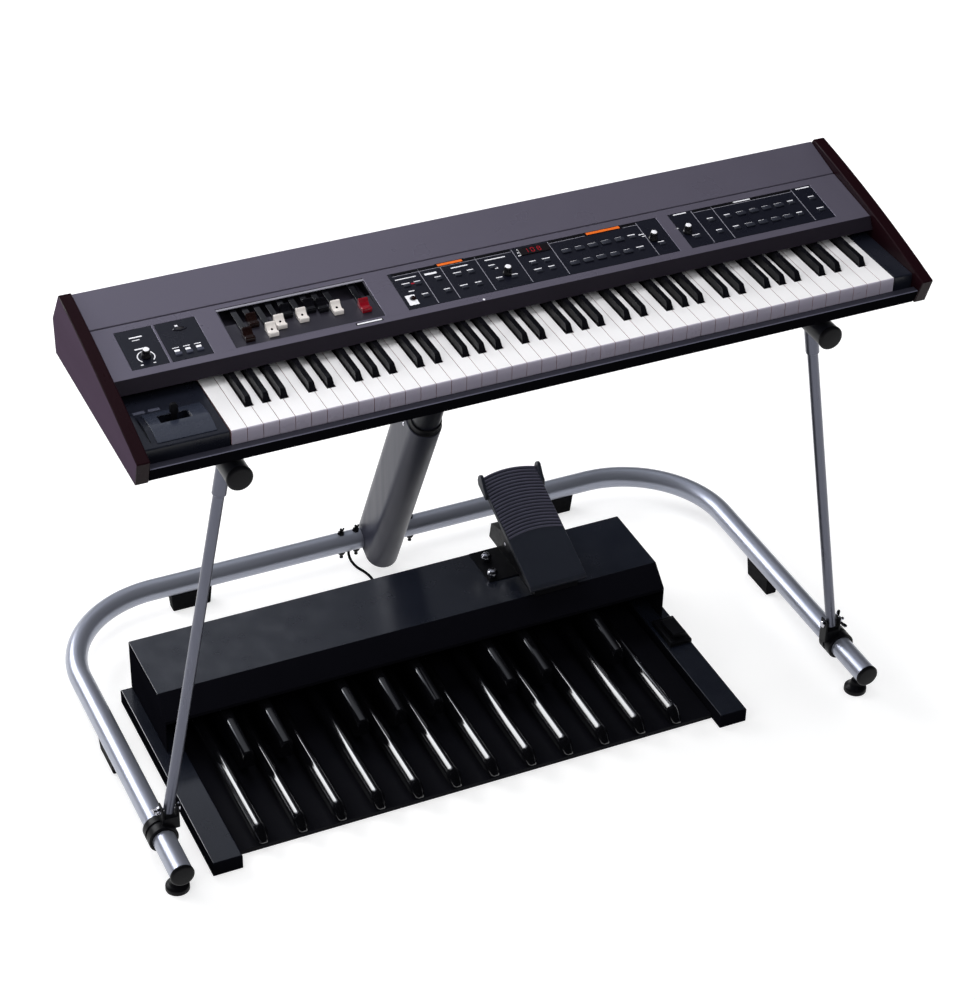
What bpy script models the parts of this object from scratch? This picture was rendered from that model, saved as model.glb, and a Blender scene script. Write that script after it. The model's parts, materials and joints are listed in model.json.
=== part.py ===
"""Combo organ on a floor stand, with a pedalboard and an expression pedal under it.

All lengths are in metres. +X runs along the keyboard to the player's right, +Y away from the
player and +Z up. The origin is on the floor, under the middle of the whole object. Sizes that
belong to the organ are measured back from the front edge of its cheeks and up from its
underside, and sizes of the stand and the pedals are measured up from the floor.
"""
import math

import bmesh
import bpy
from mathutils import Matrix, Vector

# Fits
TOUCH_GAP = 0.0003
BUTTON_CLEARANCE = 0.0003
SLIDE_CLEARANCE = 0.0004

# Where the organ stands
ORGAN_FRONT_Y = -0.3567
ORGAN_UNDERSIDE = 0.7675

# Case
CASE_LENGTH = 1.2564
CHEEK_THICKNESS = 0.0197
CHEEK_FRONT_HEIGHT = 0.0432
CHEEK_FRONT_UNDERCUT = 0.015
CHEEK_BACK_HEIGHT = 0.1198
CHEEK_TOP_BACK = 0.3386
CHEEK_CROWN = 0.006
CASE_DEPTH = 0.3796
CASE_BACK = 0.3751
CHAMFER_HEIGHT = 0.060
PANEL_SHEET = 0.003
FLOOR_SHEET = 0.002
SEAM_WIDTH = 0.0024
SEAM_DEPTH = 0.2701
SEAM_HEIGHT = 0.0938
SEAM_LIP = 0.0045
PANEL_FRONT_DEPTH = 0.157
PANEL_FRONT_HEIGHT = 0.0766
FASCIA_FOOT_DEPTH = 0.1457
FASCIA_FOOT_HEIGHT = 0.058
REAR_TOP_DEPTH = 0.3437
REAR_TOP_HEIGHT = 0.1136
RAIL_FRONT = 0.007
RAIL_DEPTH = 0.014
RAIL_HEIGHT = 0.026
RAIL_UNDERCUT = 0.0115

# Keyboard
KEY_PITCH = 0.02355
KEY_GAP = 0.0007
FIRST_KEY_X = -0.4840
NATURAL_COUNT = 45
KEY_FRONT = 0.0275
KEY_TOP = 0.044
KEY_THICKNESS = 0.014
KEY_LIP_DROP = 0.009
KEY_LIP_DEPTH = 0.004
KEY_EDGE = 0.0012
SHARP_FRONT = 0.0765
SHARP_WIDTH = 0.0110
SHARP_TOP_WIDTH = 0.0082
SHARP_RISE = 0.012
SHARP_NOSE_SLOPE = 0.0065
SHARP_SIDE_CLEARANCE = 0.0012
SHARP_SPREAD = 0.0026
KEY_ROD_DEPTH = 0.250
KEY_ROD_RADIUS = 0.002
KEY_ROD_STEP = 0.0047
KEY_TONGUE_LENGTH = 0.008
KEY_TONGUE_THICKNESS = 0.0034
KEYBED_SHEET = 0.003
KEY_STOP_DEPTH = 0.064
KEY_STOP_DROP = 0.0115

# Blocks beside the keys
BLOCK_FRONT = 0.0285
BLOCK_BACK = 0.164
BLOCK_MARGIN = 0.0018
BENDER_PAD_FRONT = 0.035
BENDER_PAD_DEPTH = 0.077
BENDER_PAD_WIDTH = 0.0925
BENDER_PAD_X = -0.5478
BENDER_PAD_CROWN = 0.007
BENDER_X = -0.5462
BENDER_DEPTH = 0.0835
BENDER_SLOT = (0.0425, 0.021)
BENDER_PIVOT_HEIGHT = 0.033
BENDER_LEVER_RISE = 0.039
BENDER_STEM = (0.0068, 0.005)
BENDER_YOKE = (0.018, 0.018, 0.008)
BENDER_PIN_RADIUS = 0.0015
BENDER_TIP_HALF_WIDTH = 0.0062
BENDER_TIP_TAPER = 0.0012
BENDER_TIP_LENGTH = 0.013
BENDER_NECK_LENGTH = 0.018

# Drawbars
DRAWBAR_PITCH = 0.0177
FIRST_DRAWBAR_X = -0.3975
RED_DRAWBAR_X = -0.2160
DRAWBAR_SLOPE = math.radians(3)
DRAWBAR_STEP = 0.0045
DRAWBAR_SETTINGS = (8, 1, 8, 5, 0, 4, 0, 1, 4)
RED_DRAWBAR_SETTING = 6
DRAWBAR_KNOB_WIDTH = 0.0145
DRAWBAR_KNOB_LENGTH = 0.021
DRAWBAR_KNOB_HEIGHT = 0.014
DRAWBAR_KNOB_EDGE = 0.0015
DRAWBAR_KNOB_CREST = 0.0040
DRAWBAR_KNOB_DIP = 0.0035
DRAWBAR_LIP = (0.0055, 0.0075)
DRAWBAR_LIP_FOOT = 0.002
DRAWBAR_SHAFT = (0.009, 0.0035)
DRAWBAR_SHAFT_LENGTH = 0.102
DRAWBAR_SHAFT_RISE = 0.001
DRAWBAR_IN_DEPTH = 0.2147
WELL_LEFT = -0.4220
WELL_RIGHT = -0.1945
WELL_FRONT = 0.0152
WELL_BACK = 0.1035
WELL_SHEET = 0.003
WELL_FLOOR_BACK = 0.229
WELL_PIT_HEIGHT = 0.071
GUIDE_FRONT = 0.286
GUIDE_BACK = 0.300
GUIDE_RISE = 0.008

# Inset plates and controls, measured along the panel's slope from its front edge
PLATE_FRONT = 0.0152
PLATE_BACK = 0.0990
PLATE_RECESS = 0.0002
PLATES = {
    "volume_plate": (-0.5745, -0.5200),
    "sensor_plate": (-0.5155, -0.4550),
    "voice_plate": (-0.1570, 0.2850),
    "registration_plate": (0.3060, 0.5555),
}
BUTTON_SIZE = (0.0095, 0.0055)
BUTTON_RISE = 0.0022
BUTTON_STRIP = 0.0016
BUTTON_STRIP_MARGIN = 0.0054
FRONT_ROW = 0.0372
BACK_ROW = 0.0670
DISPLAY_BACK_ROW = 0.0565
ORGAN_BACK_BUTTONS = (-0.139, -0.121, -0.088, -0.057, -0.036, -0.001)
ORGAN_FRONT_BUTTONS = (-0.142, -0.121, -0.086, -0.059, -0.036, -0.002, 0.020)
DISPLAY_BUTTONS = (0.061, 0.083)
VOICE_BUTTON_START = 0.1195
SMALL_VOICE_BUTTON = (0.267, 0.0387)
REGISTRATION_BUTTON_START = 0.3950
BUTTON_PITCH = 0.0222
BUTTONS_A_ROW = 6
EFFECT_BUTTON_X = 0.3260
WRITE_BUTTON_X = 0.3655
PLAYER_BUTTON_X = 0.5430
SENSOR_BUTTON_START = -0.5025
SENSOR_BUTTON_PITCH = 0.0160
SENSOR_BUTTON_ROW = 0.0283
KNOB_RADIUS = 0.0070
KNOB_HEIGHT = 0.0135
KNOB_SHAFT_RADIUS = 0.003
KNOB_SHAFT_LENGTH = 0.0034
KNOB_PLACES = {
    "knob_volume": (-0.5475, 0.0377),
    "knob_organ": (0.0130, 0.0471),
    "knob_ensemble": (0.2580, 0.0534),
    "knob_effects": (0.3160, 0.0524),
}
DISPLAY_CENTRE = (0.0750, 0.0863)
DISPLAY_SIZE = (0.050, 0.0170)
SENSOR_CENTRE = (-0.4830, 0.0803)
SENSOR_SIZE = (0.020, 0.009)
LENS_THICKNESS = 0.0012

# Stand
BASE_TUBE_RADIUS = 0.0185
BASE_TUBE_HEIGHT = 0.052
BASE_HALF_WIDTH = 0.602
BASE_FRONT = -0.003
BASE_BACK = 0.684
BASE_BEND_RADIUS = 0.185
CAP_THICKNESS = 0.005
CAP_LIP = 0.0008
COLUMN_LEAN = math.radians(25.2)
COLUMN_WIDTH = 0.0584
COLUMN_DEPTH = 0.100
COLUMN_RISE = 0.420
COLUMN_AXIS_DEPTH = 0.6685
COLUMN_DROP = 0.018
STUB_RADIUS = 0.0150
STUB_REACH = 0.080
INNER_TUBE_RADIUS = 0.024
INNER_TUBE_OVERLAP = 0.055
COLLAR_RADIUS = 0.0268
COLLAR_LENGTH = 0.014
ARM_RADIUS = 0.019
ARM_X = 0.4740
ARM_DROP = 0.038
ARM_FRONT = 0.0296
ARM_TAIL = 0.014
CROSSBAR_RADIUS = 0.0165
STRUT_RADIUS = 0.0085
STRUT_FOOT_X = 0.5867
STRUT_FOOT_DEPTH = 0.0972
STRUT_FOOT_HEIGHT = 0.0979
STRUT_HEAD_DEPTH = 0.0885
STRUT_FOOT_END = 0.006
STRUT_SLEEVE = 0.050
STRUT_SLEEVE_WALL = 0.0022
CLAMP_WALL = 0.0055
CLAMP_LENGTH = 0.034
CLAMP_WAIST = 0.006
CLAMP_GROOVE = 0.002
CLEVIS_DEPTH = 0.020
CLEVIS_EAR = 0.0035
CLEVIS_CLEARANCE = 0.0020
CLEVIS_ROOT = 0.062
CLEVIS_BELOW_BOLT = 0.012
CLEVIS_ABOVE_BOLT = 0.008
BOLT_RADIUS = 0.003
BOLT_END = 0.011
BOLT_SINK = 0.0008
BOLT_HEAD = (0.0060, 0.004)
WING_NUT_RADII = (0.0075, 0.0060)
WING_NUT_HEIGHT = 0.0055
SADDLE_DEPTHS = (0.075, 0.275)
SADDLE_SIZE = (0.030, 0.040)
SCREW_PLACES = (0.038, 0.066)
SCREW_NUT_RADIUS = 0.0055
SCREW_NUT_HEIGHT = 0.0055
SCREW_KNOB_RADIUS = 0.0075
SCREW_KNOB_HEIGHT = 0.011
SCREW_SINK = 0.0015
FOOT_DEPTH = 0.025
FOOT_RADIUS = 0.019
FOOT_HEIGHT = 0.022
FOOT_HUB = (0.0085, 0.011)
FOOT_LEVELS = (0.006, 0.009, 0.013)
FOOT_STUD_RADIUS = 0.005
FOOT_STUD_DEPTH = 0.008
REAR_PAD_X = 0.350
SIDE_PAD_DEPTH = 0.345
PAD_LENGTH = 0.075
PAD_WIDTH = 0.026

# Pedalboard
BOARD_LEFT = -0.5437
BOARD_RIGHT = 0.3919
BOARD_FRONT = 0.0265
BOARD_BACK = 0.479
END_BLOCK_WIDTH = 0.049
END_BLOCK_HEIGHT = 0.0262
DECK_FRONT = 0.055
DECK_THICKNESS = 0.008
BOX_LEFT = -0.5240
BOX_RIGHT = 0.3755
BOX_TOP = 0.1225
BOX_TOP_FRONT = 0.333
BOX_BEND_DEPTH = 0.298
BOX_BEND_HEIGHT = 0.0905
BOX_LIP_HEIGHT = 0.0840
BOX_SHEET = 0.002
PEDAL_PITCH = 0.0660
FIRST_PEDAL_X = -0.4515
NATURAL_PEDAL_COUNT = 12
PEDAL_WIDTH = 0.022
PEDAL_FRONT = 0.046
PEDAL_TOP = 0.0405
PEDAL_HEIGHT = 0.0220
PEDAL_TAIL = 0.010
PEDAL_ROD_DEPTH = 0.450
PEDAL_ROD_RADIUS = 0.004
PEDAL_ROD_HEIGHTS = (0.030, 0.056)
SHARP_PEDAL_WIDTH = 0.019
SHARP_PEDAL_FRONT = 0.203
SHARP_PEDAL_TOP = 0.0675
SHARP_PEDAL_BACK_TOP = 0.0760
SHARP_PEDAL_HEIGHT = 0.0300
SHARP_PEDAL_NOSE = 0.003
SHARP_PEDAL_ROUNDING = 0.004
PEDAL_ROUNDING = 0.0075
PEDAL_BELLY = 0.020
BRACKET_THICKNESS = 0.004
BRACKET_DEPTH = 0.024
BRACKET_MARGIN = 0.006

# Foot switch on the right end block
SWITCH_LEFT = 0.3500
SWITCH_WIDTH = 0.0410
SWITCH_FRONT = 0.218
SWITCH_LENGTH = 0.070
SWITCH_BASE_HEIGHT = 0.009
SWITCH_PAD = (0.024, 0.048, 0.0085)
SWITCH_PAD_RISE = 0.0034
SWITCH_PAD_MARGIN = 0.015

# Expression pedal
TREADLE_X = 0.182
TREADLE_WIDTH = 0.104
TREADLE_HEEL_DEPTH = 0.315
TREADLE_HEEL_HEIGHT = 0.1475
TREADLE_LENGTH = 0.232
TREADLE_SLOPE = math.radians(23)
TREADLE_THICKNESS = 0.009
TREADLE_TOE_BOW = 0.009
TREADLE_END_DROP = 0.004
RIB_COUNT = 20
RIB_HEIGHT = 0.0018
RIB_START = 0.102
TREADLE_AXLE_DEPTH = 0.425
TREADLE_AXLE_HEIGHT = 0.168
TREADLE_AXLE_RADIUS = 0.004
TREADLE_EAR_THICKNESS = 0.004
TREADLE_EAR_INSET = 0.002
TREADLE_EAR_ROOT = 0.038
TREADLE_EAR_TIP = 0.014
TREADLE_EAR_DROP = 0.009
WING_HEIGHT = 0.016
WING_LENGTH = 0.040
WING_THICKNESS = 0.0045
WING_TIP = 0.006
PEDAL_PLATE_LEFT = 0.088
PEDAL_PLATE_FRONT = 0.391
PEDAL_PLATE_DEPTH = 0.086
PEDAL_PLATE_THICKNESS = 0.002
PEDAL_BODY_WIDTH = 0.080
PEDAL_BODY_FRONT = 0.326
PEDAL_BODY_BACK = 0.512
PEDAL_BODY_SADDLE = 0.050
PEDAL_BODY_LIP = 0.012
PEDAL_BODY_STEP = 0.032
THUMB_SCREW_RADII = (0.0055, 0.0085, 0.0065)
THUMB_SCREW_LEVELS = (0.004, 0.006, 0.011, 0.014)
THUMB_SCREW_PLACES = ((0.107, 0.447), (0.098, 0.402))

# Pedal cable
CABLE_RADIUS = 0.0025
CABLE_START_X = -0.052
PLUG_X = -0.016
PLUG_HEIGHT = 0.050
PLUG_RADIUS = 0.008
PLUG_LENGTH = 0.045
PLUG_BOOT = (0.0145, 0.017)
GROMMET_LENGTH = 0.0035
GROMMET_RADII = (0.0042, 0.0050)

INNER_HALF = CASE_LENGTH / 2 - CHEEK_THICKNESS - TOUCH_GAP
KEY_BOTTOM = KEY_TOP - KEY_THICKNESS
KEYS_END = FIRST_KEY_X + NATURAL_COUNT * KEY_PITCH
PANEL_SLOPE = math.atan2(SEAM_HEIGHT - PANEL_FRONT_HEIGHT, SEAM_DEPTH - PANEL_FRONT_DEPTH)
NOTE_NAMES = "EFGABCD"
SHARP_SHIFT = {"C": -0.8, "D": 0.8, "F": -1.0, "G": 0.0, "A": 1.0}
PEDAL_NOTES = "CDEFGAB"


def clear_scene():
    for item in list(bpy.data.objects):
        bpy.data.objects.remove(item, do_unlink=True)


def collection(name):
    made = bpy.data.collections.new(name)
    bpy.context.scene.collection.children.link(made)
    return made


def finish(name, colour, metallic, roughness):
    """A plain surface finish: colour in linear RGB."""
    made = bpy.data.materials.new(name)
    made.use_nodes = True
    shader = made.node_tree.nodes["Principled BSDF"]
    shader.inputs["Base Color"].default_value = (*colour, 1)
    shader.inputs["Metallic"].default_value = metallic
    shader.inputs["Roughness"].default_value = roughness
    return made


def frame(name, location, slope=0.0, parent=None):
    """An empty that carries the pieces measured from it."""
    made = bpy.data.objects.new(name, None)
    PARTS.objects.link(made)
    made.parent = parent
    made.location = location
    made.rotation_euler.x = slope
    return made


def closed_mesh(name, shape):
    bmesh.ops.recalc_face_normals(shape, faces=shape.faces)
    mesh = bpy.data.meshes.new(name)
    shape.to_mesh(mesh)
    shape.free()
    mesh.shade_smooth()
    mesh.set_sharp_from_angle(angle=math.radians(35))
    return mesh


def piece(name, shape, material, parent, location=(0, 0, 0), group=None):
    """Turns a bmesh into a named object under its carrying frame."""
    made = bpy.data.objects.new(name, closed_mesh(name, shape))
    made.parent = parent
    made.location = location
    (group or PARTS).objects.link(made)
    made.data.materials.append(material)
    return made


def move_origin(made, point):
    """Puts a piece's origin on its joint's axis and leaves its shape where it is."""
    made.data.transform(Matrix.Translation(-Vector(point)))
    made.location = point


def turned_piece(name, profile, steps, material, parent, location=(0, 0, 0), turn=0.0):
    """A profile of (radius, height) pairs turned about Z, its outer side running downwards."""
    mesh = bpy.data.meshes.new(name)
    verts = [(radius, 0, height) for radius, height in profile]
    mesh.from_pydata(verts, [(at, at + 1) for at in range(len(verts) - 1)], [])
    made = bpy.data.objects.new(name, mesh)
    made.parent = parent
    made.location = location
    made.rotation_euler.x = turn
    PARTS.objects.link(made)
    mesh.materials.append(material)
    lathe = made.modifiers.new("lathe", "SCREW")
    lathe.steps = steps
    lathe.render_steps = steps
    lathe.use_merge_vertices = True
    lathe.merge_threshold = 0.00001
    return made


def cutter(name, shape, parent, location=(0, 0, 0)):
    made = piece(name, shape, FINISHES["black"], parent, location, CUTTERS)
    made.hide_render = True
    made.display_type = "WIRE"
    return made


def combine(target, tool, operation):
    change = target.modifiers.new(operation.lower(), "BOOLEAN")
    change.operation = operation
    change.solver = "EXACT"
    change.object = tool


def add_box(shape, low, high):
    size = Vector(high) - Vector(low)
    middle = (Vector(high) + Vector(low)) / 2
    place = Matrix.Translation(middle) @ Matrix.Diagonal((*size, 1))
    return bmesh.ops.create_cube(shape, size=1, matrix=place)["verts"]


def add_prism(shape, outline, axis, low, high):
    """A flat outline in the two other axes, swept along one axis from low to high."""
    spread = {
        "X": lambda a, b, along: Vector((along, a, b)),
        "Y": lambda a, b, along: Vector((a, along, b)),
        "Z": lambda a, b, along: Vector((a, b, along)),
    }[axis]
    face = shape.faces.new([shape.verts.new(spread(a, b, low)) for a, b in outline])
    swept = bmesh.ops.extrude_face_region(shape, geom=[face])["geom"]
    moved = [part for part in swept if isinstance(part, bmesh.types.BMVert)]
    bmesh.ops.translate(shape, verts=moved, vec=spread(0, 0, high - low))
    return moved + list(face.verts)


def add_rod(shape, start, end, radius, end_radius=None, segments=16):
    """A round bar, or a cone where the end has its own radius."""
    start, end = Vector(start), Vector(end)
    turn = (end - start).to_track_quat("Z", "Y").to_matrix().to_4x4()
    bmesh.ops.create_cone(
        shape, cap_ends=True, segments=segments, radius1=radius,
        radius2=radius if end_radius is None else end_radius,
        depth=(end - start).length, matrix=Matrix.Translation((start + end) / 2) @ turn)


def add_turned(shape, profile, place, steps=12):
    """Adds a profile of (radius, height) pairs turned about the place's Z axis."""
    lathe = bmesh.new()
    verts = [lathe.verts.new((radius, 0, height)) for radius, height in profile]
    edges = [lathe.edges.new(pair) for pair in zip(verts, verts[1:])]
    bmesh.ops.spin(lathe, geom=verts + edges, axis=(0, 0, 1), cent=(0, 0, 0),
                   angle=2 * math.pi, steps=steps, use_merge=True)
    bmesh.ops.remove_doubles(lathe, verts=lathe.verts, dist=1e-6)
    bmesh.ops.transform(lathe, matrix=place, verts=lathe.verts)
    mesh = bpy.data.meshes.new("turned")
    lathe.to_mesh(mesh)
    lathe.free()
    shape.from_mesh(mesh)
    bpy.data.meshes.remove(mesh)


def round_edges(shape, chosen, radius, segments=1):
    """Rounds each edge whose middle point the given test accepts."""
    edges = [edge for edge in shape.edges
             if chosen(edge.verts[0].co, edge.verts[1].co)]
    bmesh.ops.bevel(shape, geom=edges, offset=radius, segments=segments,
                    profile=0.5, affect="EDGES", clamp_overlap=True)


def arc(start, end, rise, count):
    """Points between two corners along a shallow arc that rises by the given height."""
    points = []
    for step in range(1, count):
        share = step / count
        bow = 4 * rise * share * (1 - share)
        points.append((start[0] + (end[0] - start[0]) * share,
                       start[1] + (end[1] - start[1]) * share + bow))
    return points


def circle_points(centre, radius, start, end, count):
    return [(centre[0] + radius * math.cos(start + (end - start) * step / count),
             centre[1] + radius * math.sin(start + (end - start) * step / count))
            for step in range(count + 1)]


def add_sheet(shape, line, half_length):
    """A folded sheet without thickness: a line in depth and height swept along X."""
    rows = [[shape.verts.new((side * half_length, depth, height)) for side in (-1, 1)]
            for depth, height in line]
    for (left, right), (next_left, next_right) in zip(rows, rows[1:]):
        shape.faces.new((left, right, next_right, next_left))


def sheet_piece(name, line, thickness, material, parent):
    """A folded sheet whose outer faces follow the line, with its thickness inside."""
    shape = bmesh.new()
    add_sheet(shape, line, INNER_HALF)
    mesh = bpy.data.meshes.new(name)
    shape.to_mesh(mesh)
    shape.free()
    made = bpy.data.objects.new(name, mesh)
    made.parent = parent
    PARTS.objects.link(made)
    mesh.materials.append(material)
    wall = made.modifiers.new("wall", "SOLIDIFY")
    wall.thickness = thickness
    wall.offset = -1
    wall.use_even_offset = True
    return made


def tube(route, radius, resolution):
    """A bent round bar along a route of points, as a closed bmesh."""
    line = bpy.data.curves.new("route", "CURVE")
    line.dimensions = "3D"
    line.bevel_depth = radius
    line.bevel_resolution = resolution
    line.use_fill_caps = True
    spline = line.splines.new("POLY")
    spline.points.add(len(route) - 1)
    for point, place in zip(spline.points, route):
        point.co = (*place, 1)
    holder = bpy.data.objects.new("route", line)
    bpy.context.scene.collection.objects.link(holder)
    graph = bpy.context.evaluated_depsgraph_get()
    mesh = bpy.data.meshes.new_from_object(holder.evaluated_get(graph))
    shape = bmesh.new()
    shape.from_mesh(mesh)
    bmesh.ops.remove_doubles(shape, verts=shape.verts, dist=1e-6)
    bpy.data.objects.remove(holder, do_unlink=True)
    bpy.data.curves.remove(line)
    bpy.data.meshes.remove(mesh)
    return shape


def panel_top(depth):
    """Height of the control panel's top face at a depth."""
    return PANEL_FRONT_HEIGHT + (depth - PANEL_FRONT_DEPTH) * math.tan(PANEL_SLOPE)


def well_front():
    """Depth of the front edge of the drawbar well's floor."""
    return PANEL_FRONT_DEPTH + WELL_FRONT * math.cos(PANEL_SLOPE) + 2 * TOUCH_GAP


def well_floor(depth):
    """Height of the drawbar well's floor at a depth; its front edge is level with the panel."""
    front = well_front()
    return panel_top(front) - 3 * TOUCH_GAP + (depth - front) * math.tan(DRAWBAR_SLOPE)


def make_cheeks(organ):
    front = (0.0, CHEEK_FRONT_HEIGHT)
    back = (CHEEK_TOP_BACK, CHEEK_BACK_HEIGHT)
    outline = [(CHEEK_FRONT_UNDERCUT, 0.0), front, *arc(front, back, CHEEK_CROWN, 8), back,
               (CASE_DEPTH, CHAMFER_HEIGHT), (CASE_DEPTH - 0.0014, 0.0)]
    for name, side in (("cheek_left", -1), ("cheek_right", 1)):
        shape = bmesh.new()
        outer = side * CASE_LENGTH / 2
        inner = outer - side * CHEEK_THICKNESS
        add_prism(shape, outline, "X", min(outer, inner), max(outer, inner))
        made = piece(name, shape, FINISHES["cheek"], organ)
        edge = made.modifiers.new("edge", "BEVEL")
        edge.width = 0.0012
        edge.segments = 1
        edge.angle_limit = math.radians(40)


def make_case(organ):
    """Folded bottom and back, front rail, rear panel and control panel."""
    back = CASE_BACK
    fold = CHAMFER_HEIGHT - 2 * FLOOR_SHEET
    tray_start = RAIL_FRONT + RAIL_DEPTH + TOUCH_GAP
    sheet_piece("case_tray", [(back, fold), (back, 0.0), (tray_start, 0.0)],
                FLOOR_SHEET, FINISHES["case"], organ)
    shape = bmesh.new()
    rail_back = RAIL_FRONT + RAIL_DEPTH
    add_prism(shape, [(RAIL_FRONT + RAIL_UNDERCUT, 0.0), (rail_back, 0.0),
                      (rail_back, RAIL_HEIGHT), (RAIL_FRONT + 0.001, RAIL_HEIGHT),
                      (RAIL_FRONT, RAIL_HEIGHT - 0.0015)],
              "X", -INNER_HALF, INNER_HALF)
    piece("front_rail", shape, FINISHES["rail"], organ)
    seam_half = SEAM_WIDTH / 2
    rear_slope = (REAR_TOP_HEIGHT - SEAM_HEIGHT) / (REAR_TOP_DEPTH - SEAM_DEPTH)
    rear_front = (SEAM_DEPTH + seam_half, SEAM_HEIGHT + seam_half * rear_slope)
    sheet_piece("rear_panel",
                [(rear_front[0], rear_front[1] - SEAM_LIP), rear_front,
                 (REAR_TOP_DEPTH, REAR_TOP_HEIGHT), (back, CHAMFER_HEIGHT + FLOOR_SHEET),
                 (back, fold + TOUCH_GAP)],
                PANEL_SHEET, FINISHES["panel"], organ)
    panel_end = SEAM_DEPTH - seam_half
    return sheet_piece("control_panel",
                       [(FASCIA_FOOT_DEPTH, FASCIA_FOOT_HEIGHT),
                        (PANEL_FRONT_DEPTH, PANEL_FRONT_HEIGHT),
                        (panel_end, panel_top(panel_end))],
                       PANEL_SHEET, FINISHES["panel"], organ)


def cut_panel_windows(panel, panel_frame):
    """Opens the panel for the drawbar well and for the plates that lie flush in it."""
    shape = bmesh.new()
    reach = 4 * PANEL_SHEET
    add_box(shape, (WELL_LEFT, WELL_FRONT, -reach), (WELL_RIGHT, WELL_BACK, reach))
    for left, right in PLATES.values():
        add_box(shape, (left - TOUCH_GAP, PLATE_FRONT - TOUCH_GAP, -reach),
                (right + TOUCH_GAP, PLATE_BACK + TOUCH_GAP, reach))
    combine(panel, cutter("panel_windows", shape, panel_frame), "DIFFERENCE")


def button_places():
    """Every push button's place on the panel, by the button strip that carries it."""
    rows = (FRONT_ROW, BACK_ROW)
    steps = [BUTTON_PITCH * step for step in range(BUTTONS_A_ROW)]
    return {
        "buttons_performance": [(SENSOR_BUTTON_START + SENSOR_BUTTON_PITCH * step,
                                 SENSOR_BUTTON_ROW) for step in range(3)],
        "buttons_organ": [(x, BACK_ROW) for x in ORGAN_BACK_BUTTONS]
        + [(x, FRONT_ROW) for x in ORGAN_FRONT_BUTTONS],
        "buttons_ensemble": [(x, row) for x in DISPLAY_BUTTONS
                             for row in (FRONT_ROW, DISPLAY_BACK_ROW)]
        + [(VOICE_BUTTON_START + step, row) for row in rows for step in steps]
        + [SMALL_VOICE_BUTTON],
        "buttons_registration": [(EFFECT_BUTTON_X, FRONT_ROW)]
        + [(x, row) for x in (WRITE_BUTTON_X, PLAYER_BUTTON_X) for row in rows]
        + [(REGISTRATION_BUTTON_START + step, row) for row in rows for step in steps],
    }


def plate_holes(panel_frame):
    """Cutters for the button holes and the knob shafts' holes in every plate."""
    holes = bmesh.new()
    half_x = BUTTON_SIZE[0] / 2 + BUTTON_CLEARANCE
    half_y = BUTTON_SIZE[1] / 2 + BUTTON_CLEARANCE
    reach = 4 * PANEL_SHEET
    for places in button_places().values():
        for x, along in places:
            add_box(holes, (x - half_x, along - half_y, -reach),
                    (x + half_x, along + half_y, reach))
    for x, along in KNOB_PLACES.values():
        add_rod(holes, (x, along, -reach), (x, along, reach),
                KNOB_SHAFT_RADIUS + SLIDE_CLEARANCE, segments=12)
    return cutter("plate_holes", holes, panel_frame)


def make_plates(panel_frame):
    """The dark inset plates, pierced for buttons and knob shafts, and the display's lens."""
    top = -PLATE_RECESS
    holes = plate_holes(panel_frame)
    for name, (left, right) in PLATES.items():
        shape = bmesh.new()
        add_box(shape, (left, PLATE_FRONT, top - PANEL_SHEET), (right, PLATE_BACK, top))
        combine(piece(name, shape, FINISHES["plate"], panel_frame), holes, "DIFFERENCE")
    dome = bmesh.new()
    x, along = SENSOR_CENTRE
    outline = circle_points((0, 0), 0.5, 0.0, 2 * math.pi, 16)[:-1]
    add_prism(dome, [(x + a * SENSOR_SIZE[0], along + b * SENSOR_SIZE[1]) for a, b in outline],
              "Z", top - PANEL_SHEET / 2, top + LENS_THICKNESS)
    crown = top + LENS_THICKNESS
    round_edges(dome, lambda a, b: min(a.z, b.z) > crown - 1e-6, LENS_THICKNESS / 2)
    combine(bpy.data.objects["sensor_plate"], cutter("sensor_dome", dome, panel_frame), "UNION")

    lens = bmesh.new()
    x, along = DISPLAY_CENTRE
    half_x, half_y = DISPLAY_SIZE[0] / 2, DISPLAY_SIZE[1] / 2
    crown = top + TOUCH_GAP + LENS_THICKNESS
    add_box(lens, (x - half_x, along - half_y, top + TOUCH_GAP),
            (x + half_x, along + half_y, crown))
    round_edges(lens, lambda a, b: min(a.z, b.z) > crown - 1e-6, LENS_THICKNESS / 2)
    piece("display_lens", lens, FINISHES["lens"], panel_frame)


def make_buttons(panel_frame):
    """Caps moulded on a strip under the plate, which dips as a button is pressed."""
    strip_top = -PLATE_RECESS - PANEL_SHEET - 2 * TOUCH_GAP
    half_x, half_y = BUTTON_SIZE[0] / 2, BUTTON_SIZE[1] / 2
    for name, places in button_places().items():
        caps, strip = bmesh.new(), bmesh.new()
        for x, along in places:
            add_box(caps, (x - half_x, along - half_y, strip_top - BUTTON_STRIP / 2),
                    (x + half_x, along + half_y, BUTTON_RISE))
        buttons = piece(name, caps, FINISHES["button"], panel_frame)
        add_box(strip, (min(x for x, _ in places) - BUTTON_STRIP_MARGIN,
                        min(along for _, along in places) - BUTTON_STRIP_MARGIN,
                        strip_top - BUTTON_STRIP),
                (max(x for x, _ in places) + BUTTON_STRIP_MARGIN,
                 max(along for _, along in places) + BUTTON_STRIP_MARGIN, strip_top))
        combine(buttons, cutter(name + "_strip", strip, panel_frame), "UNION")


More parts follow.
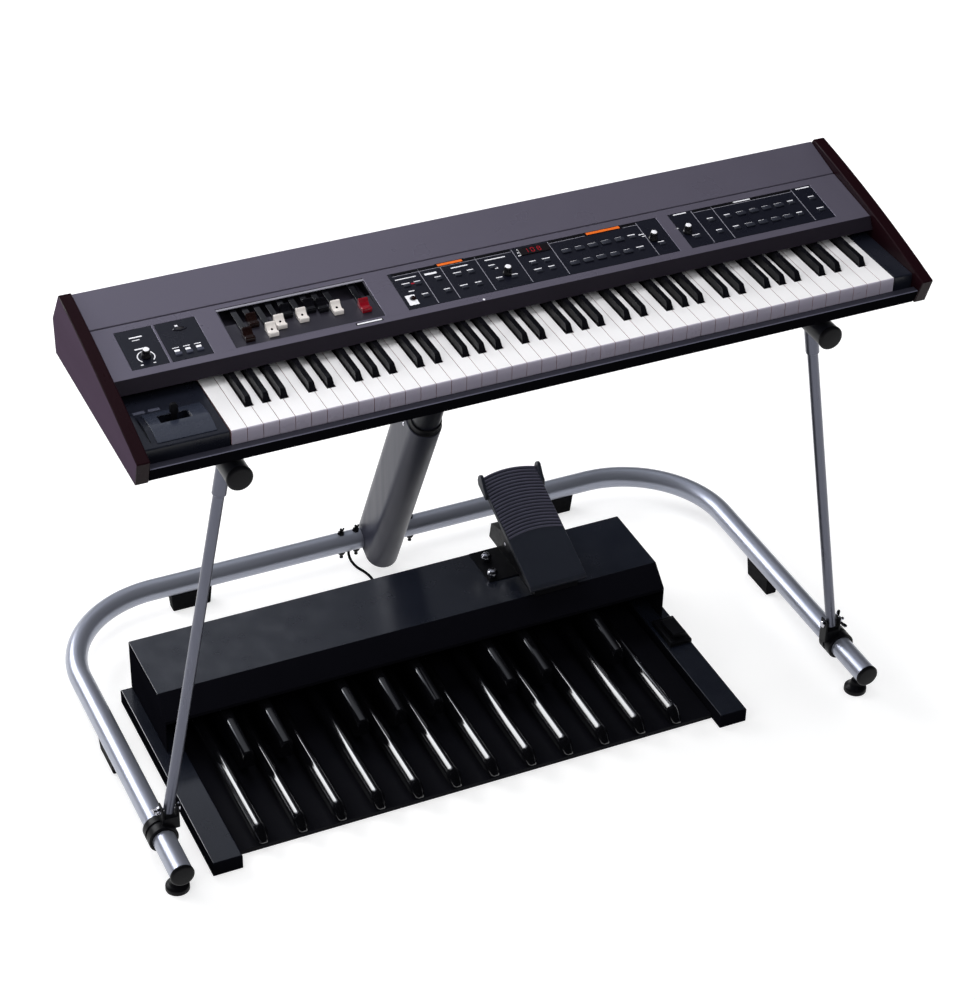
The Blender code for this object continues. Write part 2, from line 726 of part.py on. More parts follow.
def make_knobs(panel_frame):
    """Four turning knobs, each with its shaft in the plate and a skirt under a tapered grip."""
    skirt = TOUCH_GAP + 0.003
    profile = [(0, KNOB_HEIGHT), (KNOB_RADIUS * 0.66, KNOB_HEIGHT),
               (KNOB_RADIUS * 0.78, KNOB_HEIGHT - 0.001), (KNOB_RADIUS * 0.86, skirt + 0.001),
               (KNOB_RADIUS, skirt), (KNOB_RADIUS, TOUCH_GAP), (KNOB_SHAFT_RADIUS, TOUCH_GAP),
               (KNOB_SHAFT_RADIUS, -KNOB_SHAFT_LENGTH), (0, -KNOB_SHAFT_LENGTH)]
    for name, (x, along) in KNOB_PLACES.items():
        turned_piece(name, profile, 12, FINISHES["knob"], panel_frame, (x, along, 0))


def sharp_places():
    """Middle line of every sharp key: each group of two or three spreads a little."""
    for index in range(NATURAL_COUNT - 1):
        shift = SHARP_SHIFT.get(NOTE_NAMES[index % len(NOTE_NAMES)])
        if shift is not None:
            yield FIRST_KEY_X + (index + 1) * KEY_PITCH + shift * SHARP_SPREAD


def key_rod_height(level):
    return KEY_BOTTOM + KEY_ROD_RADIUS + level * KEY_ROD_STEP


def key_profile(top, level, nose):
    """Side outline of a key, from its front to the tongue that holds it on its hinge rod."""
    height = key_rod_height(level)
    half = KEY_TONGUE_THICKNESS / 2
    back = KEY_ROD_DEPTH - KEY_TONGUE_LENGTH
    return nose + [(back, KEY_BOTTOM), (back, height - half), (KEY_ROD_DEPTH, height - half),
                   (KEY_ROD_DEPTH, height + half), (back, height + half), (back, top)]


def add_key_spine(name, keys, level, parent):
    """Joins a set of keys by the spine behind them, which turns on a pin at each end."""
    height = key_rod_height(level)
    half = KEY_TONGUE_THICKNESS / 2
    spine, pins = bmesh.new(), bmesh.new()
    add_box(spine, (FIRST_KEY_X + KEY_GAP, KEY_ROD_DEPTH - KEY_ROD_RADIUS, height - half),
            (KEYS_END - KEY_GAP, KEY_ROD_DEPTH + KEY_ROD_RADIUS, height + half))
    combine(keys, cutter(name + "_spine", spine, parent), "UNION")
    reach = 2 * KEYBED_SHEET
    for end, side in ((FIRST_KEY_X, -1), (KEYS_END, 1)):
        add_rod(pins, (end - side * reach, KEY_ROD_DEPTH, height),
                (end + side * reach, KEY_ROD_DEPTH, height), KEY_ROD_RADIUS, segments=8)
    combine(keys, cutter(name + "_pins", pins, parent), "UNION")


def make_natural_keys(organ):
    """Every other natural hangs on one of two hinge rods, so that neighbours move apart."""
    notches = bmesh.new()
    half = SHARP_WIDTH / 2 + SHARP_SIDE_CLEARANCE
    for middle in sharp_places():
        add_box(notches, (middle - half, SHARP_FRONT - SHARP_SIDE_CLEARANCE, 0),
                (middle + half, KEY_ROD_DEPTH + KEYBED_SHEET, KEY_TOP + SHARP_RISE))
    notches = cutter("sharp_notches", notches, organ)
    lip = KEY_BOTTOM - KEY_LIP_DROP
    nose = [(KEY_FRONT, KEY_TOP - KEY_EDGE), (KEY_FRONT, lip), (KEY_FRONT + KEY_LIP_DEPTH, lip),
            (KEY_FRONT + KEY_LIP_DEPTH, KEY_BOTTOM)]
    for level, name in enumerate(("natural_keys_a", "natural_keys_b")):
        outline = key_profile(KEY_TOP, level, nose)
        outline += [(KEY_FRONT + KEY_EDGE, KEY_TOP)]
        shape = bmesh.new()
        for index in range(level, NATURAL_COUNT, 2):
            x = FIRST_KEY_X + index * KEY_PITCH
            add_prism(shape, outline, "X", x + KEY_GAP / 2, x + KEY_PITCH - KEY_GAP / 2)
        keys = piece(name, shape, FINISHES["natural"], organ)
        move_origin(keys, (0, KEY_ROD_DEPTH, key_rod_height(level)))
        combine(keys, notches, "DIFFERENCE")
        add_key_spine(name, keys, level, organ)


def make_sharp_keys(organ):
    """Sharps taper to the top and slope back at the nose."""
    top = KEY_TOP + SHARP_RISE
    nose = [(SHARP_FRONT, KEY_TOP), (SHARP_FRONT, KEY_BOTTOM)]
    outline = key_profile(top, 2, nose)
    outline += [(SHARP_FRONT + SHARP_NOSE_SLOPE + KEY_EDGE, top),
                (SHARP_FRONT + SHARP_NOSE_SLOPE - KEY_EDGE / 2, top - KEY_EDGE)]
    half = SHARP_WIDTH / 2
    taper = (SHARP_WIDTH - SHARP_TOP_WIDTH) / 2
    shape = bmesh.new()
    for middle in sharp_places():
        for vert in add_prism(shape, outline, "X", middle - half, middle + half):
            if vert.co.z > KEY_TOP + 1e-5:
                vert.co.x += taper if vert.co.x < middle else -taper
    keys = piece("sharp_keys", shape, FINISHES["sharp"], organ)
    move_origin(keys, (0, KEY_ROD_DEPTH, key_rod_height(2)))
    add_key_spine("sharp_keys", keys, 2, organ)


def make_keybed(organ):
    """A steel channel under the keys, with a front stop and end plates for the hinge rods."""
    low = FLOOR_SHEET + TOUCH_GAP
    floor = low + KEYBED_SHEET
    stop_top = KEY_BOTTOM - KEY_STOP_DROP
    rib_top = KEY_BOTTOM - 2 * TOUCH_GAP
    front, back = KEY_STOP_DEPTH - 0.020, KEY_ROD_DEPTH + 4 * KEYBED_SHEET
    wall_top = KEY_TOP + 2 * KEYBED_SHEET
    half = KEYBED_SHEET
    outline = [(front, low), (back, low), (back, wall_top),
               (back - KEYBED_SHEET, wall_top), (back - KEYBED_SHEET, floor),
               (KEY_ROD_DEPTH + half, floor), (KEY_ROD_DEPTH + half, rib_top),
               (KEY_ROD_DEPTH - half, rib_top), (KEY_ROD_DEPTH - half, floor),
               (KEY_STOP_DEPTH + 0.010, floor), (KEY_STOP_DEPTH + 0.010, stop_top),
               (KEY_STOP_DEPTH, stop_top), (KEY_STOP_DEPTH, floor), (front, floor)]
    shape = bmesh.new()
    left, right = FIRST_KEY_X + KEY_GAP, KEYS_END - KEY_GAP
    add_prism(shape, outline, "X", left, right)
    keybed = piece("keybed_frame", shape, FINISHES["steel"], organ)
    plates = bmesh.new()
    near = KEY_ROD_DEPTH - 2 * KEYBED_SHEET
    tip = KEY_GAP
    for inner, outer in ((left + tip, left - KEYBED_SHEET), (right - tip, right + KEYBED_SHEET)):
        add_box(plates, (min(inner, outer), near, low), (max(inner, outer), back, floor))
    for inner, outer in ((FIRST_KEY_X - TOUCH_GAP, left - KEYBED_SHEET),
                         (KEYS_END + TOUCH_GAP, right + KEYBED_SHEET)):
        add_box(plates, (min(inner, outer), near, floor - KEYBED_SHEET / 2),
                (max(inner, outer), back, wall_top))
    combine(keybed, cutter("keybed_end_plates", plates, organ), "UNION")
    keybed.modifiers[-1].use_self = True
    bores = bmesh.new()
    for end in (left - KEYBED_SHEET, right + KEYBED_SHEET):
        for level in range(3):
            add_rod(bores, (end - 2 * KEYBED_SHEET, KEY_ROD_DEPTH, key_rod_height(level)),
                    (end + 2 * KEYBED_SHEET, KEY_ROD_DEPTH, key_rod_height(level)),
                    KEY_ROD_RADIUS + TOUCH_GAP, segments=8)
    combine(keybed, cutter("keybed_bores", bores, organ), "DIFFERENCE")


def block_shape(left, right):
    """A block beside the keys, its top front edge rounded."""
    shape = bmesh.new()
    add_box(shape, (left, BLOCK_FRONT, FLOOR_SHEET + TOUCH_GAP), (right, BLOCK_BACK, KEY_TOP))
    round_edges(shape, lambda a, b: min(a.z, b.z) > KEY_TOP - 1e-6
                and max(a.y, b.y) < BLOCK_FRONT + 1e-6, 0.002, 2)
    return shape


def make_end_blocks(organ):
    """The bender housing left of the keys and the plain block right of them."""
    housing = piece("bender_housing", block_shape(-INNER_HALF, FIRST_KEY_X - BLOCK_MARGIN),
                    FINISHES["block"], organ)
    pad = bmesh.new()
    foot = KEY_TOP - 0.001
    start, end = (BENDER_PAD_FRONT, foot), (BENDER_PAD_FRONT + BENDER_PAD_DEPTH, foot)
    add_prism(pad, [start, *arc(start, end, BENDER_PAD_CROWN, 10), end], "X",
              BENDER_PAD_X - BENDER_PAD_WIDTH / 2, BENDER_PAD_X + BENDER_PAD_WIDTH / 2)
    combine(housing, cutter("bender_pad", pad, organ), "UNION")
    slot = bmesh.new()
    half_x, half_y = BENDER_SLOT[0] / 2, BENDER_SLOT[1] / 2
    add_box(slot, (BENDER_X - half_x, BENDER_DEPTH - half_y, 3 * FLOOR_SHEET),
            (BENDER_X + half_x, BENDER_DEPTH + half_y, 2 * KEY_TOP))
    combine(housing, cutter("bender_slot", slot, organ), "DIFFERENCE")
    bore = bmesh.new()
    reach = half_y + 2 * BENDER_STEM[1]
    add_rod(bore, (BENDER_X, BENDER_DEPTH - reach, BENDER_PIVOT_HEIGHT),
            (BENDER_X, BENDER_DEPTH + reach, BENDER_PIVOT_HEIGHT),
            BENDER_PIN_RADIUS + SLIDE_CLEARANCE, segments=12)
    combine(housing, cutter("bender_pin_bore", bore, organ), "DIFFERENCE")
    piece("key_block_right", block_shape(KEYS_END + BLOCK_MARGIN, INNER_HALF),
          FINISHES["block"], organ)


def make_bender(organ):
    """A yoke that rocks about Y and carries a lever that tips away about X."""
    pivot = (BENDER_X, BENDER_DEPTH, BENDER_PIVOT_HEIGHT)
    wide, long, tall = (size / 2 for size in BENDER_YOKE)
    shape = bmesh.new()
    add_box(shape, (-wide, -long, -tall), (wide, long, tall))
    yoke = piece("bender_yoke", shape, FINISHES["black"], organ, pivot)
    window = bmesh.new()
    stem = BENDER_STEM[0] / 2 + SLIDE_CLEARANCE
    add_box(window, (-stem, -0.7 * long, -2 * tall), (stem, 0.7 * long, 2 * tall))
    combine(yoke, cutter("yoke_window", window, organ, pivot), "DIFFERENCE")
    bore, pins = bmesh.new(), bmesh.new()
    add_rod(bore, (-0.75 * wide, 0, 0), (0.75 * wide, 0, 0),
            BENDER_PIN_RADIUS + SLIDE_CLEARANCE, segments=12)
    combine(yoke, cutter("yoke_bore", bore, organ, pivot), "DIFFERENCE")
    reach = BENDER_SLOT[1] / 2 + BENDER_STEM[1]
    for side in (-1, 1):
        add_rod(pins, (0, side * 0.9 * long, 0), (0, side * reach, 0), BENDER_PIN_RADIUS,
                segments=12)
    combine(yoke, cutter("yoke_pins", pins, organ, pivot), "UNION")

    half_x, half_y = BENDER_STEM[0] / 2, BENDER_STEM[1] / 2
    tip = BENDER_LEVER_RISE
    shape = bmesh.new()
    broad, taper = BENDER_TIP_HALF_WIDTH, BENDER_TIP_TAPER
    edge = [(half_x, -tall), (half_x, tip - BENDER_NECK_LENGTH),
            (broad, tip - BENDER_TIP_LENGTH), (broad - taper, tip - 2.5 * taper),
            (broad - 2.5 * taper, tip)]
    add_prism(shape, edge + [(-across, height) for across, height in reversed(edge)], "Y",
              -half_y, half_y)
    lever = piece("bender_lever", shape, FINISHES["black"], organ, pivot)
    pin = bmesh.new()
    add_rod(pin, (-0.65 * wide, 0, 0), (0.65 * wide, 0, 0), BENDER_PIN_RADIUS, segments=12)
    combine(lever, cutter("lever_pin", pin, organ, pivot), "UNION")


def drawbar_places():
    """Name, finish, x and setting of each drawbar, left to right."""
    colours = ("brown", "brown", "white", "white", "sharp", "white", "sharp", "sharp", "white")
    for index, (colour, setting) in enumerate(zip(colours, DRAWBAR_SETTINGS)):
        yield (f"drawbar_{index + 1}", colour, FIRST_DRAWBAR_X + index * DRAWBAR_PITCH, setting)
    yield ("drawbar_red", "red", RED_DRAWBAR_X, RED_DRAWBAR_SETTING)


def drawbar_frame_height():
    """Height of the underside of a pushed-in drawbar at its front end."""
    return well_floor(DRAWBAR_IN_DEPTH) + TOUCH_GAP


def make_drawbars(organ):
    """Each drawbar is a finger-shaped knob on a flat shaft, pulled out by its own setting."""
    run = frame("drawbar_run", (0, DRAWBAR_IN_DEPTH, drawbar_frame_height()), DRAWBAR_SLOPE, organ)
    length, height = DRAWBAR_KNOB_LENGTH, DRAWBAR_KNOB_HEIGHT
    edge, crest, foot = DRAWBAR_KNOB_EDGE, DRAWBAR_KNOB_CREST, DRAWBAR_LIP_FOOT
    lip, lip_top = DRAWBAR_LIP
    knob = [(0, 0), (length, 0), (length, height - edge), (length - edge, height),
            (length - crest, height), (length - crest - edge, height - DRAWBAR_KNOB_DIP),
            (lip, lip_top - foot), (lip - foot / 2, lip_top), (edge, lip_top),
            (0, lip_top - edge)]
    slots = bmesh.new()
    half = DRAWBAR_SHAFT[0] / 2
    low, high = DRAWBAR_SHAFT_RISE, DRAWBAR_SHAFT_RISE + DRAWBAR_SHAFT[1]
    shaft_end = length + DRAWBAR_SHAFT_LENGTH
    for name, colour, x, setting in drawbar_places():
        shape = bmesh.new()
        add_prism(shape, knob, "X", -DRAWBAR_KNOB_WIDTH / 2, DRAWBAR_KNOB_WIDTH / 2)
        bar = piece(name, shape, FINISHES[colour], run, (x, -setting * DRAWBAR_STEP, 0))
        shaft = bmesh.new()
        add_box(shaft, (-half, length - 0.003, low), (half, shaft_end, high))
        combine(bar, cutter(name + "_shaft", shaft, run, bar.location), "UNION")
        add_box(slots, (x - half - SLIDE_CLEARANCE, 2 * length, low - SLIDE_CLEARANCE),
                (x + half + SLIDE_CLEARANCE, shaft_end, high + SLIDE_CLEARANCE))
    return cutter("guide_slots", slots, run)


def make_drawbar_tray(organ, guide_slots):
    """The drawbar well: a sloping floor, a pit behind it and a guide comb for the shafts."""
    front, wall, step = well_front(), WELL_SHEET, WELL_FLOOR_BACK - WELL_SHEET
    pit = WELL_PIT_HEIGHT
    comb_top = (drawbar_frame_height() + GUIDE_RISE
                + (GUIDE_BACK - DRAWBAR_IN_DEPTH) * math.tan(DRAWBAR_SLOPE))
    underside = [(front, well_floor(front) - wall), (step, well_floor(step) - wall),
                 (step, pit - wall), (GUIDE_BACK, pit - wall), (GUIDE_BACK, comb_top),
                 (GUIDE_FRONT, comb_top)]
    outline = underside + [(GUIDE_FRONT, pit), (WELL_FLOOR_BACK, pit),
                           (WELL_FLOOR_BACK, well_floor(WELL_FLOOR_BACK)),
                           (front, well_floor(front))]
    left, right = WELL_LEFT + TOUCH_GAP, WELL_RIGHT - TOUCH_GAP
    shape = bmesh.new()
    add_prism(shape, outline, "X", left, right)
    tray = piece("drawbar_tray", shape, FINISHES["well"], organ)
    window_back = PANEL_FRONT_DEPTH + WELL_BACK * math.cos(PANEL_SLOPE) - 3 * TOUCH_GAP
    wall_top = SEAM_HEIGHT - SEAM_LIP - 4 * TOUCH_GAP
    side = underside + [(GUIDE_FRONT - wall, wall_top), (window_back, wall_top),
                        (window_back, panel_top(window_back) - 3 * TOUCH_GAP)]
    walls = bmesh.new()
    thickness = FLOOR_SHEET
    for low in (left, right - thickness):
        add_prism(walls, side, "X", low, low + thickness)
    combine(tray, cutter("tray_walls", walls, organ), "UNION")
    combine(tray, guide_slots, "DIFFERENCE")


def stadium(width, depth, steps):
    """A slot-shaped outline, long in the second axis, with half-round ends."""
    radius = width / 2
    offset = depth / 2 - radius
    front = circle_points((0, -offset), radius, math.pi, 2 * math.pi, steps)
    back = circle_points((0, offset), radius, 0.0, math.pi, steps)
    return front + back


def base_route(side):
    """Middle line of one half of the base: from its front end round to the column."""
    centre = (BASE_HALF_WIDTH - BASE_BEND_RADIUS, BASE_BACK - BASE_BEND_RADIUS)
    bend = circle_points(centre, BASE_BEND_RADIUS, 0.0, math.pi / 2, 12)
    inner = COLUMN_WIDTH / 2 + TOUCH_GAP
    plan = [(BASE_HALF_WIDTH, BASE_FRONT), *bend, (inner, BASE_BACK)]
    return [(side * across, depth, BASE_TUBE_HEIGHT) for across, depth in plan]


def screw_profile():
    """Hex nut, bolt and knurled knob of the hand screws, about the bolt's own axis."""
    top = BASE_TUBE_RADIUS
    nut, knob, sunk = SCREW_NUT_RADIUS, SCREW_KNOB_RADIUS, top - SCREW_SINK
    return [(0, top + SCREW_NUT_HEIGHT), (nut, top + SCREW_NUT_HEIGHT), (nut, sunk),
            (BOLT_RADIUS, sunk), (BOLT_RADIUS, -sunk), (knob, -sunk),
            (knob, -top - SCREW_KNOB_HEIGHT), (0, -top - SCREW_KNOB_HEIGHT)]


def make_base(stand):
    """Two bent tubes with end caps, pads and the screws that lock them on the column."""
    for name, side in (("base_tube_left", -1), ("base_tube_right", 1)):
        half = piece(name, tube(base_route(side), BASE_TUBE_RADIUS, 4), FINISHES["silver"], stand)
        x = side * BASE_HALF_WIDTH
        trims = bmesh.new()
        add_rod(trims, (x, BASE_FRONT - CAP_THICKNESS, BASE_TUBE_HEIGHT),
                (x, BASE_FRONT + CAP_THICKNESS / 4, BASE_TUBE_HEIGHT),
                BASE_TUBE_RADIUS - CAP_LIP, BASE_TUBE_RADIUS + CAP_LIP, segments=20)
        pad_top = BASE_TUBE_HEIGHT - BASE_TUBE_RADIUS / 2
        pad_x = side * REAR_PAD_X
        for long, wide, across, depth in ((PAD_LENGTH, PAD_WIDTH, pad_x, BASE_BACK),
                                          (PAD_WIDTH, PAD_LENGTH, x, SIDE_PAD_DEPTH)):
            for vert in add_box(trims, (across - long / 2, depth - wide / 2, 0),
                                (across + long / 2, depth + wide / 2, pad_top)):
                if vert.co.z < BASE_TUBE_HEIGHT / 2:
                    vert.co.x -= math.copysign(PAD_WIDTH / 8, vert.co.x - across)
                    vert.co.y -= math.copysign(PAD_WIDTH / 8, vert.co.y - depth)
        if side < 0:
            under = BASE_TUBE_HEIGHT - BASE_TUBE_RADIUS
            add_rod(trims, (CABLE_START_X, BASE_BACK, under - GROMMET_LENGTH),
                    (CABLE_START_X, BASE_BACK, under + GROMMET_LENGTH), *GROMMET_RADII)
        combine(half, cutter(name + "_trims", trims, stand), "UNION")
        bores, screws = bmesh.new(), bmesh.new()
        reach = COLUMN_WIDTH / 2 + STUB_REACH + 2 * CAP_THICKNESS
        add_rod(bores, (side * COLUMN_WIDTH / 4, BASE_BACK, BASE_TUBE_HEIGHT),
                (side * reach, BASE_BACK, BASE_TUBE_HEIGHT), STUB_RADIUS + TOUCH_GAP, segments=16)
        foot_top = BASE_TUBE_HEIGHT - BASE_TUBE_RADIUS + FOOT_STUD_DEPTH
        add_rod(bores, (x, FOOT_DEPTH, foot_top - 3 * FOOT_STUD_DEPTH),
                (x, FOOT_DEPTH, foot_top + TOUCH_GAP), FOOT_STUD_RADIUS + TOUCH_GAP, segments=12)
        combine(half, cutter(name + "_bores", bores, stand), "DIFFERENCE")
        for place in SCREW_PLACES:
            add_turned(screws, screw_profile(),
                       Matrix.Translation((side * place, BASE_BACK, BASE_TUBE_HEIGHT)), 8)
        combine(half, cutter(name + "_screws", screws, stand), "UNION")


def inner_tube_offset():
    """The sliding tube is concentric with the column's front half-round."""
    return -(COLUMN_DEPTH - COLUMN_WIDTH) / 2


def make_column(stand):
    """A leaning slot-section extrusion with a cross stub for the base and a collar on top."""
    lean = frame("column_axis", (0, COLUMN_AXIS_DEPTH, BASE_TUBE_HEIGHT), COLUMN_LEAN, stand)
    top = COLUMN_RISE
    shape = bmesh.new()
    add_prism(shape, stadium(COLUMN_WIDTH, COLUMN_DEPTH, 8), "Z", -COLUMN_DROP, top)
    column = piece("column", shape, FINISHES["column"], lean)
    collar = bmesh.new()
    offset = inner_tube_offset()
    add_rod(collar, (0, offset, top - COLLAR_LENGTH), (0, offset, top + COLLAR_LENGTH),
            COLLAR_RADIUS, segments=20)
    combine(column, cutter("column_collar", collar, lean), "UNION")
    stub = bmesh.new()
    reach = COLUMN_WIDTH / 2 + STUB_REACH
    add_rod(stub, (-reach, BASE_BACK, BASE_TUBE_HEIGHT), (reach, BASE_BACK, BASE_TUBE_HEIGHT),
            STUB_RADIUS, segments=16)
    combine(column, cutter("column_stub", stub, stand), "UNION")
    bores = bmesh.new()
    add_rod(bores, (0, offset, top - INNER_TUBE_OVERLAP - 2 * TOUCH_GAP),
            (0, offset, top + INNER_TUBE_OVERLAP), INNER_TUBE_RADIUS + TOUCH_GAP, segments=20)
    combine(column, cutter("column_bore", bores, lean), "DIFFERENCE")
    holes = bmesh.new()
    for side in (-1, 1):
        for place in SCREW_PLACES:
            x = side * place
            add_rod(holes, (x, BASE_BACK, BASE_TUBE_HEIGHT - 2 * STUB_RADIUS),
                    (x, BASE_BACK, BASE_TUBE_HEIGHT + 2 * STUB_RADIUS),
                    BOLT_RADIUS + TOUCH_GAP, segments=8)
    combine(column, cutter("stub_holes", holes, stand), "DIFFERENCE")
    return lean


def arm_height():
    return ORGAN_UNDERSIDE - ARM_DROP


def sliding_tube_length():
    """Where the sliding tube's axis reaches the arms' height, along the column's axis."""
    sideways = inner_tube_offset() * math.sin(-COLUMN_LEAN)
    return (arm_height() - BASE_TUBE_HEIGHT + sideways) / math.cos(COLUMN_LEAN)


def crossbar_depth():
    """Where the sliding tube's axis reaches the arms' height, in depth."""
    return (COLUMN_AXIS_DEPTH + inner_tube_offset() * math.cos(COLUMN_LEAN)
            - sliding_tube_length() * math.sin(COLUMN_LEAN))


def make_top_frame(stand, lean):
    """Two capped arms with saddles, a crossbar and the sliding tube down into the column."""
    height, depth = arm_height(), crossbar_depth()
    shape, trims = bmesh.new(), bmesh.new()
    wide, long = SADDLE_SIZE
    for side in (-1, 1):
        x = side * ARM_X
        add_rod(shape, (x, ARM_FRONT, height), (x, depth + ARM_TAIL, height), ARM_RADIUS,
                segments=20)
        add_rod(trims, (x, ARM_FRONT - CAP_THICKNESS, height), (x, ARM_FRONT + 0.001, height),
                ARM_RADIUS - CAP_LIP, ARM_RADIUS + CAP_LIP, segments=20)
        for start in SADDLE_DEPTHS:
            add_box(trims, (x - wide / 2, start, height),
                    (x + wide / 2, start + long, ORGAN_UNDERSIDE - TOUCH_GAP))
    arms = piece("top_frame", shape, FINISHES["arm"], stand)
    bar = bmesh.new()
    add_rod(bar, (-ARM_X, depth, height), (ARM_X, depth, height), CROSSBAR_RADIUS, segments=20)
    combine(arms, cutter("crossbar", bar, stand), "UNION")
    combine(arms, cutter("arm_trims", trims, stand), "UNION")
    slide = bmesh.new()
    offset = inner_tube_offset()
    add_rod(slide, (0, offset, COLUMN_RISE - INNER_TUBE_OVERLAP),
            (0, offset, sliding_tube_length() + CROSSBAR_RADIUS / 2), INNER_TUBE_RADIUS,
            segments=20)
    combine(arms, cutter("sliding_tube", slide, lean), "UNION")


def strut_points(side):
    foot = Vector((side * STRUT_FOOT_X, STRUT_FOOT_DEPTH, STRUT_FOOT_HEIGHT))
    head = Vector((side * ARM_X, STRUT_HEAD_DEPTH, arm_height()))
    return foot, head


def make_struts(stand):
    """Round struts from the base clamps up to the arms, coped round the arm at the head."""
    for name, side in (("strut_left", -1), ("strut_right", 1)):
        foot, head = strut_points(side)
        along = (head - foot).normalized()
        seat = head - along * (ARM_RADIUS * 0.8)
        across = Vector((2 * STRUT_RADIUS, 0, 0))
        shape, sleeve, hollow = bmesh.new(), bmesh.new(), bmesh.new()
        add_rod(shape, foot - along * STRUT_FOOT_END, seat - along * STRUT_SLEEVE / 2, STRUT_RADIUS)
        add_rod(sleeve, seat - along * STRUT_SLEEVE, seat, STRUT_RADIUS + STRUT_SLEEVE_WALL)
        x = side * ARM_X
        add_rod(hollow, (x, ARM_FRONT, arm_height()), (x, crossbar_depth(), arm_height()),
                ARM_RADIUS + TOUCH_GAP, segments=20)
        add_rod(hollow, foot - across, foot + across, BOLT_RADIUS + TOUCH_GAP, segments=12)
        strut = piece(name, shape, FINISHES["strut"], stand)
        combine(strut, cutter(name + "_sleeve", sleeve, stand), "UNION")
        combine(strut, cutter(name + "_hollows", hollow, stand), "DIFFERENCE")


def make_clamps(stand):
    """A waisted collar round the base tube, with a clevis, its bolt and a wing nut."""
    for name, side in (("strut_clamp_left", -1), ("strut_clamp_right", 1)):
        foot, _ = strut_points(side)
        outer = BASE_TUBE_RADIUS + CLAMP_WALL
        half, waist = CLAMP_LENGTH / 2, CLAMP_WAIST / 2
        centre = Matrix.Translation((side * BASE_HALF_WIDTH, foot.y, BASE_TUBE_HEIGHT))
        turn = Matrix.Rotation(math.pi / 2, 4, "X")
        shape, clevis, bore, bolt = bmesh.new(), bmesh.new(), bmesh.new(), bmesh.new()
        groove = outer - CLAMP_GROOVE
        add_turned(shape, [(0, half), (outer, half), (outer, waist), (groove, waist),
                           (groove, -waist), (outer, -waist), (outer, -half), (0, -half)],
                   centre @ turn, 20)
        clamp = piece(name, shape, FINISHES["black"], stand)
        inner = STRUT_RADIUS + CLEVIS_CLEARANCE
        edge = inner + CLEVIS_EAR
        root = STRUT_FOOT_HEIGHT - CLEVIS_BELOW_BOLT
        top = STRUT_FOOT_HEIGHT + CLEVIS_ABOVE_BOLT
        outline = [(-edge, CLEVIS_ROOT), (edge, CLEVIS_ROOT), (edge, top), (inner, top),
                   (inner, root), (-inner, root), (-inner, top), (-edge, top)]
        add_prism(clevis, [(foot.x + a, b) for a, b in outline], "Y",
                  foot.y - CLEVIS_DEPTH / 2, foot.y + CLEVIS_DEPTH / 2)
        combine(clamp, cutter(name + "_clevis", clevis, stand), "UNION")
        add_rod(bore, (side * BASE_HALF_WIDTH, foot.y - 2 * half, BASE_TUBE_HEIGHT),
                (side * BASE_HALF_WIDTH, foot.y + 2 * half, BASE_TUBE_HEIGHT),
                BASE_TUBE_RADIUS + TOUCH_GAP, segments=20)
        combine(clamp, cutter(name + "_bore", bore, stand), "DIFFERENCE")
        outward = Matrix.Rotation(side * math.pi / 2, 4, "Y")
        end, nut, sunk = edge + BOLT_END, edge + WING_NUT_HEIGHT, edge - BOLT_SINK
        broad, narrow = WING_NUT_RADII
        head, head_height = BOLT_HEAD
        add_turned(bolt, [(0, end), (BOLT_RADIUS, end), (BOLT_RADIUS, nut), (narrow, nut),
                          (broad, sunk), (BOLT_RADIUS, sunk), (BOLT_RADIUS, -sunk),
                          (head, -sunk), (head, -edge - head_height), (0, -edge - head_height)],
                   Matrix.Translation(foot) @ outward, 8)
        combine(clamp, cutter(name + "_bolt", bolt, stand), "UNION")


def make_feet(stand):
    """Two round levelling feet on studs in the front of the base tubes."""
    stud_top = BASE_TUBE_HEIGHT - BASE_TUBE_RADIUS + FOOT_STUD_DEPTH
    rim, shoulder, root = FOOT_LEVELS
    profile = [(0, stud_top), (FOOT_STUD_RADIUS, stud_top), (FOOT_STUD_RADIUS, FOOT_HEIGHT),
               (FOOT_HUB[0], FOOT_HEIGHT), (FOOT_HUB[1], root), (FOOT_RADIUS * 0.93, shoulder),
               (FOOT_RADIUS, rim), (FOOT_RADIUS, 0), (0, 0)]
    for name, side in (("levelling_foot_left", -1), ("levelling_foot_right", 1)):
        turned_piece(name, profile, 14, FINISHES["black"], stand,
                     (side * BASE_HALF_WIDTH, FOOT_DEPTH, 0))


def pedal_places():
    """Middle lines of the natural pedals and of the sharp pedals."""
    naturals = [FIRST_PEDAL_X + index * PEDAL_PITCH for index in range(NATURAL_PEDAL_COUNT)]
    sharps = [x + PEDAL_PITCH / 2 for index, x in enumerate(naturals[:-1])
              if PEDAL_NOTES[index % len(PEDAL_NOTES)] in SHARP_SHIFT]
    return naturals, sharps


def bracket_places():
    """Inner faces of the two brackets that carry the pedals' hinge rods."""
    naturals, _ = pedal_places()
    reach = PEDAL_WIDTH / 2 + BRACKET_MARGIN
    return naturals[0] - reach, naturals[-1] + reach


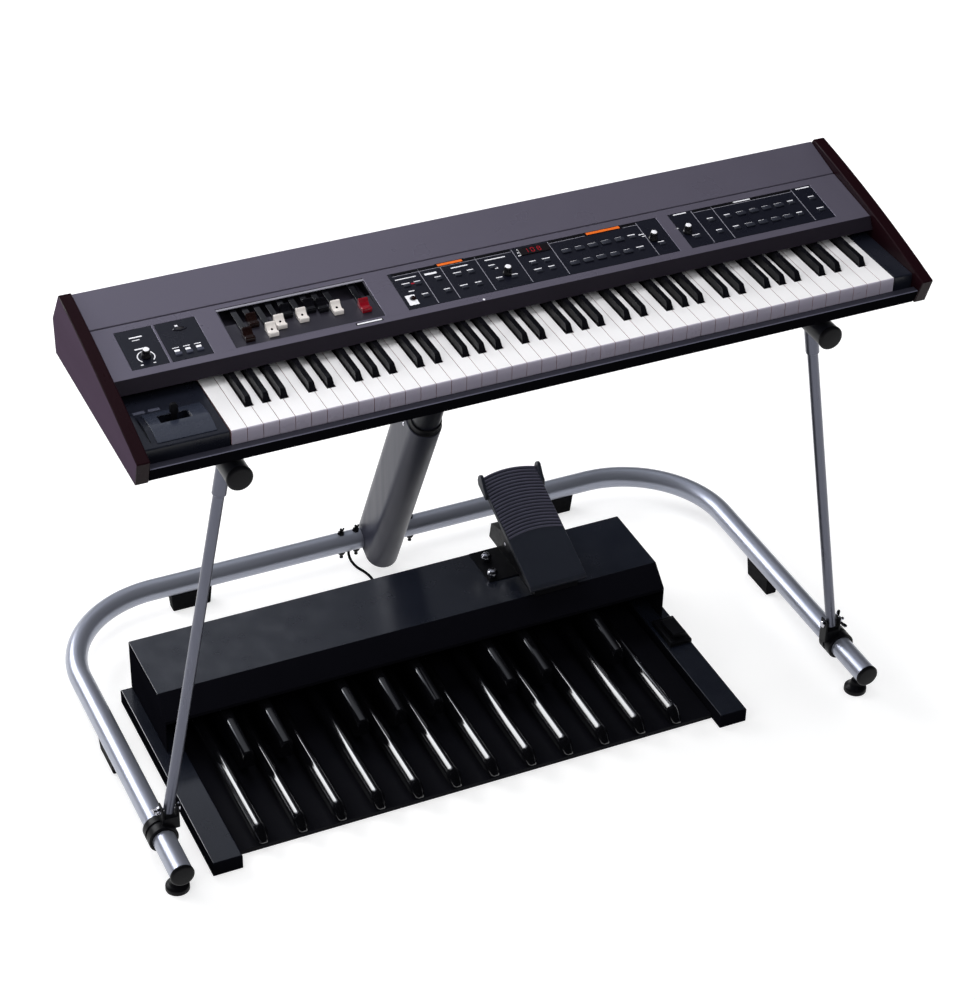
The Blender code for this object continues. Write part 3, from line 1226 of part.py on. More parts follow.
def make_pedal_case(stand):
    """Deck with its rod brackets, the two end blocks and the folded box over the hinges."""
    shape = bmesh.new()
    add_box(shape, (BOARD_LEFT + END_BLOCK_WIDTH + TOUCH_GAP, DECK_FRONT, 0),
            (BOARD_RIGHT - END_BLOCK_WIDTH - TOUCH_GAP, BOARD_BACK, DECK_THICKNESS))
    deck = piece("pedal_deck", shape, FINISHES["board"], stand)
    brackets, bores = bmesh.new(), bmesh.new()
    left, right = bracket_places()
    top = PEDAL_ROD_HEIGHTS[1] + PEDAL_ROD_RADIUS + BRACKET_THICKNESS
    for low in (left - BRACKET_THICKNESS, right):
        add_box(brackets, (low, PEDAL_ROD_DEPTH - BRACKET_DEPTH / 2, DECK_THICKNESS / 2),
                (low + BRACKET_THICKNESS, PEDAL_ROD_DEPTH + BRACKET_DEPTH / 2, top))
        for height in PEDAL_ROD_HEIGHTS:
            add_rod(bores, (low - BRACKET_THICKNESS, PEDAL_ROD_DEPTH, height),
                    (low + 2 * BRACKET_THICKNESS, PEDAL_ROD_DEPTH, height),
                    PEDAL_ROD_RADIUS + TOUCH_GAP, segments=12)
    combine(deck, cutter("rod_brackets", brackets, stand), "UNION")
    combine(deck, cutter("rod_bores", bores, stand), "DIFFERENCE")

    for name, left in (("pedal_block_left", BOARD_LEFT),
                       ("pedal_block_right", BOARD_RIGHT - END_BLOCK_WIDTH)):
        shape = bmesh.new()
        add_box(shape, (left, BOARD_FRONT, 0), (left + END_BLOCK_WIDTH, BOARD_BACK,
                                                END_BLOCK_HEIGHT))
        round_edges(shape, lambda a, b: min(a.z, b.z) > END_BLOCK_HEIGHT - 1e-6, 0.0015)
        piece(name, shape, FINISHES["board"], stand)

    foot = END_BLOCK_HEIGHT + TOUCH_GAP
    wall = BOX_SHEET
    shape = bmesh.new()
    add_prism(shape, [(BOX_BEND_DEPTH, foot), (BOARD_BACK, foot), (BOARD_BACK, BOX_TOP),
                      (BOX_TOP_FRONT, BOX_TOP), (BOX_BEND_DEPTH, BOX_BEND_HEIGHT)],
              "X", BOX_LEFT, BOX_RIGHT)
    box = piece("pedal_box", shape, FINISHES["board"], stand)
    hollow = bmesh.new()
    inside = [(BOX_BEND_DEPTH - wall, foot - wall), (BOARD_BACK - wall, foot - wall),
              (BOARD_BACK - wall, BOX_TOP - wall), (BOX_TOP_FRONT + wall / 2, BOX_TOP - wall),
              (BOX_BEND_DEPTH + wall, BOX_BEND_HEIGHT - wall / 2),
              (BOX_BEND_DEPTH + wall, BOX_LIP_HEIGHT), (BOX_BEND_DEPTH - wall, BOX_LIP_HEIGHT)]
    add_prism(hollow, inside, "X", BOX_LEFT + wall, BOX_RIGHT - wall)
    combine(box, cutter("box_hollow", hollow, stand), "DIFFERENCE")
    skirt = bmesh.new()
    add_box(skirt, (BOARD_LEFT + END_BLOCK_WIDTH + TOUCH_GAP, BOARD_BACK - wall,
                    DECK_THICKNESS + TOUCH_GAP),
            (BOARD_RIGHT - END_BLOCK_WIDTH - TOUCH_GAP, BOARD_BACK, 2 * foot))
    combine(box, cutter("box_skirt", skirt, stand), "UNION")


def make_pedals(stand):
    """Round-nosed natural pedals and higher, shorter sharp pedals, each set on its own rod."""
    naturals, sharps = pedal_places()
    bottom = PEDAL_TOP - PEDAL_HEIGHT
    back = PEDAL_ROD_DEPTH + PEDAL_TAIL
    half = PEDAL_WIDTH / 2
    shape = bmesh.new()
    for x in naturals:
        add_box(shape, (x - half, PEDAL_FRONT, bottom), (x + half, back, PEDAL_TOP))
    round_edges(shape, lambda a, b: min(a.z, b.z) > PEDAL_TOP - 1e-6
                and min(a.y, b.y) < PEDAL_ROD_DEPTH, PEDAL_ROUNDING, 2)
    pedals = {0: piece("natural_pedals", shape, FINISHES["pedal"], stand)}

    low_front = SHARP_PEDAL_TOP - SHARP_PEDAL_HEIGHT
    rod = PEDAL_ROD_HEIGHTS[1]
    half = SHARP_PEDAL_WIDTH / 2
    over = PEDAL_ROD_HEIGHTS[0] + PEDAL_ROD_RADIUS + 2 * BOX_SHEET
    shape = bmesh.new()
    for x in sharps:
        add_prism(shape, [(SHARP_PEDAL_FRONT, low_front),
                          (SHARP_PEDAL_FRONT + PEDAL_BELLY, bottom), (BOX_TOP_FRONT, bottom),
                          (BOX_TOP_FRONT + PEDAL_BELLY, over), (back, over),
                          (back, rod + half), (BOX_TOP_FRONT, SHARP_PEDAL_BACK_TOP),
                          (BOX_BEND_DEPTH, SHARP_PEDAL_BACK_TOP),
                          (SHARP_PEDAL_FRONT + SHARP_PEDAL_NOSE, SHARP_PEDAL_TOP),
                          (SHARP_PEDAL_FRONT, SHARP_PEDAL_TOP - SHARP_PEDAL_NOSE)],
                  "X", x - half, x + half)
    nose_low = SHARP_PEDAL_TOP - SHARP_PEDAL_NOSE
    round_edges(shape, lambda a, b: min(a.z, b.z) > nose_low - 1e-4
                and abs(a.x - b.x) < 1e-6, SHARP_PEDAL_ROUNDING)
    pedals[1] = piece("sharp_pedals", shape, FINISHES["pedal"], stand)
    left, right = bracket_places()
    for level, height in enumerate(PEDAL_ROD_HEIGHTS):
        move_origin(pedals[level], ((left + right) / 2, PEDAL_ROD_DEPTH, height))
        bar = bmesh.new()
        add_rod(bar, (left - BRACKET_THICKNESS, PEDAL_ROD_DEPTH, height),
                (right + BRACKET_THICKNESS, PEDAL_ROD_DEPTH, height), PEDAL_ROD_RADIUS,
                segments=12)
        combine(pedals[level], cutter(f"pedal_rod_{level}", bar, stand), "UNION")


def make_foot_switch(stand):
    """A low case on the right end block, with a pad that is pressed at the front."""
    low = END_BLOCK_HEIGHT + TOUCH_GAP
    top = low + SWITCH_BASE_HEIGHT
    shape = bmesh.new()
    add_box(shape, (SWITCH_LEFT, SWITCH_FRONT, low),
            (SWITCH_LEFT + SWITCH_WIDTH, SWITCH_FRONT + SWITCH_LENGTH, top))
    round_edges(shape, lambda a, b: min(a.z, b.z) > top - 1e-6, 0.002)
    piece("foot_switch_base", shape, FINISHES["black"], stand)
    wide, long, tall = SWITCH_PAD
    x = SWITCH_LEFT + SWITCH_WIDTH / 2
    hinge = SWITCH_FRONT + SWITCH_LENGTH - SWITCH_PAD_MARGIN
    rise = SWITCH_PAD_RISE + TOUCH_GAP
    shape = bmesh.new()
    add_prism(shape, [(-long, rise), (0.0, TOUCH_GAP), (0.0, tall - 0.001), (-0.001, tall),
                      (0.001 - long, tall + SWITCH_PAD_RISE),
                      (-long, tall + SWITCH_PAD_RISE - 0.001)],
              "X", -wide / 2, wide / 2)
    piece("foot_switch_pad", shape, FINISHES["black"], stand, (x, hinge, top))


def treadle_rows():
    """Rows across the treadle, from heel to toe: place along, height and share of the bow."""
    rib_length = TREADLE_LENGTH - RIB_START
    step = rib_length / RIB_COUNT
    yield 0.0, -TREADLE_END_DROP
    yield TREADLE_END_DROP, 0.0
    yield RIB_START - 0.002, 0.0
    for index in range(RIB_COUNT):
        start = RIB_START + index * step
        yield start, 0.0
        yield start + step * 0.25, RIB_HEIGHT
        yield start + step * 0.60, RIB_HEIGHT * 0.9
    yield TREADLE_LENGTH, -TREADLE_END_DROP


def make_treadle(stand):
    """A rocker plate with curved ribs, side ears on the axle and two toe wings."""
    axle = Vector((TREADLE_X, TREADLE_AXLE_DEPTH, TREADLE_AXLE_HEIGHT))
    pivot = frame("treadle_axis", axle, 0.0, stand)
    heel = Vector((TREADLE_X, TREADLE_HEEL_DEPTH, TREADLE_HEEL_HEIGHT)) - axle
    place = Matrix.Translation(heel) @ Matrix.Rotation(TREADLE_SLOPE, 4, "X")
    half = TREADLE_WIDTH / 2
    columns = 6
    shape = bmesh.new()
    rows = []
    for along, height in treadle_rows():
        row = []
        reach = min(1.0, along / RIB_START) ** 2
        for column in range(columns + 1):
            across = half * (2 * column / columns - 1)
            bow = TREADLE_TOE_BOW * (1 - (across / half) ** 2) * reach
            row.append(shape.verts.new((across, along + bow, height)))
        rows.append(row)
    for near, far in zip(rows, rows[1:]):
        for column in range(columns):
            shape.faces.new((near[column], near[column + 1], far[column + 1], far[column]))
    rim = [edge for edge in shape.edges if edge.is_boundary]
    drop = bmesh.ops.extrude_edge_only(shape, edges=rim)["geom"]
    for vert in (part for part in drop if isinstance(part, bmesh.types.BMVert)):
        vert.co.z = -TREADLE_THICKNESS
    rim = [part for part in drop if isinstance(part, bmesh.types.BMEdge) and part.is_boundary]
    bmesh.ops.contextual_create(shape, geom=rim)
    bmesh.ops.transform(shape, matrix=place, verts=shape.verts)
    treadle = piece("expression_treadle", shape, FINISHES["pedal_rubber"], pivot)

    trim = bmesh.new()
    local = place.inverted() @ Vector((0, 0, 0))
    root, tip, low = TREADLE_EAR_ROOT, TREADLE_EAR_TIP, local.z - TREADLE_EAR_DROP
    ear = [(-root, -TREADLE_EAR_INSET), (root, -TREADLE_EAR_INSET), (tip, low), (-tip, low)]
    toe = TREADLE_LENGTH
    wing = [(toe - WING_LENGTH, -TREADLE_THICKNESS), (toe - WING_TIP, -TREADLE_THICKNESS),
            (toe + WING_TIP / 3, WING_HEIGHT / 2), (toe - WING_TIP, WING_HEIGHT),
            (toe - WING_LENGTH + WING_TIP, WING_TIP / 2)]
    for side in (-1, 1):
        outer = side * (half - TREADLE_EAR_INSET)
        inner = outer - side * TREADLE_EAR_THICKNESS
        verts = add_prism(trim, [(local.y + a, b) for a, b in ear], "X",
                          min(inner, outer), max(inner, outer))
        bmesh.ops.transform(trim, matrix=place, verts=verts)
        inner, outer = side * (half - TREADLE_EAR_INSET / 2), side * (half + WING_THICKNESS)
        verts = add_prism(trim, wing, "X", min(inner, outer), max(inner, outer))
        bmesh.ops.transform(trim, matrix=place, verts=verts)
    combine(treadle, cutter("treadle_trim", trim, pivot), "UNION")
    pins = bmesh.new()
    for side in (-1, 1):
        add_rod(pins, (side * (PEDAL_BODY_WIDTH / 2 - 0.006), 0, 0),
                (side * (half - TREADLE_EAR_INSET - 0.001), 0, 0), TREADLE_AXLE_RADIUS)
    combine(treadle, cutter("treadle_pins", pins, pivot), "UNION")


def make_expression_base(stand):
    """The rocker's housing on its mounting plate, with two thumb screws."""
    plate_low = BOX_TOP + TOUCH_GAP
    plate_top = plate_low + PEDAL_PLATE_THICKNESS
    half = PEDAL_BODY_WIDTH / 2
    front, back, axle_z = PEDAL_BODY_FRONT, PEDAL_BODY_BACK, TREADLE_AXLE_HEIGHT
    body, plate, bores, screws = bmesh.new(), bmesh.new(), bmesh.new(), bmesh.new()
    saddle = TREADLE_AXLE_DEPTH - PEDAL_BODY_SADDLE * 0.4
    crown = axle_z + TREADLE_AXLE_RADIUS
    add_prism(body, [(front, plate_low), (back, plate_low),
                     (back - PEDAL_BODY_LIP / 2, plate_low + PEDAL_BODY_STEP),
                     (saddle + PEDAL_BODY_SADDLE, crown - 0.001),
                     (saddle + PEDAL_BODY_SADDLE / 2, crown + 0.003), (saddle, crown - 0.002),
                     (front, plate_low + PEDAL_BODY_LIP)],
              "X", TREADLE_X - half, TREADLE_X + half)
    base = piece("expression_base", body, FINISHES["black"], stand)
    add_box(plate, (PEDAL_PLATE_LEFT, PEDAL_PLATE_FRONT, plate_low),
            (TREADLE_X + half + 0.003, PEDAL_PLATE_FRONT + PEDAL_PLATE_DEPTH, plate_top))
    combine(base, cutter("pedal_plate", plate, stand), "UNION")
    for x, depth in THUMB_SCREW_PLACES:
        low = plate_top - PEDAL_PLATE_THICKNESS / 2
        neck, wide, crown = THUMB_SCREW_RADII
        collar, rim, shoulder, top = (low + level for level in THUMB_SCREW_LEVELS)
        add_turned(screws, [(0, low), (neck, low), (neck, collar), (wide, rim),
                            (wide, shoulder), (crown, top), (0, top)],
                   Matrix.Translation((x, depth, 0)), 14)
    combine(base, cutter("thumb_screws", screws, stand), "UNION")
    for side in (-1, 1):
        add_rod(bores, (TREADLE_X + side * (half - 0.007), TREADLE_AXLE_DEPTH, axle_z),
                (TREADLE_X + side * (half + 0.004), TREADLE_AXLE_DEPTH, axle_z),
                TREADLE_AXLE_RADIUS + TOUCH_GAP)
    combine(base, cutter("expression_bores", bores, stand), "DIFFERENCE")


def cable_route():
    """The pedal cable: out of its grommet, down to the floor, forward and up into its plug."""
    x = CABLE_START_X
    start = BASE_TUBE_HEIGHT - BASE_TUBE_RADIUS - GROMMET_LENGTH - TOUCH_GAP
    floor = CABLE_RADIUS + TOUCH_GAP
    end = BOARD_BACK + PLUG_LENGTH + 2 * TOUCH_GAP
    guides = [(x, BASE_BACK, start), (x, BASE_BACK - 0.0006, start - 0.008),
              (x + 0.002, 0.678, floor + 0.0085), (x + 0.008, 0.665, floor + 0.0012),
              (x + 0.016, 0.648, floor), (x + 0.020, 0.630, floor), (x + 0.020, 0.610, floor),
              (x + 0.022, 0.592, floor + 0.0006), (x + 0.026, 0.575, floor + 0.006),
              (PLUG_X - 0.001, 0.560, floor + 0.020), (PLUG_X, 0.549, PLUG_HEIGHT - 0.011),
              (PLUG_X, 0.536, PLUG_HEIGHT - 0.0010), (PLUG_X, end, PLUG_HEIGHT)]
    return smooth_line([Vector(place) for place in guides], 0.0065)


def smooth_line(guides, spacing):
    """Points at an even spacing along a smooth curve through the guides."""
    ends = [guides[0] * 2 - guides[1], *guides, guides[-1] * 2 - guides[-2]]
    dense = []
    for index in range(1, len(ends) - 2):
        before, start, end, after = ends[index - 1:index + 3]
        for step in range(12):
            share = step / 12
            dense.append(0.5 * (2 * start + (end - before) * share
                                + (2 * before - 5 * start + 4 * end - after) * share ** 2
                                + (3 * start - before - 3 * end + after) * share ** 3))
    dense.append(guides[-1])
    points = [dense[0]]
    for place in dense[1:-1]:
        if (place - points[-1]).length >= spacing and (place - dense[-1]).length > spacing / 2:
            points.append(place)
    return points + [dense[-1]]


def make_cable(stand):
    piece("pedal_cable", tube(cable_route(), CABLE_RADIUS, 2), FINISHES["rubber"], stand)
    profile = [(0, PLUG_LENGTH), (PLUG_RADIUS * 0.5, PLUG_LENGTH),
               (PLUG_RADIUS * 0.62, PLUG_LENGTH - PLUG_BOOT[0]),
               (PLUG_RADIUS, PLUG_LENGTH - PLUG_BOOT[1]),
               (PLUG_RADIUS, 0), (0, 0)]
    turned_piece("cable_plug", profile, 16, FINISHES["black"], stand,
                 (PLUG_X, BOARD_BACK + TOUCH_GAP, PLUG_HEIGHT), -math.pi / 2)


def make_finishes():
    return {
        "cheek": finish("cheek", (0.030, 0.012, 0.018), 0.0, 0.35),
        "case": finish("case", (0.020, 0.020, 0.024), 0.3, 0.5),
        "rail": finish("rail", (0.035, 0.034, 0.045), 0.5, 0.4),
        "panel": finish("panel", (0.115, 0.105, 0.125), 0.6, 0.42),
        "plate": finish("plate", (0.012, 0.014, 0.024), 0.0, 0.45),
        "natural": finish("natural", (0.85, 0.84, 0.86), 0.0, 0.15),
        "sharp": finish("sharp", (0.012, 0.012, 0.014), 0.0, 0.15),
        "steel": finish("steel", (0.45, 0.45, 0.47), 1.0, 0.4),
        "block": finish("block", (0.030, 0.032, 0.040), 0.2, 0.4),
        "well": finish("well", (0.030, 0.029, 0.034), 0.3, 0.3),
        "button": finish("button", (0.016, 0.016, 0.020), 0.0, 0.35),
        "knob": finish("knob", (0.010, 0.010, 0.011), 0.0, 0.3),
        "lens": finish("lens", (0.060, 0.004, 0.010), 0.0, 0.1),
        "brown": finish("brown", (0.045, 0.016, 0.016), 0.0, 0.25),
        "white": finish("white", (0.72, 0.68, 0.66), 0.0, 0.25),
        "red": finish("red", (0.28, 0.012, 0.020), 0.0, 0.2),
        "silver": finish("silver", (0.50, 0.52, 0.58), 0.9, 0.28),
        "column": finish("column", (0.060, 0.060, 0.072), 0.7, 0.4),
        "arm": finish("arm", (0.020, 0.021, 0.028), 0.3, 0.35),
        "strut": finish("strut", (0.22, 0.22, 0.26), 0.7, 0.35),
        "black": finish("black", (0.010, 0.010, 0.012), 0.0, 0.4),
        "rubber": finish("rubber", (0.012, 0.012, 0.012), 0.0, 0.7),
        "board": finish("board", (0.014, 0.014, 0.018), 0.1, 0.32),
        "pedal": finish("pedal", (0.006, 0.006, 0.008), 0.0, 0.08),
        "pedal_rubber": finish("pedal_rubber", (0.012, 0.014, 0.018), 0.0, 0.45),
    }


def make_organ(organ):
    make_cheeks(organ)
    panel = make_case(organ)
    panel_frame = frame("panel_plane", (0, PANEL_FRONT_DEPTH, PANEL_FRONT_HEIGHT),
                        PANEL_SLOPE, organ)
    cut_panel_windows(panel, panel_frame)
    make_plates(panel_frame)
    make_buttons(panel_frame)
    make_knobs(panel_frame)
    make_keybed(organ)
    make_natural_keys(organ)
    make_sharp_keys(organ)
    make_end_blocks(organ)
    make_bender(organ)
    make_drawbar_tray(organ, make_drawbars(organ))


def make_stand(stand):
    make_base(stand)
    lean = make_column(stand)
    make_top_frame(stand, lean)
    make_struts(stand)
    make_clamps(stand)
    make_feet(stand)


def make_pedalboard(stand):
    make_pedal_case(stand)
    make_pedals(stand)
    make_foot_switch(stand)
    make_expression_base(stand)
    make_treadle(stand)
    make_cable(stand)


clear_scene()
PARTS = collection("combo_organ")
CUTTERS = collection("cutters")
FINISHES = make_finishes()
floor_frame = frame("stand_front", (0, ORGAN_FRONT_Y, 0))
organ_frame = frame("organ_front", (0, ORGAN_FRONT_Y, ORGAN_UNDERSIDE))
make_organ(organ_frame)
make_stand(floor_frame)
make_pedalboard(floor_frame)
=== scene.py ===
"""Looks of a combo organ on its floor stand, with a pedalboard and an expression pedal.

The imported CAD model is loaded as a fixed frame. Each operator dresses one group of pieces: it
puts finer shapes where the solids are and gives every surface its finish.
"""
import json
import math

import bmesh
import bpy
from bpy.props import FloatProperty, FloatVectorProperty, IntProperty, PointerProperty
from mathutils import Matrix, Vector

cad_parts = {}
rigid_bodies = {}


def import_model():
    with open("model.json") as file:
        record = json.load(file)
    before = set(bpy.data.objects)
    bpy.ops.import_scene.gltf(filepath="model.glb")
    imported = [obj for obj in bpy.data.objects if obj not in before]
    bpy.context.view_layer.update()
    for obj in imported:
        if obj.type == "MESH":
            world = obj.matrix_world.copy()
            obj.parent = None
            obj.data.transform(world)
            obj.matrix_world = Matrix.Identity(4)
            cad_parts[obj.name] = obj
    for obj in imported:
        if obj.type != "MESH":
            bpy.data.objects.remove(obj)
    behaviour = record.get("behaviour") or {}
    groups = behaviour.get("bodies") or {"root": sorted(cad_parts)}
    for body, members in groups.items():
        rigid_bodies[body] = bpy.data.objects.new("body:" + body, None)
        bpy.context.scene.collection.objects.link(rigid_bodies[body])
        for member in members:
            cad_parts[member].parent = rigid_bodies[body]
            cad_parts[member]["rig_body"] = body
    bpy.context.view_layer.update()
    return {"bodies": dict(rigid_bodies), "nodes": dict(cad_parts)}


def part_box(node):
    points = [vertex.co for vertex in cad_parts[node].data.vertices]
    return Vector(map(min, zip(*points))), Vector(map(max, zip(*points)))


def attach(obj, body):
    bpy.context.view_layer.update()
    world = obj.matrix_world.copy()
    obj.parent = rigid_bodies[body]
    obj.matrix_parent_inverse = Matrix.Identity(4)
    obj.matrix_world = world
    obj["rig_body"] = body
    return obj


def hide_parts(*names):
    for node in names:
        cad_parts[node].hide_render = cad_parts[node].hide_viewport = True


bl_info = {
    "name": "Combo organ looks",
    "version": (1, 0, 0),
    "blender": (4, 5, 0),
    "location": "3D View > Sidebar > Combo Organ",
    "description": "Dresses the packed combo organ, its stand and its pedals",
    "category": "Object",
}

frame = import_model()
NODES = frame["nodes"]
MAIN = "organ_and_stand"

# Where the organ stands: depths from its cheeks' front, heights from its underside
ORGAN_FRONT_Y = -0.3567
ORGAN_UNDERSIDE = 0.7675

# The column leans back from the player towards its foot
COLUMN_LEAN = math.radians(25.2)

# The control panel's plane
PANEL_FRONT_DEPTH = 0.157
PANEL_FRONT_HEIGHT = 0.0766
PANEL_SLOPE = math.atan2(0.0938 - 0.0766, 0.2701 - 0.157)
PLATE_FRONT = 0.0152
PLATE_BACK = 0.0990
FRONT_ROW = 0.0372
BACK_ROW = 0.0670
DISPLAY_BACK_ROW = 0.0565
BUTTON_PITCH = 0.0222

# Sizes in metres; those of the solids are the same as in the part's source
BENDER_PAD_FRONT = 0.035
BENDER_PAD_DEPTH = 0.077
BENDER_PAD_CROWN = 0.007
BENDER_PAD_FOOT = 0.043
BENDER_X = -0.5462
BENDER_DEPTH = 0.0835
BENDER_SLOT = (0.0425, 0.021)
SLOT_LIP = 0.0012
CASE_BACK_DEPTH = 0.3751
# The socket strip on the back: left, right, thickness, low and high edge
SOCKET_STRIP = (-0.520, 0.100, 0.0008, 0.0085, 0.0475)
SMALL_SOCKETS = [0.070 - 0.030 * step for step in range(9)]
LARGE_SOCKETS = (-0.225, -0.265, -0.305)
INLET_X = -0.485
ROCKER_X = -0.445
BENDER_PLATE = (0.0400, 0.0016)
BENDER_PLATE_MORE = 0.0060
# The drawbar well's thin top lip, drawn in plate-line grey as its painted highlight
WELL_LIP_HIGHLIGHT = ((-0.4218, 0.0995, -0.0022), (-0.1947, 0.1034, -0.0007))
BENDER_BUTTONS = (-0.5860, -0.5640)
LENS_THICKNESS = 0.0012
SENSOR_CENTRE = (-0.4830, 0.0803)
SENSOR_SIZE = (0.020, 0.009)
SENSOR_SKIN = 0.0003
DISPLAY_CENTRE = (0.0750, 0.0863)
DIGIT_SIZE = (0.0092, 0.0046, 0.0011)
DIGIT_PITCH = 0.0105
BUTTONS_A_ROW = 6
BUTTON_ROOT = 0.0030
ORGAN_BACK_BUTTONS = (-0.139, -0.121, -0.088, -0.057, -0.036, -0.001)
ORGAN_FRONT_BUTTONS = (-0.142, -0.121, -0.086, -0.059, -0.036, -0.002, 0.020)
DISPLAY_BUTTONS = (0.061, 0.083)
VOICE_BUTTON_START = 0.1195
SMALL_VOICE_BUTTON = (0.267, 0.0387)
REGISTRATION_BUTTON_START = 0.3950
EFFECT_BUTTON_X = 0.3260
WRITE_BUTTON_X = 0.3655
PLAYER_BUTTON_X = 0.5430
SENSOR_BUTTON_START = -0.5025
SENSOR_BUTTON_PITCH = 0.0160
SENSOR_BUTTON_ROW = 0.0283
KNOB_RADIUS = 0.0070
KNOB_HEIGHT = 0.0135
KNOB_RIBS = 24
KNOB_PLACES = {
    "knob_volume": (-0.5475, 0.0377),
    "knob_organ": (0.0130, 0.0471),
    "knob_ensemble": (0.2580, 0.0534),
    "knob_effects": (0.3160, 0.0524),
}
DRAWBAR_SLOPE = math.radians(3)
DRAWBAR_KNOB_WIDTH = 0.0145
DRAWBAR_KNOB_LENGTH = 0.021
DRAWBAR_KNOB_HEIGHT = 0.014
DRAWBAR_LIP = (0.0055, 0.0075)
DRAWBAR_SCOOP = (0, 0.0105, 0.00665)
DRAWBAR_SCOOP_TILT = math.radians(26.6)
DRAWBAR_SHAFT = (0.009, 0.0035)
DRAWBAR_SHAFT_LENGTH = 0.102
DRAWBAR_SHAFT_RISE = 0.001
BASE_TUBE_RADIUS = 0.0185
BASE_TUBE_HEIGHT = 0.052
BASE_HALF_WIDTH = 0.602
BASE_FRONT = -0.003
BASE_BACK = 0.684
BASE_BEND_RADIUS = 0.185
BASE_INNER_END = 0.0295
CAP_THICKNESS = 0.005
CAP_LIP = 0.0008
PAD_LENGTH = 0.075
PAD_WIDTH = 0.026
REAR_PAD_X = 0.350
SIDE_PAD_DEPTH = 0.345
SCREW_PLACES = (0.038, 0.066)
GROMMET_RADII = (0.0042, 0.0050)
GROMMET_LENGTH = 0.0035
COLUMN_AXIS_DEPTH = 0.6685
COLUMN_WIDTH = 0.0584
COLUMN_DEPTH = 0.100
COLUMN_RISE = 0.420
COLUMN_DROP = 0.018
COLUMN_SCREWS = ((0.405, -0.006), (0.405, 0.014))
INNER_TUBE_RADIUS = 0.024
INNER_TUBE_OFFSET = -(0.100 - 0.0584) / 2
COLLAR_RADIUS = 0.0268
COLLAR_LENGTH = 0.014
ARM_RADIUS = 0.019
ARM_X = 0.4740
ARM_DROP = 0.038
ARM_FRONT = 0.0296
ARM_TAIL = 0.014
CROSSBAR_RADIUS = 0.0165
SADDLE_DEPTHS = (0.075, 0.275)
SADDLE_SIZE = (0.030, 0.040)
STRUT_RADIUS = 0.0085
STRUT_FOOT_X = 0.5867
STRUT_FOOT_DEPTH = 0.0972
STRUT_FOOT_HEIGHT = 0.0979
STRUT_HEAD_DEPTH = 0.0885
STRUT_FOOT_END = 0.006
STRUT_SLEEVE = 0.050
STRUT_SLEEVE_WALL = 0.0022
CLAMP_WALL = 0.0055
CLAMP_LENGTH = 0.034
CLAMP_WAIST = 0.006
CLAMP_GROOVE = 0.002
CLEVIS_DEPTH = 0.020
CLEVIS_EAR = 0.0035
CLEVIS_CLEARANCE = 0.0020
CLEVIS_ROOT = 0.062
CLEVIS_BELOW_BOLT = 0.012
CLEVIS_ABOVE_BOLT = 0.008
BOLT_RADIUS = 0.003
BOLT_END = 0.011
BOLT_HEAD = (0.0060, 0.004)
WING_NUT_RADII = (0.0075, 0.0060)
WING_NUT_HEIGHT = 0.0055
FOOT_DEPTH = 0.025
BOARD_BACK = 0.479
BOX_TOP_FRONT = 0.333
BOX_BEND_DEPTH = 0.298
PEDAL_PITCH = 0.0660
FIRST_PEDAL_X = -0.4515
NATURAL_PEDAL_COUNT = 12
PEDAL_WIDTH = 0.022
PEDAL_FRONT = 0.046
PEDAL_TOP = 0.0405
PEDAL_HEIGHT = 0.0220
PEDAL_ROD_DEPTH = 0.450
PEDAL_ROUNDING = 0.0098
PEDAL_NOSE = 0.026
PEDAL_FLAT = 0.65
PEDAL_BELLY = 0.020
SHARP_PEDAL_WIDTH = 0.019
SHARP_PEDAL_FRONT = 0.203
SHARP_PEDAL_TOP = 0.0675
SHARP_PEDAL_BACK_TOP = 0.0760
SHARP_PEDAL_HEIGHT = 0.0300
SHARP_PEDAL_NOSE = 0.003
SHARP_PEDAL_ROUNDING = 0.0065
TREADLE_X = 0.182
TREADLE_WIDTH = 0.104
TREADLE_HEEL_DEPTH = 0.315
TREADLE_HEEL_HEIGHT = 0.1475
TREADLE_LENGTH = 0.232
TREADLE_SLOPE = math.radians(23)
TREADLE_THICKNESS = 0.009
TREADLE_TOE_BOW = 0.009
TREADLE_END_DROP = 0.004
RIB_START = 0.102
TREADLE_AXLE_DEPTH = 0.425
TREADLE_AXLE_HEIGHT = 0.168
TREADLE_EAR_THICKNESS = 0.004
TREADLE_EAR_INSET = 0.002
TREADLE_EAR_ROOT = 0.038
TREADLE_EAR_TIP = 0.014
TREADLE_EAR_DROP = 0.009
WING_HEIGHT = 0.016
WING_LENGTH = 0.040
WING_THICKNESS = 0.0045
WING_TIP = 0.006
THUMB_SCREW_PLACES = ((0.107, 0.447), (0.098, 0.402))
PEDAL_PLATE_TOP = 0.1248
TOUCH_GAP = 0.0003
CABLE_START_X = -0.052
PLUG_X = -0.016
PLUG_HEIGHT = 0.050
PLUG_RADIUS = 0.008
PLUG_LENGTH = 0.045

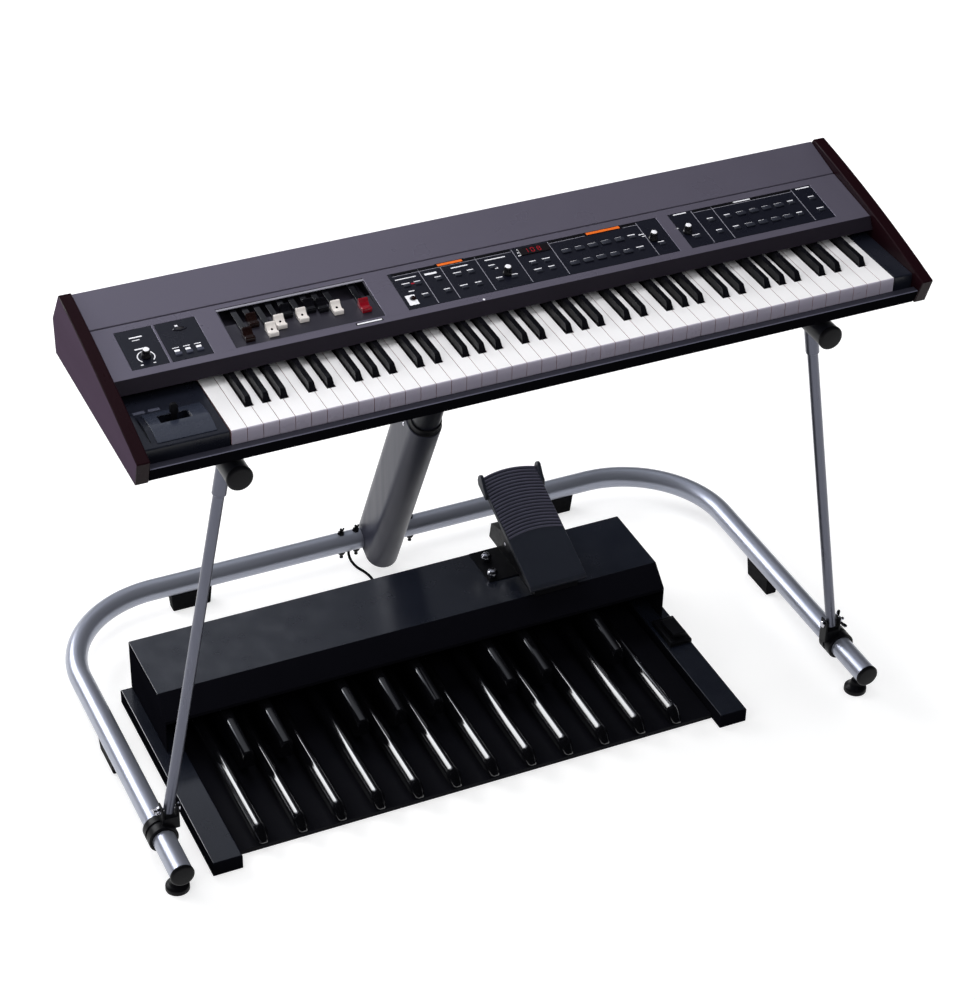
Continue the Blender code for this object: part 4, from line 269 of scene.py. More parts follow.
# Plain printed marks on the plates: places along the panel, lengths and rows
SOFT_BUTTON_WINDOW = (0.0362, 0.0425)
WIDE_BUTTON = (0.0150, 0.0074, 0.0009)
VOLUME_RING = (0.0122, 0.0017, math.radians(-48), math.radians(228))
PATCH = (-0.1445, 0.0350, 0.0148, 0.0225)
ROUND_BUTTON_PLACE = (-0.1420, 0.0372)
DIVIDERS = (-0.110, -0.076, -0.0185, 0.0415, 0.1015, 0.250, 0.345, 0.380, 0.521)
LINE_ROW = 0.0925
TITLE_LINES = ((-0.0565, 0.191), (0.1763, 0.146), (0.4333, 0.172))
LEGEND_OFFSET = 0.0058
LAMP_OFFSET = 0.0040
HEADINGS = (
    (-0.5486, 0.0818, 0.019, 0.0024), (-0.5500, 0.0755, 0.011, 0.0014),
    (-0.5503, 0.0560, 0.016, 0.0026), (-0.1347, 0.0841, 0.033, 0.0018),
    (-0.0951, 0.0827, 0.019, 0.0040), (-0.0484, 0.0846, 0.027, 0.0020),
    (0.0099, 0.0853, 0.033, 0.0020), (0.3254, 0.0965, 0.022, 0.0022),
    (0.4336, 0.0965, 0.029, 0.0024), (0.5406, 0.0958, 0.024, 0.0022),
    (0.0520, 0.0935, 0.006, 0.0016), (0.0504, 0.0868, 0.007, 0.0016),
    (0.0495, 0.0800, 0.008, 0.0016), (-0.1375, 0.0541, 0.009, 0.0018),
    (-0.4863, 0.0875, 0.004, 0.0034), (-0.5583, 0.0222, 0.004, 0.0018),
    (-0.5400, 0.0222, 0.004, 0.0018), (0.0030, 0.0640, 0.005, 0.0030),
    (0.0245, 0.0420, 0.006, 0.0015), (0.2460, 0.0690, 0.009, 0.0018),
    (0.2480, 0.0640, 0.006, 0.0014), (0.3040, 0.0650, 0.006, 0.0018),
)
ORANGE_MARKS = ((-0.0585, 0.0968, 0.040), (0.1937, 0.0955, 0.056))
FRONT_LABEL = (-0.2220, 0.0088, 0.038, 0.0028)
FRONT_DOT = (-0.0445, 0.0030, 0.0018)
LIT_LAMPS = ((-0.1290, 0.0655), (-0.0020, 0.0655), (0.3950, 0.0655))

PLATE_TOP = -0.0002
PRINT_THICKNESS = 0.0001
LENS_CLEAR_OF_PLATE = 0.0003
MERGE_DISTANCE = 1e-6

# Photo view
CAMERA_PLACE = Vector((-1.44093, -3.15763, 2.8348))
CAMERA_AXES = ((0.90907, -0.41609, 0.02138), (0.22689, 0.53744, 0.81220),
               (0.34944, 0.73350, -0.58298))
FLOOR_GLOW = (0.60, 0.90)
DARK_CEILING = 0.004
SEEN_HORIZON = 0.10
BACKDROP_WHITE = 1.2
ROOM_COLOUR = (0.86, 0.90, 1.0, 1.0)
# White cards that only reflections see: (strength, limits), each limit (way, none, full)
WHITE_CARDS = [
    (1.7, [("Z", 0.56, 0.61), ("Z", 0.675, 0.63), ("X", 0.325, 0.25), ("X", -0.6, -0.2),
           ("Y", 0.1, 0.4)]),
    (3.0, [("Z", 0.36, 0.44), ("Z", 0.82, 0.70), ("X", -0.20, -0.30), ("X", -0.72, -0.62),
           ("Y", 0.3, 0.5)]),
    (0.55, [("Z", 0.66, 0.76), ("X", 0.50, 0.20), ("X", -0.6, -0.2), ("Y", 0.1, 0.4)]),
]


def srgb(red, green, blue):
    """Linear colour of a colour named by its 0 to 255 display values."""
    shares = (channel / 255 for channel in (red, green, blue))
    return tuple(s / 12.92 if s <= 0.04045 else ((s + 0.055) / 1.055) ** 2.4 for s in shares)


def colour_setting(label, about, red, green, blue):
    return FloatVectorProperty(name=label, description=about, subtype="COLOR", size=3,
                               min=0.0, max=1.0, default=srgb(red, green, blue))


def length_setting(label, about, metres):
    return FloatProperty(name=label, description=about, default=metres, min=0.0,
                         unit="LENGTH", precision=5)


def power_setting(label, about, watts):
    return FloatProperty(name=label, description=about, default=watts, min=0.0, unit="POWER")


class ComboOrganFinishes(bpy.types.PropertyGroup):
    """Colours of the painted, moulded and metal surfaces"""
    panel: colour_setting("Panel", "Violet-grey metallic paint of the case top", 102, 98, 113)
    cheek: colour_setting("Cheek", "Dark burgundy of the end cheeks", 25, 9, 14)
    # The cheeks' outer faces are painted a lighter plum: a painted reflection of the pale room on
    # the dark burgundy lacquer
    cheek_side: colour_setting("Cheek sides", "Plum tone of the cheeks' outer faces", 82, 69, 84)
    rail: colour_setting("Rail", "Front rail under the keys", 13, 13, 17)
    plate: colour_setting("Plate", "Navy-black inset plates", 17, 18, 28)
    block: colour_setting("Block", "Charcoal blocks beside the keys", 24, 26, 35)
    ivory: colour_setting("Naturals", "White natural keys", 243, 242, 244)
    ebony: colour_setting("Sharps", "Black sharp keys", 12, 12, 16)
    brown: colour_setting("Brown drawbars", "Moulded brown drawbar knobs", 24, 12, 11)
    cream: colour_setting("White drawbars", "Moulded white drawbar knobs", 226, 220, 216)
    red: colour_setting("Red drawbar", "Moulded red drawbar knob", 128, 14, 28)
    silver: colour_setting("Base", "Silver paint of the base tubes", 156, 160, 174)
    column: colour_setting("Column", "Gunmetal of the leaning column", 50, 51, 63)
    strut: colour_setting("Struts", "Grey metal of the struts", 94, 96, 108)
    arm: colour_setting("Arms", "Black paint of the arms", 20, 21, 28)
    black: colour_setting("Black trim", "Moulded black trim", 12, 12, 15)
    board: colour_setting("Pedalboard", "Satin black of the pedalboard", 22, 25, 34)
    # The naturals' fronts are the keys' own white, painted lilac-grey as the shade on them
    front_face: colour_setting("Key fronts", "Lilac-grey fronts of the naturals", 176, 170, 187)
    line: colour_setting("Plate lines", "Grey dividing lines on the plates", 138, 137, 148)
    # The pad is painted lighter than the block around it, for the light along its arch
    bender_pad: colour_setting("Bender pad", "Raised pad round the bender", 42, 46, 58)
    soft_button: colour_setting("Soft buttons", "Grey buttons beside the sensor", 62, 64, 78)
    # The ribs are the treadle's own rubber, painted lighter as the highlight on their crests
    rib: colour_setting("Treadle ribs", "Ribs of the expression pedal", 70, 69, 84)
    # Darker black painted on the pedalboard's sides and on its deck under the pedals, as their
    # shade
    matte: colour_setting("Matte black", "Unlit sides of the pedalboard", 15, 15, 20)
    # The rail's top and front edge are painted highlights: lighter copies of the rail's own black
    rail_edge: colour_setting("Rail edge", "Lit edge along the front rail", 96, 96, 112)
    rail_top: colour_setting("Rail top", "Lit strip along the top of the front rail", 44, 44, 54)
    # The fold behind the keys is the panel's own paint, painted darker as its shade
    fascia: colour_setting("Fascia", "Dark fold of the panel behind the keys", 32, 28, 36)
    # The naturals' sides are painted darker and pinker as the shade in the gaps between keys
    key_side: colour_setting("Key sides", "Sides of the naturals inside their gaps", 176, 140, 146)
    case: colour_setting("Case", "Painted steel of the case's underside", 38, 38, 44)
    well: colour_setting("Drawbar well", "Floor and walls under the drawbars", 44, 42, 51)
    shaft: colour_setting("Drawbar shafts", "Dark shafts behind the drawbar knobs", 13, 13, 17)
    rubber: colour_setting("Rubber", "Pads, grommet and cable", 14, 14, 17)
    treadle: colour_setting("Treadle", "Rubber of the expression pedal", 30, 33, 42)
    pedal: colour_setting("Pedals", "Gloss black of the pedal bars", 10, 10, 13)
    button: colour_setting("Buttons", "Push buttons", 40, 42, 51)
    knob: colour_setting("Knobs", "Turning knobs", 11, 11, 14)
    steel: colour_setting("Screws", "Bright screws, nuts and bolts", 190, 190, 198)
    lens: colour_setting("Lenses", "Display window and sensor dome", 13, 7, 10)
    lamp: colour_setting("Lamps", "Lit windows and digits", 150, 16, 32)
    print_white: colour_setting("White print", "Printed lines and marks", 236, 236, 242)
    print_orange: colour_setting("Orange print", "Section marks", 226, 104, 22)


class ComboOrganSizes(bpy.types.PropertyGroup):
    """Sizes of the details that the looks add to the solids"""
    edge: length_setting("Edge", "Softening of the case's sheet edges", 0.0006)
    key_edge: length_setting("Key edge", "Rounding along the keys' edges", 0.0007)
    button_width: length_setting("Button width", "Push button along the panel", 0.0095)
    button_depth: length_setting("Button depth", "Push button across the panel", 0.0055)
    button_rise: length_setting("Button rise", "Push button above its plate", 0.0022)
    tube_radius: length_setting("Base tube radius", "Outer radius of the base tubes", 0.0185)
    tube_sides: IntProperty(name="Tube sides", description="Sides of a round tube",
                            default=40, min=8, max=96)
    cable_diameter: length_setting("Cable diameter", "Outer diameter of the pedal cable", 0.005)
    rib_count: IntProperty(name="Treadle ribs", description="Ribs across the treadle's toe half",
                           default=20, min=1, max=60)
    rib_height: length_setting("Rib height", "Treadle rib above the rubber", 0.0018)


class ComboOrganStudio(bpy.types.PropertyGroup):
    """Floor, lamps and room"""
    floor_radius: length_setting("Floor radius", "Half width of the studio floor", 14.0)
    top_power: power_setting("Top box", "Power of the overhead soft box", 61.0)
    back_power: power_setting("Back box", "Power of the soft box behind on the left", 66.0)
    front_power: power_setting("Front box", "Power of the box over the player's place", 17.0)
    side_power: power_setting("Side boxes", "Power of each soft box at the sides", 26.0)
    horizon: FloatProperty(name="Horizon", description="Brightness of the room at eye level",
                           default=0.08, min=0.0)
    ceiling: FloatProperty(name="Ceiling", description="Brightness of the room overhead",
                           default=0.05, min=0.0)
    focal_length: FloatProperty(name="Focal length", description="Camera lens in millimetres",
                                default=94.565, min=1.0, unit="CAMERA")


# Finishes

def add_nodes(tree, *kinds):
    return [tree.nodes.new(kind) for kind in kinds]


def object_noise(tree, size, detail=3.0, stretch=(1.0, 1.0, 1.0), turn=(0.0, 0.0, 0.0)):
    """A noise whose blotches are about the given size, in metres on the piece itself."""
    place, mapping, noise = add_nodes(tree, "ShaderNodeTexCoord", "ShaderNodeMapping",
                                      "ShaderNodeTexNoise")
    mapping.inputs["Rotation"].default_value = turn
    mapping.inputs["Scale"].default_value = stretch
    noise.inputs["Scale"].default_value = 1.0 / size
    noise.inputs["Detail"].default_value = detail
    tree.links.new(place.outputs["Object"], mapping.inputs["Vector"])
    tree.links.new(mapping.outputs["Vector"], noise.inputs["Vector"])
    return noise.outputs["Fac"]


def maths(tree, operation, first, second):
    """A maths node on two values, each a socket or a number; returns its output socket."""
    node = tree.nodes.new("ShaderNodeMath")
    node.operation = operation
    for socket, value in zip(node.inputs, (first, second)):
        if isinstance(value, float):
            socket.default_value = value
        else:
            tree.links.new(value, socket)
    return node.outputs["Value"]


def ranged(tree, value, low, high, start, end):
    spread = tree.nodes.new("ShaderNodeMapRange")
    spread.interpolation_type = "SMOOTHSTEP"
    for name, number in (("From Min", start), ("From Max", end), ("To Min", low),
                         ("To Max", high)):
        spread.inputs[name].default_value = number
    tree.links.new(value, spread.inputs["Value"])
    return spread.outputs["Result"]


def blended(tree, share, first, second):
    """A colour between two, by a share that comes from a texture."""
    mix = tree.nodes.new("ShaderNodeMix")
    mix.data_type = "RGBA"
    tree.links.new(share, mix.inputs["Factor"])
    for socket, colour in ((mix.inputs["A"], first), (mix.inputs["B"], second)):
        if isinstance(colour, bpy.types.NodeSocket):
            tree.links.new(colour, socket)
        else:
            socket.default_value = (*colour, 1.0)
    return mix.outputs["Result"]


def worn_and_lit_edge(tree, width, reach):
    """Rises from 0 to 1 towards a sharp edge, broken up as wear is: edge wear, and on the bender
    pad a painted highlight.
    """
    rounded, plain, difference = add_nodes(tree, "ShaderNodeBevel", "ShaderNodeNewGeometry",
                                           "ShaderNodeVectorMath")
    rounded.samples = 4
    rounded.inputs["Radius"].default_value = width
    difference.operation = "DOT_PRODUCT"
    tree.links.new(rounded.outputs["Normal"], difference.inputs[0])
    tree.links.new(plain.outputs["Normal"], difference.inputs[1])
    edge = ranged(tree, difference.outputs["Value"], 1.0, 0.0, 0.80, 0.995)
    broken = ranged(tree, object_noise(tree, 0.012, 5.0), 0.0, reach, 0.42, 0.68)
    return maths(tree, "MULTIPLY", edge, broken)


def surface(name, colour, metallic, roughness, spread, mottle, mottle_size, grain_size, bump,
            coat=0.0, coat_roughness=0.08, specular=0.5, wear=0.0, wear_width=0.0012,
            stretch=(1.0, 1.0, 1.0), turn=(0.0, 0.0, 0.0), glow=0.0):
    """A finish of this object: its colour drifts a little over the piece, its gloss is uneven
    with handling, and its grain is raised at the scale of the real moulding or paint."""
    made = bpy.data.materials.new(name)
    made.use_nodes = True
    tree = made.node_tree
    shader = tree.nodes["Principled BSDF"]
    shader.inputs["Metallic"].default_value = metallic
    shader.inputs["Specular IOR Level"].default_value = specular
    shader.inputs["Coat Weight"].default_value = coat
    shader.inputs["Coat Roughness"].default_value = coat_roughness
    drift = object_noise(tree, mottle_size, 4.0, stretch, turn)
    darker = tuple(channel * (1 - mottle) for channel in colour)
    lighter = tuple(min(1.0, channel * (1 + mottle)) for channel in colour)
    colour_now = blended(tree, drift, darker, lighter)
    # Lighter towards sharp edges: real wear on most finishes, a painted highlight on the bender pad
    if wear:
        worn_and_lit = tuple(min(1.0, channel * 2.2 + 0.03) for channel in colour)
        colour_now = blended(tree, worn_and_lit_edge(tree, wear_width, wear), colour_now, worn_and_lit)
    tree.links.new(colour_now, shader.inputs["Base Color"])
    gloss = ranged(tree, object_noise(tree, mottle_size * 0.7, 3.0, stretch, turn),
                   max(0.02, roughness - spread), min(1.0, roughness + spread), 0.2, 0.8)
    tree.links.new(gloss, shader.inputs["Roughness"])
    relief = tree.nodes.new("ShaderNodeBump")
    relief.inputs["Strength"].default_value = min(1.0, bump * 10)
    relief.inputs["Distance"].default_value = grain_size * 0.12
    tree.links.new(object_noise(tree, grain_size, 2.0, stretch, turn), relief.inputs["Height"])
    tree.links.new(relief.outputs["Normal"], shader.inputs["Normal"])
    if glow:
        tree.links.new(colour_now, shader.inputs["Emission Color"])
        shader.inputs["Emission Strength"].default_value = glow
    return made


ALONG_KEYS = (0.06, 1.0, 1.0)
UPRIGHT = (1.0, 1.0, 0.06)
COLUMN_TURN = (-COLUMN_LEAN, 0.0, 0.0)

# Each finish: its colour, how metallic, rough and uneven it is, how much its colour drifts and
# over what size, the size of its grain, its relief, and what else it has
FINISHES = {
    "panel_paint": ("panel", 0.40, 0.30, 0.04, 0.04, 0.12, 0.00035, 0.015,
            dict(coat=0.12, coat_roughness=0.24, wear=0.10)),
    "fascia_paint": ("fascia", 0.10, 0.42, 0.05, 0.06, 0.08, 0.00035, 0.04, dict(wear=0.10)),
    "cheek_lacquer": ("cheek", 0.0, 0.30, 0.06, 0.12, 0.03, 0.0012, 0.02,
            dict(specular=0.07, wear=0.05, stretch=(1.0, 0.10, 1.0))),
    # Painted reflection on the cheeks' outer faces, so their own specular is off
    "cheek_side_lacquer": ("cheek_side", 0.0, 0.40, 0.05, 0.10, 0.03, 0.0012, 0.02,
            dict(specular=0.0, stretch=(1.0, 0.10, 1.0))),
    "case_paint": ("case", 0.1, 0.5, 0.06, 0.10, 0.08, 0.0007, 0.06, dict(wear=0.2)),
    "rail_paint": ("rail", 0.0, 0.40, 0.05, 0.10, 0.06, 0.0004, 0.03,
            dict(specular=0.0, stretch=ALONG_KEYS)),
    # Painted highlights along the rail's top and its front edge
    "rail_top_paint": ("rail_top", 0.35, 0.38, 0.05, 0.05, 0.08, 0.0004, 0.04,
            dict(stretch=ALONG_KEYS)),
    "rail_edge_paint": ("rail_edge", 0.2, 0.38, 0.05, 0.05, 0.08, 0.0004, 0.03,
            dict(stretch=ALONG_KEYS)),
    "plate_satin": ("plate", 0.0, 0.30, 0.05, 0.08, 0.03, 0.0005, 0.03,
            dict(wear=0.10, wear_width=0.0004)),
    "block_satin": ("block", 0.0, 0.30, 0.05, 0.08, 0.03, 0.0005, 0.03,
            dict(specular=0.42, wear=0.15, wear_width=0.0006)),
    # Painted highlight: the pad's lighter colour, and the lighter edges that its large wear value
    # paints
    "pad_satin": ("bender_pad", 0.0, 0.26, 0.05, 0.08, 0.03, 0.0005, 0.02,
            dict(specular=0.6, wear=0.5, wear_width=0.0008)),
    "well_satin": ("well", 0.2, 0.34, 0.05, 0.06, 0.03, 0.0006, 0.02,
            dict(coat=0.1, coat_roughness=0.2)),
    "natural_gloss": ("ivory", 0.0, 0.20, 0.05, 0.015, 0.05, 0.004, 0.01,
            dict(coat=0.35, coat_roughness=0.06)),
    # Painted shade on the naturals' fronts and on their sides in the gaps
    "natural_front": ("front_face", 0.0, 0.30, 0.05, 0.02, 0.05, 0.004, 0.01, dict(coat=0.2)),
    "natural_side": ("key_side", 0.0, 0.40, 0.05, 0.08, 0.01, 0.002, 0.02, {}),
    "sharp_gloss": ("ebony", 0.0, 0.20, 0.06, 0.12, 0.03, 0.002, 0.02,
            dict(specular=0.4, coat=0.15, coat_roughness=0.06)),
    "sharp_side": ("ebony", 0.0, 0.30, 0.06, 0.12, 0.03, 0.002, 0.02, dict(specular=0.08)),
    "brown_gloss": ("brown", 0.0, 0.24, 0.06, 0.12, 0.01, 0.001, 0.02,
            dict(specular=0.4, wear=0.5, wear_width=0.0007)),
    "cream_gloss": ("cream", 0.0, 0.24, 0.05, 0.03, 0.01, 0.001, 0.02, dict(coat=0.35)),
    "red_gloss": ("red", 0.0, 0.18, 0.05, 0.10, 0.01, 0.001, 0.02,
            dict(coat=0.5, coat_roughness=0.05)),
    "shaft_gloss": ("shaft", 0.0, 0.14, 0.05, 0.14, 0.02, 0.0012, 0.02,
            dict(specular=0.25, coat=0.1, coat_roughness=0.05, stretch=(1.0, 0.1, 1.0))),
    "silver_paint": ("silver", 0.60, 0.34, 0.04, 0.03, 0.08, 0.00035, 0.008,
            dict(coat=0.2, coat_roughness=0.15)),
    "column_anodised": ("column", 0.25, 0.36, 0.05, 0.05, 0.03, 0.0005, 0.03,
            dict(specular=0.25, stretch=(1.0, 1.0, 0.05), turn=COLUMN_TURN)),
    "strut_metal": ("strut", 0.7, 0.30, 0.05, 0.04, 0.02, 0.0004, 0.03, dict(stretch=UPRIGHT)),
    "arm_paint": ("arm", 0.0, 0.36, 0.05, 0.10, 0.05, 0.0008, 0.03, dict(specular=0.2)),
    "black_moulding": ("black", 0.0, 0.40, 0.06, 0.14, 0.02, 0.0005, 0.05, dict(specular=0.12)),
    "black_rubber": ("rubber", 0.0, 0.72, 0.08, 0.18, 0.01, 0.0004, 0.10, dict(specular=0.05)),
    "treadle_rubber": ("treadle", 0.0, 0.44, 0.06, 0.12, 0.02, 0.0005, 0.07,
            dict(wear=0.25, wear_width=0.0008)),
    # Painted highlight on the treadle's ribs
    "rib_rubber": ("rib", 0.0, 0.40, 0.06, 0.12, 0.02, 0.0005, 0.05, dict(specular=0.4)),
    "board_paint": ("board", 0.0, 0.24, 0.05, 0.10, 0.06, 0.0009, 0.003,
            dict(coat=0.25, coat_roughness=0.2)),
    # Painted shade on the pedalboard's sides and its deck
    "matte_paint": ("matte", 0.0, 0.50, 0.06, 0.12, 0.05, 0.0009, 0.03, dict(specular=0.0)),
    "deck_paint": ("matte", 0.0, 0.50, 0.06, 0.14, 0.05, 0.0009, 0.04, dict(specular=0.05)),
    "pedal_gloss": ("pedal", 0.0, 0.14, 0.05, 0.15, 0.04, 0.003, 0.01,
            dict(coat=0.6, coat_roughness=0.07)),
    "button_satin": ("button", 0.0, 0.34, 0.05, 0.10, 0.006, 0.0004, 0.05, dict(coat=0.15)),
    "knob_satin": ("knob", 0.0, 0.30, 0.05, 0.12, 0.006, 0.0004, 0.06, dict(coat=0.2)),
    "bright_steel": ("steel", 1.0, 0.24, 0.06, 0.05, 0.006, 0.0003, 0.03, {}),
    "lens_gloss": ("lens", 0.0, 0.08, 0.03, 0.10, 0.02, 0.002, 0.01,
            dict(coat=0.6, coat_roughness=0.04)),
    "lamp_red": ("lamp", 0.0, 0.25, 0.05, 0.15, 0.002, 0.0005, 0.02, dict(glow=0.12)),
    "white_print": ("print_white", 0.0, 0.5, 0.06, 0.06, 0.004, 0.0003, 0.03, {}),
    "line_print": ("line", 0.0, 0.5, 0.06, 0.06, 0.004, 0.0003, 0.03, {}),
    "soft_button_satin": ("soft_button", 0.0, 0.40, 0.05, 0.10, 0.006, 0.0004, 0.05, {}),
    "orange_print": ("print_orange", 0.0, 0.5, 0.06, 0.07, 0.004, 0.0003, 0.03, {}),
}


def organ_finish(name):
    """The named finish, made once."""
    colour, *numbers, more = FINISHES[name]
    paint = getattr(bpy.context.scene.combo_organ_finishes, colour)
    return bpy.data.materials.get(name) or surface(name, paint, *numbers, **more)


# Meshes

def add_box(shape, low, high):
    size = Vector(high) - Vector(low)
    middle = (Vector(high) + Vector(low)) / 2
    place = Matrix.Translation(middle) @ Matrix.Diagonal((*size, 1))
    return bmesh.ops.create_cube(shape, size=1, matrix=place)["verts"]


def add_prism(shape, outline, axis, low, high):
    """A flat outline in the two other axes, swept along one axis from low to high."""
    spread = {
        "X": lambda a, b, along: Vector((along, a, b)),
        "Y": lambda a, b, along: Vector((a, along, b)),
        "Z": lambda a, b, along: Vector((a, b, along)),
    }[axis]
    face = shape.faces.new([shape.verts.new(spread(a, b, low)) for a, b in outline])
    swept = bmesh.ops.extrude_face_region(shape, geom=[face])["geom"]
    moved = verts_among(swept)
    bmesh.ops.translate(shape, verts=moved, vec=spread(0, 0, high - low))
    return moved + list(face.verts)


def add_rod(shape, start, end, radius, segments):
    start, end = Vector(start), Vector(end)
    turn = (end - start).to_track_quat("Z", "Y").to_matrix().to_4x4()
    return bmesh.ops.create_cone(
        shape, cap_ends=True, segments=segments, radius1=radius, radius2=radius,
        depth=(end - start).length,
        matrix=Matrix.Translation((start + end) / 2) @ turn)["verts"]


def add_turned(shape, profile, place, steps):
    """Adds a profile of (radius, height) pairs turned about the place's Z axis."""
    lathe = bmesh.new()
    verts = [lathe.verts.new((radius, 0, height)) for radius, height in profile]
    edges = [lathe.edges.new(pair) for pair in zip(verts, verts[1:])]
    bmesh.ops.spin(lathe, geom=verts + edges, axis=(0, 0, 1), cent=(0, 0, 0),
                   angle=2 * math.pi, steps=steps, use_merge=True)
    bmesh.ops.remove_doubles(lathe, verts=lathe.verts, dist=MERGE_DISTANCE)
    bmesh.ops.transform(lathe, matrix=place, verts=lathe.verts)
    mesh = bpy.data.meshes.new("turned")
    lathe.to_mesh(mesh)
    lathe.free()
    shape.from_mesh(mesh)
    bpy.data.meshes.remove(mesh)


def round_edges(shape, chosen, radius, segments):
    """Rounds each edge whose two ends the given test accepts."""
    edges = [edge for edge in shape.edges if chosen(edge.verts[0].co, edge.verts[1].co)]
    bmesh.ops.bevel(shape, geom=edges, offset=radius, segments=segments, profile=0.5,
                    affect="EDGES", clamp_overlap=True)


def circle_points(centre, radius, start, end, count):
    return [(centre[0] + radius * math.cos(start + (end - start) * step / count),
             centre[1] + radius * math.sin(start + (end - start) * step / count))
            for step in range(count + 1)]


def verts_among(parts):
    return [part for part in parts if isinstance(part, bmesh.types.BMVert)]


def join_rings(shape, rings):
    """Joins closed rings of vertices in turn, and closes both ends."""
    for near, far in zip(rings, rings[1:]):
        for index, vert in enumerate(near):
            after = (index + 1) % len(near)
            shape.faces.new((vert, near[after], far[after], far[index]))
    shape.faces.new(rings[0])
    shape.faces.new(rings[-1])


def move(shape, matrix, verts=None):
    bmesh.ops.transform(shape, matrix=matrix, verts=verts or shape.verts)


def add_box_at(shape, place, low, high):
    move(shape, place, add_box(shape, low, high))


def turn_about(axis, degrees):
    return Matrix.Rotation(math.radians(degrees), 4, axis)


def mesh_of(shape, name, smooth_angle=35.0, outward=True):
    if outward:
        bmesh.ops.recalc_face_normals(shape, faces=shape.faces)
    mesh = bpy.data.meshes.new(name)
    shape.to_mesh(mesh)
    shape.free()
    mesh.shade_smooth()
    mesh.set_sharp_from_angle(angle=math.radians(smooth_angle))
    return mesh


def settle(name, mesh, finishes, body=MAIN, slot=None, replaces=(), edge=0.0, segments=2,
           edge_angle=32.0):
    """Makes a finished piece of a mesh that is already in place, and gives it to its body."""
    made = bpy.data.objects.new(name, mesh)
    bpy.context.scene.collection.objects.link(made)
    if mesh.materials:
        mesh.materials.clear()
    for finish in [finishes] if isinstance(finishes, str) else finishes:
        mesh.materials.append(organ_finish(finish))
    if edge:
        rounding = made.modifiers.new("rounded edges", "BEVEL")
        rounding.width = edge
        rounding.segments = segments
        rounding.limit_method = "ANGLE"
        rounding.angle_limit = math.radians(edge_angle)
        rounding.use_clamp_overlap = True
        rounding.harden_normals = True
    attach(made, body)
    if replaces:
        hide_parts(*([replaces] if isinstance(replaces, str) else replaces))
    return made


def piece(name, shape, finishes, smooth_angle=35.0, **how):
    return settle(name, mesh_of(shape, name, smooth_angle), finishes, **how)


def turned_piece(name, profile, place, steps, finish, **how):
    """A piece that is one profile turned about its place's Z axis."""
    shape = bmesh.new()
    add_turned(shape, profile, place, steps)
    return piece(name, shape, finish, **how)


def solid_copy(node):
    """The CAD node's own shape as one closed bmesh, its flat faces joined up."""
    shape = bmesh.new()
    shape.from_mesh(NODES[node].data)
    bmesh.ops.remove_doubles(shape, verts=shape.verts, dist=MERGE_DISTANCE)
    bmesh.ops.dissolve_limit(shape, angle_limit=math.radians(0.4), verts=shape.verts,
                             edges=shape.edges)
    return shape


def skin(node, finishes, slot, pick=None, edge=0.0005, segments=2, smooth_angle=35.0,
         edge_angle=32.0):
    """Stands for a CAD node in its own shape, with its edges softened and its finish on.
    Where it has several finishes, pick says which by a face's middle and the way it looks."""
    shape = solid_copy(node)
    if pick:
        for face in shape.faces:
            face.material_index = pick(face.calc_center_median(), face.normal)
    mesh = mesh_of(shape, node + "_skin", smooth_angle, outward=False)
    return settle(node + "_skin", mesh, finishes, NODES[node]["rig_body"], slot, node, edge,
                  segments, edge_angle)


# Trees of Geometry Nodes

def new_tree(name, inputs):
    tree = bpy.data.node_groups.new(name, "GeometryNodeTree")
    for label, kind, value in inputs:
        socket = tree.interface.new_socket(label, in_out="INPUT", socket_type=kind)
        if value is not None:
            socket.default_value = value
    tree.interface.new_socket("Geometry", in_out="OUTPUT", socket_type="NodeSocketGeometry")
    return tree, tree.nodes.new("NodeGroupInput").outputs


def end_tree(tree, geometry, finish):
    """Every tree ends in real geometry that wears its finish."""
    real, wear, out = add_nodes(tree, "GeometryNodeRealizeInstances", "GeometryNodeSetMaterial",
                                "NodeGroupOutput")
    tree.links.new(geometry, real.inputs["Geometry"])
    tree.links.new(real.outputs["Geometry"], wear.inputs["Geometry"])
    tree.links.new(finish, wear.inputs["Material"])
    tree.links.new(wear.outputs["Geometry"], out.inputs["Geometry"])
    return tree


def repeat_tree():
    """Puts a master piece at every point, turned and stretched by the point's own values."""
    found = bpy.data.node_groups.get("repeated_piece")
    if found:
        return found
    tree, given = new_tree("repeated_piece", [
        ("Places", "NodeSocketGeometry", None), ("Master", "NodeSocketObject", None),
        ("Finish", "NodeSocketMaterial", None)])
    master, turn, size, put = add_nodes(
        tree, "GeometryNodeObjectInfo", "GeometryNodeInputNamedAttribute",
        "GeometryNodeInputNamedAttribute", "GeometryNodeInstanceOnPoints")
    master.transform_space = "ORIGINAL"
    for node, name, kind in ((turn, "turn", "QUATERNION"), (size, "size", "FLOAT_VECTOR")):
        node.data_type = kind
        node.inputs["Name"].default_value = name
    links = tree.links
    links.new(given["Master"], master.inputs["Object"])
    links.new(given["Places"], put.inputs["Points"])
    links.new(master.outputs["Geometry"], put.inputs["Instance"])
    links.new(turn.outputs["Attribute"], put.inputs["Rotation"])
    links.new(size.outputs["Attribute"], put.inputs["Scale"])
    return end_tree(tree, put.outputs["Instances"], given["Finish"])


